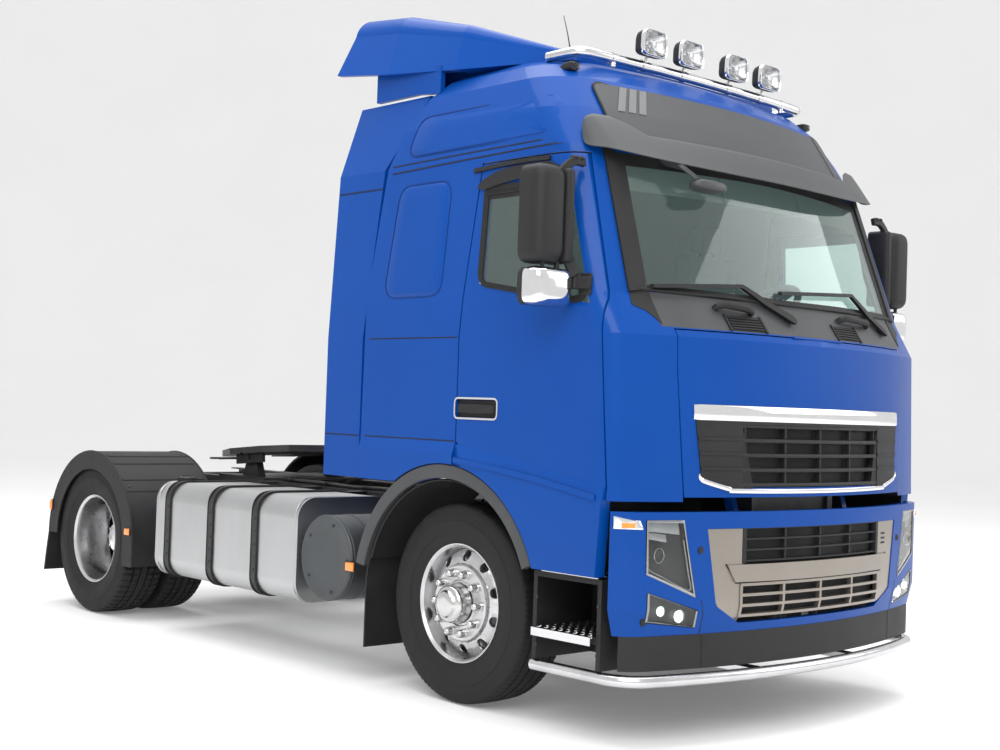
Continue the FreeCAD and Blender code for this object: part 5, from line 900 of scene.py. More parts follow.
mesh = Build()
for i in range(5):
    x = -0.540 + 0.270 * i
    block(mesh, PLATE, (x - 0.006, x + 0.006), (0.822, 0.982), -0.010, 0.018, 1, 8)
for i in range(4):
    z = MESH_LOW + MESH_STEP * i
    block(mesh, PLATE, (-MESH_HALF, MESH_HALF), (z - 0.004, z + 0.004), -0.006, 0.020, 32, 1)
for way in (-1, 1):
    block(mesh, PLATE, (way * 0.540, way * 0.566), (0.815, 0.986), -0.003, 0.026, 2, 6)
block(mesh, PLATE, (-MESH_HALF, MESH_HALF), (0.976, 0.986), -0.003, 0.022, 30, 1)
for i in range(3):
    z = 0.862 + 0.024 * i
    block(mesh, PLATE, (0.606, 0.652), (z, z + 0.010), -0.0025, 0.003, 4, 1)
for x, z, r in ((-0.813, 0.883, 0.017), (0.813, 0.883, 0.017), (-1.093, 0.567, 0.019)):
    mesh.lathe([(0.004, r), (-0.002, r), (-0.004, r * 0.8), (-0.003, 0.0005)],
               PLATE(x, z), "y", 20, closed=False)
mesh.piece("bumper_mesh", PLASTIC, "chassis", "satin_plate", 32.0)

# A dark sheet behind the plate and meshes: painted shade in their openings
back = Build()
patch(back, PLATE, [(-0.700, 0.560), (0.700, 0.560)], [(-0.770, 0.986), (0.770, 0.986)],
      -0.034, 0.003, 30, 8)
back.piece("bumper_painted_shade", SEAM_AND_SHADE, "chassis", "satin_plate", 30.0)


def quad(corners, u, v):
    """A place in a four-cornered field, from its lower left corner."""
    low = between(corners[0], corners[1], u)
    high = between(corners[3], corners[2], u)
    return between(low, high, v)


def lamp_at(corners, way, u, v, lift):
    """A place on a lamp's field at the right (1) or at the left (-1)."""
    x, z = quad(corners, u, v)
    return PLATE(x * way, z, lift)


LAMP_EDGE = ([(u / 8, 0.0) for u in range(8)] + [(1.0, v / 6) for v in range(6)]
             + [(1 - u / 8, 1.0) for u in range(8)] + [(0.0, 1 - v / 6) for v in range(6)])


def rim(corners, way, inset, lift):
    """A lamp's border, moved inwards by a share of its size."""
    return [lamp_at(corners, way, inset + u * (1 - 2 * inset), inset + v * (1 - 2 * inset), lift)
            for u, v in LAMP_EDGE]


# The corners of the headlamp's and the fog lamp's field, from the lower outer one round
HEAD = ((-1.096, 0.778), (-0.834, 0.668), (-0.908, 1.020), (-1.100, 1.020))
FOG = ((-1.086, 0.566), (-0.818, 0.531), (-0.818, 0.607), (-1.086, 0.697))

cases, glassware, bright, lit = Build(), Build(), Build(), Build()
for way in (1, -1):
    for corners in (HEAD, FOG):
        insets = [rim(corners, way, inset, lift) for inset, lift in
                  ((0.0, 0.001), (0.02, 0.0035), (0.04, 0.001))]
        bright.rings(insets, caps=False)
        rows = [[lamp_at(corners, way, 0.03 + 0.94 * u / 12, 0.03 + 0.94 * v / 10, -0.002)
                 for v in range(11)] for u in range(13)]
        glassware.rings([row + [p + Vector((0, 0.003, 0)) for p in reversed(row)] for row in rows])
        bowl = [rim(corners, way, inset, lift) for inset, lift in
                ((0.0, -0.001), (0.03, -0.010), (0.06, -0.034))]
        centre = lamp_at(corners, way, 0.5, 0.5, -0.035)
        bowl.append([centre + (p - centre) * 0.02 for p in bowl[-1]])
        cases.rings(bowl, caps=False)
    for u0, u1, v0, v1, out, thick in (
            (0.06, 0.84, 0.80, 0.965, -0.010, 0.020), (0.06, 0.50, 0.66, 0.78, -0.016, 0.014),
            (0.08, 0.42, 0.55, 0.565, -0.018, 0.008), (0.08, 0.42, 0.585, 0.600, -0.018, 0.008),
            (0.08, 0.42, 0.62, 0.635, -0.018, 0.008)):
        bright.rings([[lamp_at(HEAD, way, u0 + (u1 - u0) * i / 4, v, lift) for v, lift in (
            (v0, out), ((v0 + v1) / 2, out + 0.003), (v1, out), (v1, out - thick), (v0, out - thick))]
            for i in range(5)])
    trim = [lamp_at(HEAD, way, u, v, -0.011) for u, v in (
        (0.05, 0.34), (0.05, 0.13), (0.35, 0.085), (0.90, 0.065), (0.93, 0.30), (0.93, 0.74))]
    bright.sweep(curve_points(trim, 4), 0.0045, 8)
    eye = lamp_at(HEAD, way, 0.30, 0.42, -0.016)
    bright.lathe([(0.008, 0.036), (-0.004, 0.036), (-0.006, 0.033), (-0.004, 0.030), (0.006, 0.028)],
                 eye, "y", 28, closed=False)
    glassware.lathe([(0.004, 0.029), (-0.005, 0.027), (-0.011, 0.019), (-0.0135, 0.010),
                     (-0.014, 0.0005)], eye, "y", 28, closed=False)
    for u, v, r in ((0.28, 0.46, 0.021), (0.66, 0.42, 0.027)):
        spot = lamp_at(FOG, way, u, v, -0.012)
        bright.lathe([(0.010, r * 0.7), (-0.004, r * 1.15), (-0.006, r * 1.2), (-0.005, r * 1.05)],
                     spot, "y", 24, closed=False)
        lit.lathe([(0.004, r), (-0.002, r * 0.96), (-0.006, r * 0.70), (-0.008, 0.0005)], spot, "y",
                  24, closed=False)

cases.piece("lamp_bowls", CAST, "chassis", "lamp_glass", 30.0, ("headlamps",))
bright.piece("lamp_trims", LAMP_TRIM, "chassis", "lamp_glass", 34.0)
glassware.piece("lamp_covers", LENS, "chassis", "lamp_glass", 40.0)
lit.piece("lamp_lights", LAMP_LIT, "chassis", "lamp_glass", 40.0)

# Side indicators on the bumper's corners, with a bright frame round an amber lens

frames, amber = Build(), Build()
for way in (-1, 1):
    corner = side_of(BUMPER_ROWS, way)
    panel(frames, corner, [(-1.214, 0.975), (-1.118, 0.975), (-1.118, 1.040), (-1.205, 1.020)],
          0.008, 0.008, 0.008, 0.001)
    panel(amber, corner, [(-1.196, 0.983), (-1.152, 0.983), (-1.152, 1.010), (-1.196, 1.010)],
          0.005, 0.0105, 0.004, -0.006)
frames.piece("indicator_frames", CHROME, "chassis", "lamp_glass", 34.0)
amber.piece("indicator_lenses", AMBER, "chassis", "lamp_glass", 34.0)

# Dark joints in the bumper and its black edge

joints = Build()
for way in (-1, 1):
    trace(joints, VALANCE_FRONT, [(way * 0.770, 0.350), (way * 0.770, 0.494)], 0.005)
    trace(joints, PLATE, [(way * 0.786, 0.505), (way * 0.786, 0.590), (way * 0.803, 0.660)],
          0.004, steps=3)
    trace(joints, PLATE, [(way * 0.602, 0.726), (way * 0.604, 0.740), (way * 0.664, 0.815)], 0.006,
          -0.0015)
trace(joints, PLATE, [(-0.602, 0.7265), (0.602, 0.7265)], 0.006, -0.0005, steps=24)
joints.piece("bumper_joints", SEAM_AND_SHADE, "chassis", "body_paint", 30.0)


# Over the windscreen: header with its three pale stripes, and the curved sun visor

stripes, edges, wings = Build(), Build(), Build()
for low, high in ((-0.865, -0.775), (-0.802, -0.715), (-0.740, -0.655)):
    patch(stripes, CAB_FRONT, [(low, 2.945), (low + 0.042, 2.945)], [(high, 3.086),
                                                                   (high + 0.042, 3.086)],
          0.0112, 0.0018, 3, 6)
stripes.piece("header_stripes", STRIPE, "cab", "grey_plastic", 30.0)
for way in (-1, 1):
    patch(wings, CAB_FRONT, [(way * 0.950, 2.800), (way * 0.865, 2.800)],
          [(way * 0.930, 3.082), (way * 0.865, 3.090)], 0.0116, 0.013, 6, 10)
wings.piece("header_wings", GREY, "cab", "grey_plastic", 30.0)
border = rounded_outline([(-0.952, 2.800), (0.952, 2.800), (0.934, 3.092), (-0.934, 3.092)],
                         [0.01, 0.01, 0.05, 0.05], 5)
trace(edges, CAB_FRONT, loop(border), 0.009, 0.0118, 0.006, 1)
edges.piece("header_edge", PLASTIC, "cab", "grey_plastic", 30.0)


# Where the points round a corner of the visor stand, and how tall its ends are from the tips inwards
VISOR_SHARES = (0.0, 0.02, 0.06, 0.12, 0.20, 0.30, 0.42, 0.56, 0.70, 0.85, 1.0)
VISOR_TIP_SHARES = (0.30, 0.58, 0.77, 0.89, 0.96)


def bowed_row(half, front, bow, corner, rear, shares, steps):
    """Places along a bowed front, from its right rear end round both corners to its left one."""
    side, corner_y = corner_place(half, front, bow, corner)
    meet = side * bow / (bow - corner)
    meet_y = front + bow - math.sqrt(bow * bow - meet * meet)
    start = math.asin(min(max((corner_y - rear) / corner, 0.0), 1.0))
    stop = math.atan2(-(meet_y - corner_y), meet - side)
    turns = [start + (stop - start) * share for share in shares]
    rows = [(side + corner * math.cos(turn), corner_y - corner * math.sin(turn)) for turn in turns]
    for i in range(1, steps + 1):
        x = meet * (1 - i / steps)
        rows.append((x, front + bow - math.sqrt(bow * bow - x * x)))
    return [(-x, y) for x, y in rows] + [(x, y) for x, y in reversed(rows[:-1])]


visor = Build()
low_row = bowed_row(1.158, -1.117, 3.8, 0.195, -0.805, VISOR_SHARES, 14)
high_row = bowed_row(1.165, -0.905, 3.8, 0.120, -0.735, VISOR_SHARES, 14)
rings = []
for i, ((xa, ya), (xb, yb)) in enumerate(zip(low_row, high_row)):
    end = min(i, len(low_row) - 1 - i)
    x = abs(xa)
    low = 2.668 + 0.055 * (x / 1.11) ** 3
    rise = min(max((x - 0.79) / 0.13, 0.0), 1.0)
    high = 2.818 + (2.900 - 2.818) * rise * rise * (3 - 2 * rise)
    high -= 0.015 * min(max((x - 1.02) / 0.13, 0.0), 1.0) ** 2
    if end < len(VISOR_TIP_SHARES):
        middle = (low + high) / 2
        pinch = VISOR_TIP_SHARES[end]
        low, high = middle - (middle - low) * pinch, middle + (high - middle) * pinch

    def at_height(z, back=0.0):
        share = (z - 2.665) / 0.27
        px, py = xa + (xb - xa) * share, ya + (yb - ya) * share
        away = Vector((px, py + 0.30, 0)).normalized()
        return Vector((px - away.x * back, py - away.y * back, z))

    tall = high - low
    ring = [at_height(low + 0.004, 0.012), at_height(low, 0.006), at_height(low + 0.004, 0.0)]
    ring += [at_height(low + tall * t, 0.002 - 0.002 * math.sin(math.pi * t))
             for t in (0.12, 0.3, 0.5, 0.7, 0.88)]
    ring += [at_height(high - 0.006, 0.003), at_height(high, 0.010), at_height(high - 0.006, 0.016)]
    ring += [at_height(low + tall * t, 0.013) for t in (0.7, 0.4, 0.15)]
    rings.append(ring)
visor.rings(rings)
for x in (-0.600, 0.0, 0.600):
    back_y = CAB_FRONT(x, 2.747).y
    visor.bar([(x, y, 2.747) for y in (back_y + 0.004, back_y - 0.02, -1.040 + 0.13 * x * x)], 0.040,
              0.013, (0, 0, 1))
visor.piece("visor_shell", GREY, "cab", "grey_plastic", 40.0, ("sun_visor",))

# Roof bar with lamps, marker lamps on the roof's corners, and the antenna

bar, clamps, cases, rims, glasses, bowls = Build(), Build(), Build(), Build(), Build(), Build()
BAR_Z, BAR_RADIUS = 3.270, 0.0265
BAR_HALF, BAR_FRONT, BAR_BOW, BAR_REAR = 0.915, -0.560, 12.0, -0.300
row = bowed_row(BAR_HALF, BAR_FRONT, BAR_BOW, 0.070, BAR_REAR, [i / 8 for i in range(9)], 12)
ends = [(BAR_HALF, y) for y in (BAR_REAR - 0.001, BAR_REAR - 0.004, (BAR_REAR + row[0][1]) / 2)]
path = [(x, y, BAR_Z) for x, y in [(-x, y) for x, y in ends] + row + ends[::-1]]
bar.sweep(path, [0.012, 0.0255] + [BAR_RADIUS] * (len(path) - 4) + [0.0255, 0.012], 20)
bar.piece("bar_tube_fine", TUBE, "cab", "polished_tube", 40.0, ("roof_bar",))


def bar_y(x):
    """How far back the bar lies at a place across it."""
    return BAR_FRONT + BAR_BOW - math.sqrt(BAR_BOW ** 2 - x * x)


foot_y = -0.545
for x in (-0.700, 0.700):
    y = bar_y(x)
    clamps.lathe([(-0.016, 0.0268), (-0.016, 0.0285), (0.016, 0.0285), (0.016, 0.0268)],
                 (x, y, BAR_Z), "x", 24)
    clamps.sweep([(x, foot_y, 3.225), (x, foot_y, 3.250)], 0.014, 12)
    clamps.lathe([(0.0, 0.0155), (0.006, 0.0155), (0.008, 0.013)], (x, foot_y, 3.236), "z", 16,
                 closed=False)
for way in (-1, 1):
    clamps.sweep([(way * BAR_HALF, -0.302, 3.250), (way * BAR_HALF, -0.302, 3.272)], 0.0140, 12)

LAMP_OUTLINE = rounded_outline([(-0.093, -0.066), (0.093, -0.066), (0.088, 0.068), (-0.088, 0.068)],
                               [0.034, 0.034, 0.044, 0.044], 6)
# Each part of a roof lamp as (along, scale) steps of that outline, from the back to the front
LAMP_CASE = ((0.046, 0.30), (0.044, 0.52), (0.034, 0.74), (0.016, 0.90), (-0.010, 0.97), (-0.030, 0.985),
             (-0.034, 0.92), (-0.025, 0.82), (-0.007, 0.57), (0.009, 0.27), (0.011, 0.02))
LAMP_RIM = ((-0.024, 0.985), (-0.028, 1.0), (-0.040, 1.0), (-0.0465, 0.97), (-0.0475, 0.93),
            (-0.044, 0.90), (-0.036, 0.89))
LAMP_BOWL = ((-0.036, 0.90), (-0.030, 0.80), (-0.012, 0.55), (0.004, 0.25), (0.006, 0.02))
LAMP_GLASS = ((-0.0400, 0.895), (-0.0440, 0.70), (-0.0465, 0.40), (-0.0470, 0.02))
for x in (-0.483, -0.190, 0.190, 0.483):
    y = bar_y(x)
    clamps.lathe([(-0.018, 0.0268), (-0.018, 0.0310), (0.018, 0.0310), (0.018, 0.0268)],
                 (x, y, BAR_Z), "x", 24)
    clamps.sweep([(x, -0.572, 3.285), (x, -0.578, 3.309)], (0.013, 0.011), 12)
    centre = Vector((x, -0.592, 3.371))
    for build, steps, caps in ((cases, LAMP_CASE, True), (rims, LAMP_RIM, False),
                               (bowls, LAMP_BOWL, False), (glasses, LAMP_GLASS, False)):
        build.rings([[centre + Vector((p * scale, along, q * scale)) for p, q in LAMP_OUTLINE]
                     for along, scale in steps], caps=caps)
    bowls.sweep([centre + Vector((0, 0.004, 0)), centre + Vector((0, -0.022, 0))], 0.009, 12)
clamps.piece("bar_clamps", TUBE, "cab", "polished_tube", 40.0)
cases.piece("bar_lamp_cases", PLASTIC, "cab", "polished_tube", 34.0)
rims.piece("bar_lamp_rims", CHROME, "cab", "polished_tube", 34.0)
bowls.piece("bar_lamp_bowls", TUBE, "cab", "polished_tube", 34.0)
glasses.piece("bar_lamp_glasses", LENS, "cab", "polished_tube", 40.0)

marks, lenses = Build(), Build()
MARK = rounded_outline([(-0.030, -0.010), (0.030, -0.010), (0.024, 0.034), (-0.024, 0.034)], 0.014, 4)
MARK_BODY = ((0.070, 0.10), (0.055, 0.62), (0.020, 0.95), (-0.020, 1.0), (-0.034, 0.90))
MARK_LENS = ((-0.033, 0.88), (-0.043, 0.80), (-0.049, 0.50), (-0.051, 0.05))
for way in (-1, 1):
    base = Vector((way * 0.962, -0.505, 3.172))
    for build, steps, caps in ((marks, MARK_BODY, True), (lenses, MARK_LENS, False)):
        build.rings([[base + Vector((x * scale, along, z * scale)) for x, z in MARK]
                     for along, scale in steps], caps=caps)
marks.lathe([(0.0, 0.022), (0.006, 0.021), (0.020, 0.010), (0.032, 0.006)], (-0.898, -0.440, 3.262),
            "z", 16, closed=False)
marks.sweep([(-0.898, -0.440, 3.285), (-0.898, -0.415, 3.380), (-0.898, -0.385, 3.470)],
            (0.0035, 0.0025, 0.0018), 8)
marks.piece("roof_marks", PLASTIC, "cab", "black_plastic", 36.0)
lenses.piece("roof_mark_lenses", LENS, "cab", "lamp_glass", 40.0)

# The kerb mirror under the visor, on its arm

kerb = Build()
arm = [(-0.735, -0.915, 2.712), (-0.700, -1.000, 2.680), (-0.655, -1.045, 2.640), (-0.630, -1.060, 2.618)]
kerb.bar(curve_points(arm, 5), 0.060, 0.018, (0.5, -0.6, 0.4))
centre = Vector((-0.560, -1.065, 2.592))
KERB = rounded_outline([(-0.052, -0.020), (0.052, -0.030), (0.044, 0.030), (-0.048, 0.026)], 0.022, 4)
kerb.rings([[centre + Vector((along, y * scale, z * scale)) for y, z in KERB]
            for along, scale in ((-0.115, 0.25), (-0.105, 0.62), (-0.075, 0.92), (0.0, 1.0),
                                 (0.075, 0.94), (0.105, 0.66), (0.116, 0.25))])
kerb.piece("kerb_mirror", GREY, "cab", "grey_plastic", 42.0)

# The cab's sides: mirrors, window frames, rain shields, handles, arch bands, panels and seams

SIDES = ((-1, "door_right", CAB_RIGHT, "mirror_right"), (1, "door_left", CAB_LEFT, "mirror_left"))


def case_ring(x_near, x_far, z_low, z_high, y, corner, squeeze=1.0):
    """One rounded section of a mirror case, on its right-hand side of the cab."""
    half_x, half_z = (x_far - x_near) / 2, (z_high - z_low) / 2
    inset = min(half_x, half_z) * (1 - squeeze)
    corner = min(corner, (half_x - inset) * 0.95, (half_z - inset) * 0.95)
    return [(-x, y, z) for x, z in box_outline((x_near, x_far), (z_low, z_high), corner, 6, -inset)]


def mirror_case(build, near, far, low, high, front, back, corner):
    """A mirror's case, domed to the front and sunk behind the glass."""
    rings = [case_ring(near, far, low, high, front + step, corner, squeeze)
             for step, squeeze in ((0.000, 0.45), (0.004, 0.66), (0.014, 0.84), (0.032, 0.95),
                                   (0.055, 1.0))]
    rings += [case_ring(near, far, low, high, back - 0.006, corner),
              case_ring(near, far, low, high, back, corner, 0.95),
              case_ring(near, far, low, high, back - 0.003, corner, 0.88),
              case_ring(near, far, low, high, back - 0.010, corner, 0.86)]
    build.rings(rings)


cases, arms, faces, cover = Build(), Build(), Build(), Build()
# The main mirror's two cases and the wide mirror's: x from near to far, z, y from front to back, corner
for limits in ((1.3475, 1.520, 2.155, 2.600, -0.905, -0.760, 0.055),
               (1.285, 1.3445, 2.160, 2.600, -0.896, -0.762, 0.030),
               (1.286, 1.518, 1.966, 2.136, -0.893, -0.762, 0.045)):
    mirror_case(cases, *limits)
for low, high in ((2.175, 2.580), (1.982, 2.120)):
    faces.rings([case_ring(1.300, 1.505, low, high, y, 0.04, squeeze)
                 for y, squeeze in ((-0.772, 1.0), (-0.7690, 1.0), (-0.7685, 0.9))])
cover.rings([case_ring(1.2855, 1.5190, 1.9655, 2.1365, -0.800, 0.045)]
            + [case_ring(1.2845, 1.5198, 1.9645, 2.1375, y, 0.045, squeeze)
               for y, squeeze in ((-0.804, 1.0), (-0.860, 1.0), (-0.880, 0.95), (-0.896, 0.84),
                                  (-0.903, 0.66), (-0.905, 0.45))])
for x, radius in ((-1.360, 0.013), (-1.450, 0.010)):
    arms.sweep([(x, -0.855, 2.12), (x, -0.855, 2.17)], radius, 14)
arms.bar(curve_points([(-1.345, -0.850, 2.575), (-1.300, -0.850, 2.618), (-1.255, -0.852, 2.640),
                       (-1.196, -0.850, 2.640)], 5), 0.040, 0.026, (0, -1, 0.2))
for x in (-1.262, -1.225):
    arms.lathe([(0.0, 0.0), (0.0, 0.020), (0.012, 0.020), (0.017, 0.014), (0.017, 0.0)],
               (x, -0.850, 2.648), "z", 20, closed=False)
arms.bar(curve_points([(-1.322, -0.866, 2.255), (-1.306, -0.868, 2.205), (-1.288, -0.876, 2.150),
                       (-1.272, -0.892, 2.108)], 5), 0.048, 0.030, (-0.5, -1, 0))
arms.bar([(-1.272, -0.868, 2.084), (-1.262, -0.905, 2.080), (-1.250, -0.968, 2.076)], 0.056, 0.026,
         (-1, -0.2, 0))
arms.bar([(-1.2480, -0.900, 2.072), (-1.2440, -0.966, 2.070)], 0.100, 0.012, (-1, -0.1, 0))
arms.lathe([(-0.036, 0.0), (-0.036, 0.017), (0.036, 0.017), (0.036, 0.0)], (-1.268, -0.884, 2.086),
           "z", 20, closed=False)
for side, body, face, node in SIDES:
    if side > 0:
        cases, arms, faces, cover = (build.flipped() for build in (cases, arms, faces, cover))
    cases.piece(node + "_cases", PLASTIC, body, "grey_plastic", 42.0, (node,))
    arms.piece(node + "_arms", PLASTIC, body, "grey_plastic", 40.0, edge=0.004)
    faces.piece(node + "_faces", CHROME, body, "bright_metal", 30.0)
    cover.piece(node + "_cover", CHROME, body, "bright_metal", 60.0)

# The outlines of the window's frame and of the seal inside it, as (y, z) places
GLASS = ((-0.205, 2.105), (-0.205, 2.575), (-0.765, 2.575), (-0.960, 1.985))
GLASS_SEAL = ((-0.226, 2.100), (-0.226, 2.545), (-0.752, 2.545), (-0.936, 2.005))
# The rain shield's lower and upper edges, the door's crease, the raised panels and the painted shade lines
# round them, as (y, z) places
SHIELD_LOW = ((-0.150, 2.578), (-0.195, 2.568), (-0.310, 2.588), (-0.430, 2.600), (-0.560, 2.604),
              (-0.700, 2.600), (-0.770, 2.560))
SHIELD_HIGH = ((-0.150, 2.588), (-0.178, 2.612), (-0.264, 2.642), (-0.356, 2.658), (-0.480, 2.664),
               (-0.640, 2.662), (-0.780, 2.600))
CREST = ((-1.050, 1.185), (-0.900, 1.212), (-0.700, 1.243), (-0.500, 1.268), (-0.300, 1.290),
         (-0.085, 1.308))
ROOF_PANEL = ((0.455, 2.800), (-0.665, 2.815), (-0.600, 3.010), (0.380, 3.005))
BACK_PANEL = ((0.545, 2.060), (0.090, 2.060), (0.070, 2.640), (0.470, 2.640))
ROOF_SHADE_LINE = ((0.468, 2.794), (-0.677, 2.809), (-0.607, 3.018), (0.388, 3.013))
BACK_SHADE_LINE = ((0.552, 2.053), (0.083, 2.053), (0.063, 2.647), (0.477, 2.647))
# Each seam's way along the side, its width, how far out it lies, its thickness and its steps
SIDE_SEAMS = (([(0.560, 2.722), (0.000, 2.738), (-0.500, 2.750), (-0.700, 2.752)], 0.007, 0.0022, 0.005, 6),
              ([(0.560, 2.760), (0.000, 2.772), (-0.500, 2.780), (-0.700, 2.780)], 0.006, 0.0022, 0.005, 6),
              ([(0.655, 1.842), (0.000, 1.842), (-0.060, 1.842)], 0.006, 0.0009, 0.003, 4),
              ([(0.670, 1.325), (0.000, 1.325), (-0.060, 1.325)], 0.006, 0.0009, 0.003, 4))
# The arch's band and liner: from which turn and how far they run, and their (x, radius) section
ARCHES = (("arch_band_", GREY, "grey_plastic", 12.0, 146.0, (
              (1.2200, 0.633), (1.2560, 0.632), (1.2620, 0.640), (1.2650, 0.688), (1.2610, 0.698),
              (1.2200, 0.699))),
          ("arch_liner_", PLASTIC, "black_plastic", 16.0, 138.0, (
              (0.700, 0.620), (0.700, 0.627), (1.225, 0.627), (1.232, 0.622), (1.225, 0.616),
              (1.215, 0.620))))
for side, body, face, node in SIDES:
    tag = body[5:]
    rubber, shields, chrome, recess = Build(), Build(), Build(), Build()
    bands, swage, shade_outlines = Build(), Build(), Build()
    for places, radii, width, out in ((GLASS, (0.075, 0.030, 0.050, 0.075), 0.027, 0.0055),
                                      (GLASS_SEAL, (0.06, 0.02, 0.04, 0.06), 0.008, 0.0075)):
        trace(rubber, face, loop(rounded_outline(places, radii, 8)), width, out, 0.010, 2)
    block(rubber, face, (-0.215, -0.765), (2.520, 2.566), 0.0035, 0.006, 12, 2)
    trace(rubber, face, [(-0.912, 2.010), (-0.870, 2.160), (-0.800, 2.400), (-0.772, 2.500)], 0.030,
          0.0040, 0.006, 3)
    rubber.piece("window_rubber_" + tag, RUBBER, body, "black_plastic", 30.0)
    patch(shields, face, SHIELD_LOW, SHIELD_HIGH, 0.014, 0.004, 18, 5)
    patch(shields, face, SHIELD_HIGH, [(y, z + 0.006) for y, z in SHIELD_HIGH], 0.0145, 0.016, 18, 1)
    trace(shields, face, [(-0.106, 2.672), (-0.303, 2.684), (-0.514, 2.688), (-0.640, 2.684)], 0.020,
          0.013, 0.014, 4)
    shields.piece("rain_shield_" + tag, PLASTIC, body, "black_plastic", 34.0)
    block(recess, face, (-0.362, -0.068), (1.448, 1.532), -0.016, 0.004, 6, 3)
    for y in (-0.336, -0.094):
        block(recess, face, (y - 0.014, y + 0.014), (1.472, 1.508), 0.002, 0.022, 2, 2)
    patch(recess, face, [(-0.345, 1.470), (-0.215, 1.466), (-0.085, 1.470)],
          [(-0.345, 1.508), (-0.215, 1.512), (-0.085, 1.508)], 0.0060, 0.011, 12, 4)
    recess.piece("door_handle_" + tag, PLASTIC, body, "black_plastic", 40.0, edge=0.002)
    border = box_outline((-0.370, -0.060), (1.440, 1.540), 0.026, 6)
    trace(chrome, face, loop(border), 0.009, 0.0050, 0.012, 1)
    chrome.piece("handle_frame_" + tag, CHROME, body, "bright_metal", 34.0)
    for name, finish, slot, start, sweep, section in ARCHES:
        arch, turns = Build(), [math.radians(start + sweep * i / 48) for i in range(49)]
        arch.rings([[(side * x, radius * math.cos(turn), AXLE_Z + radius * math.sin(turn))
                     for x, radius in section] for turn in turns])
        arch.piece(name + tag, finish, "chassis", slot, 30.0)
    for seam in SIDE_SEAMS:
        trace(swage, face, *seam)
    swage.piece("side_seams_" + tag, SEAM_AND_SHADE, "cab", "body_paint", 30.0)
    panel(bands, face, ROOF_PANEL, 0.070, 0.0090, 0.020)
    panel(bands, face, BACK_PANEL, 0.090, 0.0085, 0.022)
    bands.piece("side_panels_" + tag, PAINT, "cab", "body_paint", 42.0)
    # Darker blue lines round the raised panels: painted shade at their edges
    for places, radius in ((ROOF_SHADE_LINE, 0.075), (BACK_SHADE_LINE, 0.095)):
        trace(shade_outlines, face, loop(rounded_outline(places, radius, 6)), 0.005, 0.0022, 0.005, 2)
    shade_outlines.piece("side_panel_shade_lines_" + tag, SHADED_BLUE, "cab", "body_paint", 30.0)
    crease = Build()
    patch(crease, side_of(CAB_ROWS, side, 0.020), [(y, z - 0.090) for y, z in CREST],
          [(y, z - 0.062) for y, z in CREST], 0.0060, 0.009, 18, 3)
    crease.piece("door_crease_" + tag, PAINT, body, "body_paint", 50.0)

# A filler between the roof and the spoiler's foot, in the darker blue as painted shade

filler = Build()
rows = []
for i in range(9):
    y = -0.330 + 1.030 * i / 8
    half = 0.805 + 0.200 * (y + 0.391)
    base, top = 3.262 if y < 0.230 else 3.200, 3.292 + 0.038 * i / 8
    rows.append([(-half, y, base), (-half + 0.020, y, top), (-half + 0.040, y, top),
                 (-half + 0.020, y, base)])
filler.rings(rows)
filler.mirrored()
filler.piece("spoiler_filler", SHADED_BLUE, "cab", "body_paint", 34.0)

# Side deflectors: cross seams, as their three panels meet

splits = Build()
for z, front, rear in ((2.650, 0.640, 1.020), (1.325, 0.722, 1.026)):
    out = 1.2466 if z < 1.9 else 0.0016 - CAB_RIGHT(0.0, z).x
    rings = []
    for i in range(9):
        y = front + (rear - front) * i / 8
        rings.append([(-out, y, z - 0.003), (-out, y, z + 0.003), (-out + 0.006, y, z + 0.003),
                      (-out + 0.006, y, z - 0.003)])
    splits.rings(rings)
splits.mirrored()
splits.piece("deflector_seams", SEAM_AND_SHADE, "cab", "body_paint", 30.0)

# Behind the cab: tank, silencer, fenders, coupling, frame and steps

TANK_LOOP = box_outline((-1.220, -0.560), (0.350, 0.950), 0.120, 8)


def hoop(build, low, high, inner, outer):
    """A band round the tank, between two distances from its skin."""
    rings = []
    for x, z in TANK_LOOP + TANK_LOOP[:1]:
        away = Vector((x + 0.890, z - 0.650))
        limit = Vector((min(max(x, -1.100), -0.680), min(max(z, 0.470), 0.830)))
        out = (Vector((x, z)) - limit)
        out = out.normalized() if out.length > 1e-6 else away.normalized()
        near, far = Vector((x, z)) + out * inner, Vector((x, z)) + out * outer
        rings.append([(near.x, low, near.y), (far.x, low + 0.002, far.y), (far.x, high - 0.002, far.y),
                      (near.x, high, near.y)])
    build.rings(rings, caps=False)


def dome(build, place, out, radius, height):
    """A low round bolt head that stands on a face."""
    out = Vector(out).normalized()
    side = out.orthogonal().normalized()
    other = out.cross(side)
    turns = [math.tau * i / 8 for i in range(8)]
    build.rings([[Vector(place) + out * (height * rise)
                  + (side * math.cos(turn) + other * math.sin(turn)) * (radius * share) for turn in turns]
                 for share, rise in ((1.0, -0.15), (1.0, 0.35), (0.72, 0.85), (0.30, 1.0), (0.02, 1.0))])


rims, bolts, welds = Build(), Build(), Build()
for y in (1.720, 2.210, 2.720):
    hoop(rims, y - 0.034, y - 0.024, 0.0000, 0.0105)
    hoop(rims, y + 0.024, y + 0.034, 0.0000, 0.0105)
    for z in (0.500, 0.575, 0.650, 0.725, 0.800):
        dome(bolts, (-1.2283, y, z), (-1, 0, 0), 0.0085, 0.006)
for y in (1.318, 2.848):
    hoop(welds, y - 0.006, y + 0.006, -0.001, 0.0022)
welds.piece("tank_welds", TANK, "chassis", "tank_alloy", 40.0)
rims.piece("strap_rims", RUBBER, "chassis", "dark_steel", 40.0)
CAP_X, CAP_Y, CAP_RADIUS = -1.040, 2.812, 0.0565
cap = Build()
cap.lathe([(-0.002, 0.052), (0.004, 0.056), (0.018, CAP_RADIUS), (0.024, 0.053), (0.030, 0.049),
           (0.034, 0.036), (0.035, 0.004)], (CAP_X, CAP_Y, 0.950), "z", 40, closed=False)
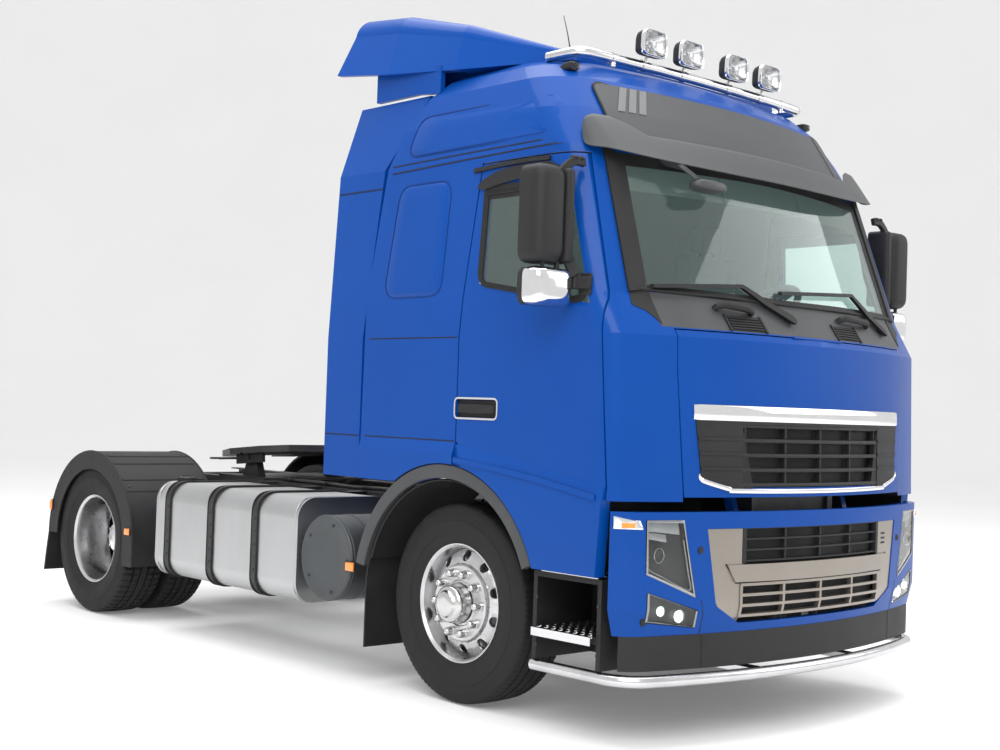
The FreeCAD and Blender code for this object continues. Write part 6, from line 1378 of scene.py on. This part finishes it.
for x, y in ring_of((CAP_X, CAP_Y), CAP_RADIUS, 12):
    cap.sweep([(x, y, 0.953), (x, y, 0.972)], 0.004, 8)
cap.box((-1.075, 2.804, 0.980), (-1.005, 2.820, 0.989))
cap.piece("tank_cap_grip", PLASTIC, "chassis", "black_plastic", 34.0)

# Silencer: its outer disc with bolts, seams along it and the amber lamp on its bracket

disc, lamps, brackets = Build(), Build(), Build()
DISC_Y, DISC_Z, SCREW_RADIUS = 1.032, 0.636, 0.190
centre = (-1.200, DISC_Y, DISC_Z)
disc.lathe([(0.012, 0.236), (0.002, 0.2375), (-0.006, 0.232), (-0.007, 0.214), (-0.0045, 0.208),
            (-0.0040, 0.120), (-0.0050, 0.060), (-0.0052, 0.002)], centre, "x", 72, closed=False)
for run in (0.150, 0.420):
    disc.lathe([(run - 0.012, 0.2345), (run - 0.010, 0.2385), (run + 0.010, 0.2385),
                (run + 0.012, 0.2345)], centre, "x", 72)
disc.piece("silencer_disc", SILENCER, "chassis", "silencer_steel", 34.0)
for i in range(5):
    turn = math.radians(36 + 72 * i)
    dome(bolts, (-1.2068, DISC_Y + SCREW_RADIUS * math.cos(turn), DISC_Z + SCREW_RADIUS * math.sin(turn)),
         (-1, 0, 0), 0.009, 0.006)


def side_lamp(x, y, z, half_y, half_z):
    """An amber lamp on a side face, its outline rounded."""
    for build, radius, steps in (
            (brackets, 0.006, ((0.004, 0.0), (0.004, 0.006), (0.0, 0.009))),
            (lamps, 0.005, ((0.0, 0.007), (-0.001, 0.015), (-0.003, 0.018), (-0.008, 0.0185)))):
        build.rings([[(x - lift, p, q) for p, q in box_outline(
            (y - half_y, y + half_y), (z - half_z, z + half_z), radius, 3, grow)]
            for grow, lift in steps])


side_lamp(-1.206, 0.796, 0.611, 0.034, 0.024)
brackets.bar([(-1.203, 0.800, 0.611), (-1.203, 0.850, 0.611), (-1.190, 0.885, 0.615)], 0.030, 0.006,
             (1, 0, 0))
side_lamp(-1.270, 3.146, 0.600, 0.028, 0.022)
side_lamp(-1.270, 4.262, 0.700, 0.012, 0.034)
brackets.mirrored()
lamps.mirrored()
lamps.piece("side_lamps", AMBER, "chassis", "red_lens", 36.0)
brackets.piece("side_lamp_feet", PLASTIC, "chassis", "black_plastic", 36.0)

# Fenders: a rolled edge, seams across the band, ribs and screws, and the flap's fold lines

rolls, seams = Build(), Build()
FENDER = 0.600
way = [(REAR_Y - FENDER, 0.372), (REAR_Y - FENDER, 0.440)]
way += [(REAR_Y - FENDER * math.cos(math.radians(a)), AXLE_Z + FENDER * math.sin(math.radians(a)))
        for a in range(0, 181, 6)]
way += [(REAR_Y + FENDER + 0.030, 0.370), (REAR_Y + FENDER + 0.060, 0.232)]
for x in (-1.2640, -0.6160):
    rolls.sweep([(x, y, z - 0.002) for y, z in way], [0.006] + [0.0085] * (len(way) - 2) + [0.006], 8)


def on_fender(angle, radius):
    """The way out from the rear axle at an angle, and the place there at a radius, as (y, z)."""
    turn = math.radians(angle)
    out = (0, -math.cos(turn), math.sin(turn))
    return out, REAR_Y + radius * out[1], AXLE_Z + radius * out[2]


for angle in (46, 62, 118, 134):
    out, y, z = on_fender(angle, FENDER + 0.001)
    rolls.bar([(-1.250, y, z), (-0.632, y, z)], 0.022, 0.006, out)
for angle in (36, 72, 108, 144):
    out, y, z = on_fender(angle, FENDER + 0.0008)
    seams.bar([(-1.262, y, z), (-0.618, y, z)], 0.006, 0.004, out)
for angle in (40, 76, 112, 148):
    out, y, z = on_fender(angle, FENDER)
    for x in (-1.225, -0.660):
        dome(bolts, (x, y, z), out, 0.010, 0.005)
for angle in (20, 55, 90, 125, 160):
    out, y, z = on_fender(angle, 0.545)
    dome(bolts, (-1.2702, y, z), (-1, 0, 0), 0.009, 0.004)
for build in (rolls, seams):
    build.mirrored()
rolls.piece("fender_rolls", PLASTIC, "chassis", "black_plastic", 38.0)
seams.piece("fender_seams", SEAM_AND_SHADE, "chassis", "black_plastic", 30.0)

# Frame: bolt rows, air lines, and the coupling's release handle

for i in range(27):
    for z in (0.742, 0.888):
        dome(bolts, (-0.4252, 1.250 + 0.115 * i, z), (-1, 0, 0), 0.012, 0.010)
for z in (0.40, 0.62):
    for y in (-1.030, -0.640):
        dome(bolts, (-1.2002, y, z), (-1, 0, 0), 0.008, 0.004)
bolts.mirrored()
bolts.piece("bolt_heads", STEEL, "chassis", "dark_steel", 30.0)
lines = Build()
for x, z, r in ((-0.392, 0.964, 0.011), (-0.366, 0.964, 0.011), (0.388, 0.966, 0.013),
                (-0.340, 0.963, 0.009)):
    path = [(x, 0.650, z), (x, 1.300, z)]
    path += [(x + 0.006 * math.sin(i * 1.7), 1.300 + 0.30 * i, z + 0.004 * math.sin(i * 2.3) + 0.002)
             for i in range(1, 5)]
    path += [(x * 0.92, 2.70, z + 0.004), (x * 0.70, 2.80, z - 0.02), (x * 0.62, 2.86, z - 0.08)]
    lines.sweep(curve_points(path, 4), r, 10)
for x in (-0.366, 0.388):
    for y in (0.95, 1.35, 1.75, 2.15, 2.55):
        lines.bar([(x - 0.045, y, 0.958), (x - 0.045, y, 0.984), (x + 0.035, y, 0.984),
                   (x + 0.035, y, 0.958)], 0.020, 0.003, (0, 0.2, 1))
lines.piece("air_lines", PLASTIC, "chassis", "black_plastic", 40.0)
handle = Build()
handle.sweep(curve_points([(-0.440, 3.180, 1.085), (-0.480, 3.192, 1.085), (-0.525, 3.215, 1.083),
                           (-0.550, 3.232, 1.082)], 5), 0.009, 10)
grip = [(-0.560 - 0.036 * math.sin(t), 3.240 + 0.020 * (1 - math.cos(t)), 1.082)
        for t in [math.tau * i / 14 for i in range(15)]]
handle.sweep(grip, 0.007, 8)
handle.piece("release_handle", STEEL, "fifth_wheel_plate", "dark_steel", 40.0)

# Steps: bright treads with rows of raised rings, and dark discs in the rings as painted shade in their
# holes

treads, hole_shades = Build(), Build()
for z, far, near in ((0.480, -1.236, -0.850), (0.742, -1.196, -0.900)):
    border = box_outline((far, near), (-1.020, -0.645), 0.018, 4)
    treads.rings([[(-1.0 + (x + 1.0) * share, -0.83 + (y + 0.83) * share, z + rise) for x, y in border]
                  for rise, share in ((-0.001, 1.0), (0.004, 1.0), (0.006, 0.985))])
    for i in range(7):
        for j in range(8):
            x, y = far + 0.030 + i * (near - far - 0.060) / 6, -0.996 + j * 0.0467
            treads.lathe([(0.006, 0.009), (0.0085, 0.0115), (0.0085, 0.0135), (0.005, 0.0160)],
                         (x, y, z), "z", 12, closed=False)
            # A dark disc inside each ring: painted shade in its hole
            hole_shades.rings([[(x + p, y + q, z + rise) for p, q in ring_of((0, 0), radius, 10)]
                         for rise, radius in ((0.0064, 0.0085), (0.0066, 0.004))])
for build in (treads, hole_shades):
    build.mirrored()
for x in (-1.238, 1.232):
    treads.box((x, -1.022, 0.446), (x + 0.006, -0.643, 0.484))
treads.piece("step_treads", TUBE, "chassis", "polished_tube", 36.0)
hole_shades.piece("step_tread_hole_shade", SEAM_AND_SHADE, "chassis", "black_plastic", 36.0)

# Tail lamps: a dark case with red, amber and clear fields

case, red, amber, pale = Build(), Build(), Build(), Build()
# The (inset, y) steps of a lamp's lens fields and of its case, from the front to the back
FIELD_STEPS = ((0.0, 4.436), (0.0, 4.446), (0.003, 4.4520), (0.010, 4.4545), (0.022, 4.4550))
CASE_STEPS = ((0.012, 4.4000), (0.002, 4.4040), (0.0, 4.4120), (0.0, 4.4400), (0.004, 4.4470),
              (0.011, 4.4480), (0.013, 4.4420))
for build, wide, tall, radius, arc, steps in (
        (red, (0.652, 0.762), (0.812, 0.908), 0.012, 4, FIELD_STEPS),
        (amber, (0.768, 0.838), (0.812, 0.908), 0.012, 4, FIELD_STEPS),
        (pale, (0.844, 0.894), (0.812, 0.908), 0.012, 4, FIELD_STEPS),
        (red, (0.900, 0.988), (0.812, 0.908), 0.012, 4, FIELD_STEPS),
        (case, (0.640, 1.000), (0.800, 0.920), 0.024, 5, CASE_STEPS)):
    build.rings([[(-x, y, z) for x, z in box_outline(wide, tall, radius, arc, -inset)]
                 for inset, y in steps])
case.bar([(-0.820, 4.402, 0.860), (-0.820, 4.380, 0.860), (-0.640, 4.378, 0.860),
          (-0.420, 4.378, 0.860)], 0.040, 0.020, (0, 0.1, 1))
for build in (case, red, amber, pale):
    build.mirrored()
case.piece("tail_lamp_cases", PLASTIC, "chassis", "black_plastic", 36.0, ("tail_lamps",))
red.piece("tail_lamp_red", RED_LENS, "chassis", "red_lens", 36.0)
amber.piece("tail_lamp_amber", AMBER, "chassis", "red_lens", 36.0)
pale.piece("tail_lamp_clear", STRIPE, "chassis", "red_lens", 36.0)

# Inside the cab: lining, seats, bunk, steering wheel, dashboard details and the sun blind

# The middle of the room, and of the space under it that begins below UNDER_Z
ROOM, UNDER, UNDER_Z = at(0.0, -0.300, 2.050), at(0.0, -0.300, 1.250), 1.350


def lined(node, finish, under):
    """Gives a node's inner faces a second finish, and a third to those that face the chassis."""
    thing = NODES[node]
    thing.data.materials.append(finish)
    thing.data.materials.append(under)
    for polygon in thing.data.polygons:
        spot, out = thing.matrix_world @ polygon.center, thing.matrix_world.to_3x3() @ polygon.normal
        out.normalize()
        if spot.z < UNDER_Z:
            if out.z < -0.35 or out.dot((UNDER - spot).normalized()) > 0.20:
                polygon.material_index = 2
        elif out.dot((ROOM - spot).normalized()) > 0.25:
            polygon.material_index = 1


for node in ("cab_shell", "door_right", "door_left"):
    lined(node, LINING, BLACK)
lined("front_flap", BLACK, BLACK)


def soft_section(half, low, high, bolster, swell, corner=0.030):
    """A pad's section as (across, up) places: flat below, swollen above, with side bolsters."""
    rows = [(-half + corner, low), (half - corner, low), (half - corner * 0.3, low + corner * 0.3),
            (half, low + corner)]
    rows.append((half + swell * 0.4, (low + high) / 2))
    for i in range(25):
        x = half * (0.985 - 1.97 * i / 24)
        share = abs(x) / half
        seam = 0.010 * math.exp(-((share - 0.66) / 0.035) ** 2)
        crown = swell * (1 - (share / 0.66) ** 2) if share < 0.66 else 0.0
        raised = bolster * math.sin(math.pi * min(max((share - 0.66) / 0.34, 0.0), 1.0)) ** 0.6
        fall = corner * max((share - 0.90) / 0.10, 0.0) ** 2
        rows.append((x, high - bolster - swell + crown + raised - seam - fall))
    rows.append((-half - swell * 0.4, (low + high) / 2))
    rows += [(-half, low + corner), (-half + corner * 0.3, low + corner * 0.3)]
    return rows


def soft_run(build, along, section, start, stop, steps, turn, channels=()):
    """A pad along one axis. Its ends close in round, and sewn channels cross it."""
    length = stop - start
    rings = []
    mid = sum(p[1] for p in section) / len(section)
    base = min(p[1] for p in section)
    for i in range(steps + 1):
        share = i / steps
        edge = min(share, 1 - share) * length
        squeeze = min(edge / 0.045, 1.0)
        squeeze = 0.62 + 0.38 * math.sqrt(max(1 - (1 - squeeze) ** 2, 0.0))
        dent = sum(0.009 * math.exp(-((start + share * length - c) / 0.010) ** 2) for c in channels)
        ring = []
        for across, up in section:
            up = mid + (up - mid) * squeeze
            if up > base + 0.040:
                up -= dent
            ring.append(turn(across * (0.96 + 0.04 * squeeze), start + share * length, up))
        rings.append(ring)
    build.rings(rings)


def soft_piece(build, name, finish):
    """A padded piece, with one subdivision over its points."""
    made = build.piece(name, finish, "cab", "seat_fabric", 60.0)
    smooth = made.modifiers.new("soft", "SUBSURF")
    smooth.levels = smooth.render_levels = 1
    return made


for side, tag in ((-1, "right"), (1, "left")):
    x = side * 0.600
    cushion, back, head, frame_parts = Build(), Build(), Build(), Build()
    soft_run(cushion, "y", soft_section(0.245, 1.706, 1.836, 0.018, 0.012), -0.552, -0.198, 28,
             lambda a, b, c, x=x: (x + a, b, c), (-0.470, -0.380, -0.290))
    soft_piece(cushion, "seat_cushion_" + tag, CLOTH)
    soft_run(back, "z", soft_section(0.245, 0.066, 0.184, 0.018, 0.012), 1.845, 2.412, 36,
             lambda a, b, c, x=x: (x + a, -c, b), (1.960, 2.070, 2.180, 2.290))
    soft_piece(back, "seat_back_" + tag, CLOTH)
    soft_run(head, "z", soft_section(0.125, 0.070, 0.178, 0.004, 0.016), 2.432, 2.592, 14,
             lambda a, b, c, x=x: (x + a, -c, b))
    soft_piece(head, "seat_head_" + tag, CLOTH)
    for across in (-0.055, 0.055):
        frame_parts.sweep([(x + across, -0.125, 2.400), (x + across, -0.125, 2.445)], 0.007, 10)
    for i in range(6):
        z = 1.372 + 0.050 * i
        frame_parts.rings([[(x + p, -0.245 + q, z + step)
                            for p, q in box_outline((-0.140, 0.140), (-0.170, 0.170), 0.05, 4, grow)]
                           for step, grow in ((0.0, 0.0), (0.012, 0.010), (0.032, 0.010), (0.046, 0.0))])
    frame_parts.rings([[(x + p, -0.310 + q, z)
                        for p, q in box_outline((-0.235, 0.235), (-0.225, 0.225), 0.04, 4)]
                       for z in (1.676, 1.704)])
    frame_parts.piece("seat_frame_" + tag, PLASTIC, "cab", "interior_plastic", 36.0)

bunk, locker = Build(), Build()
soft_run(bunk, "x", soft_section(0.285, 1.630, 1.792, 0.004, 0.014), -1.095, 1.095, 60,
         lambda a, b, c: (b, 0.315 + a, c), tuple(-0.92 + 0.23 * i for i in range(9)))
soft_piece(bunk, "bunk_mattress", CLOTH)
locker.rings([[(p, 0.318 + q, z)
               for p, q in box_outline((-1.100, 1.100), (-0.290, 0.290), 0.03, 4, -inset)]
              for z, inset in ((1.362, 0.006), (1.368, 0.0), (1.612, 0.0), (1.622, 0.006))])
locker.piece("bunk_locker", TRIM, "cab", "interior_plastic", 36.0, ("seats_and_bunk",))

# Steering wheel, in the plane of the column

hub = Vector((0.560, -0.560, 2.080))
lean = math.radians(35.0)
normal = Vector((0.0, math.sin(lean), math.cos(lean)))
RIM_RADIUS, RIM_THICK = 0.217, 0.0175


def spoke_way(turn):
    """The way out from the hub, in the wheel's plane."""
    first = Vector((1.0, 0.0, 0.0))
    return first * math.cos(turn) + normal.cross(first) * math.sin(turn)


wheel = Build()
wheel.rings([[hub + spoke_way(math.tau * i / 48) * (RIM_RADIUS + across) + normal * up
              for across, up in ring_of((0, 0), RIM_THICK, 12)] for i in range(49)], caps=False)
wheel.rings([[hub + normal * rise + spoke_way(math.tau * i / 24) * radius for i in range(24)]
             for rise, radius in ((-0.060, 0.045), (-0.030, 0.070), (0.000, 0.082), (0.012, 0.078),
                                  (0.020, 0.060), (0.023, 0.030), (0.024, 0.002))])
for angle in (0.0, 180.0, 250.0, 290.0):
    out = spoke_way(math.radians(angle))
    wheel.bar([hub + out * 0.06, hub + out * 0.14 + normal * -0.004, hub + out * 0.214], 0.034, 0.014,
              normal)
wheel.piece("steering_wheel_fine", PLASTIC, "cab", "interior_plastic", 40.0)

# Dashboard: instrument hood, screen, vents and a tray; the blind behind the windscreen's top

dash, glassy, blind = Build(), Build(), Build()
hood = [(0.340, 1.984), (0.330, 2.030), (0.380, 2.066), (0.560, 2.080), (0.740, 2.066), (0.790, 2.030),
        (0.780, 1.984)]
dash.rings([[(x, y, z + lift) for x, z in hood] for y, lift in ((-0.890, -0.030), (-0.860, 0.0),
                                                               (-0.760, 0.004), (-0.735, 0.0))])
dash.rings([[(x, -0.735 + dy, z) for x, z in box_outline((-0.160, 0.200), (1.820, 1.960), 0.02, 4, grow)]
            for dy, grow in ((0.0, 0.014), (0.085, 0.010), (0.097, 0.0))])
glassy.rings([[(x, -0.735 + dy, z) for x, z in box_outline((-0.145, 0.185), (1.835, 1.945), 0.01, 4)]
              for dy in (0.090, 0.0985)])
for x in (-0.860, -0.420, 0.250, 0.880):
    for i in range(5):
        dash.bar([(x - 0.060, -0.700, 1.900 + 0.014 * i), (x + 0.060, -0.700, 1.900 + 0.014 * i)], 0.010,
                 0.024, (0, 0.3, 1))
dash.rings([[(x, y, z) for x, y in rounded_outline(
    [(-0.900, -1.020), (-0.250, -1.035), (-0.250, -0.760), (-0.900, -0.760)], 0.05, 5)]
    for z in (1.982, 2.004)])
dash.piece("dash_details", PLASTIC, "cab", "interior_plastic", 36.0, edge=0.004)
glassy.piece("dash_screen", SEAM_AND_SHADE, "cab", "interior_plastic", 30.0)
for left, right in ((-0.940, -0.330), (-0.315, 0.315), (0.330, 0.940)):
    block(blind, CAB_FRONT, (left, right), (2.560, 2.715), -0.045, 0.010, 10, 4)
blind.piece("sun_blind", TRIM, "cab", "interior_plastic", 32.0, edge=0.003)

# Floor, light and camera

FLOOR_REACH, WALL_CURVE, WALL_TOP = 26.0, 16.0, 34.0
# The camera solved from the photograph: its place, its right, its way ahead and its lens
EYE, EYE_RIGHT, EYE_AHEAD = (-5.925, -5.435, 1.493), (0.7328, -0.6796, 0.0340), (0.6792, 0.7336, 0.0236)
LENS_MM = 51.54


def floor():
    """A pale floor that curves up into a wall all round, so that no horizon shows."""
    hall = Build()
    turns = [math.radians(6 * i) for i in range(1, 15)]
    profile = [(0.0, 0.05), (0.0, 8.0), (0.0, FLOOR_REACH)]
    profile += [(WALL_CURVE * (1 - math.cos(turn)), FLOOR_REACH + WALL_CURVE * math.sin(turn))
                for turn in turns]
    profile += [(WALL_TOP, FLOOR_REACH + 17.0)]
    hall.lathe(profile, (0, -SHIFT, 0), "z", 96, closed=False)
    mesh = bpy.data.meshes.new("floor")
    mesh.from_pydata([(p.x, p.y + SHIFT, p.z) for p in hall.points], [], hall.faces)
    ground = bpy.data.objects.new("floor", mesh)
    bpy.context.scene.collection.objects.link(ground)
    pale = surface("pale_floor", (0.80, 0.80, 0.80), (0.82, 0.82, 0.82), (0.75, 0.85), 0.0, 0.4,
                   sheen=0.1)
    shader = pale.node_tree.nodes["Principled BSDF"]
    shader.inputs["Emission Color"].default_value = (1.0, 1.0, 1.0, 1)
    shader.inputs["Emission Strength"].default_value = 0.14
    ground.data.materials.append(pale)
    for polygon in mesh.polygons:
        polygon.use_smooth = True


def lamp(name, place, target, size, power):
    """A large soft light that is aimed at a place."""
    light = bpy.data.lights.new(name, "AREA")
    light.shape = "RECTANGLE"
    light.size, light.size_y = size
    light.energy = power
    shade = bpy.data.objects.new(name, light)
    shade.location = place
    shade.rotation_mode = "QUATERNION"
    shade.rotation_quaternion = (Vector(target) - Vector(place)).to_track_quat("-Z", "Y")
    bpy.context.scene.collection.objects.link(shade)


def camera():
    """The camera at the photograph's viewing angle."""
    lens = bpy.data.cameras.new("camera")
    lens.sensor_width = 36.0
    lens.lens = LENS_MM
    lens.clip_end = 400.0
    eye = bpy.data.objects.new("camera", lens)
    right, ahead = Vector(EYE_RIGHT).normalized(), Vector(EYE_AHEAD).normalized()
    up = right.cross(ahead).normalized()
    right = ahead.cross(up).normalized()
    turn = Matrix((right, up, -ahead)).transposed().to_4x4()
    eye.matrix_world = Matrix.Translation(at(*EYE)) @ turn
    bpy.context.scene.collection.objects.link(eye)
    bpy.context.scene.camera = eye


floor()
world = bpy.data.worlds.new("studio")
world.use_nodes = True
world.node_tree.nodes["Background"].inputs["Color"].default_value = (1.0, 1.0, 1.0, 1)
world.node_tree.nodes["Background"].inputs["Strength"].default_value = 0.82
bpy.context.scene.world = world
lamp("key", (-9.0, -9.0, 9.0), (0, 0, 1.2), (9.0, 7.0), 1000)
lamp("fill", (9.0, -8.0, 6.0), (0, -1, 1.5), (8.0, 6.0), 250)
lamp("top", (0, 0, 11.0), (0, 0, 0), (12.0, 12.0), 1150)
camera()
bpy.context.scene.view_settings.view_transform = "Standard"
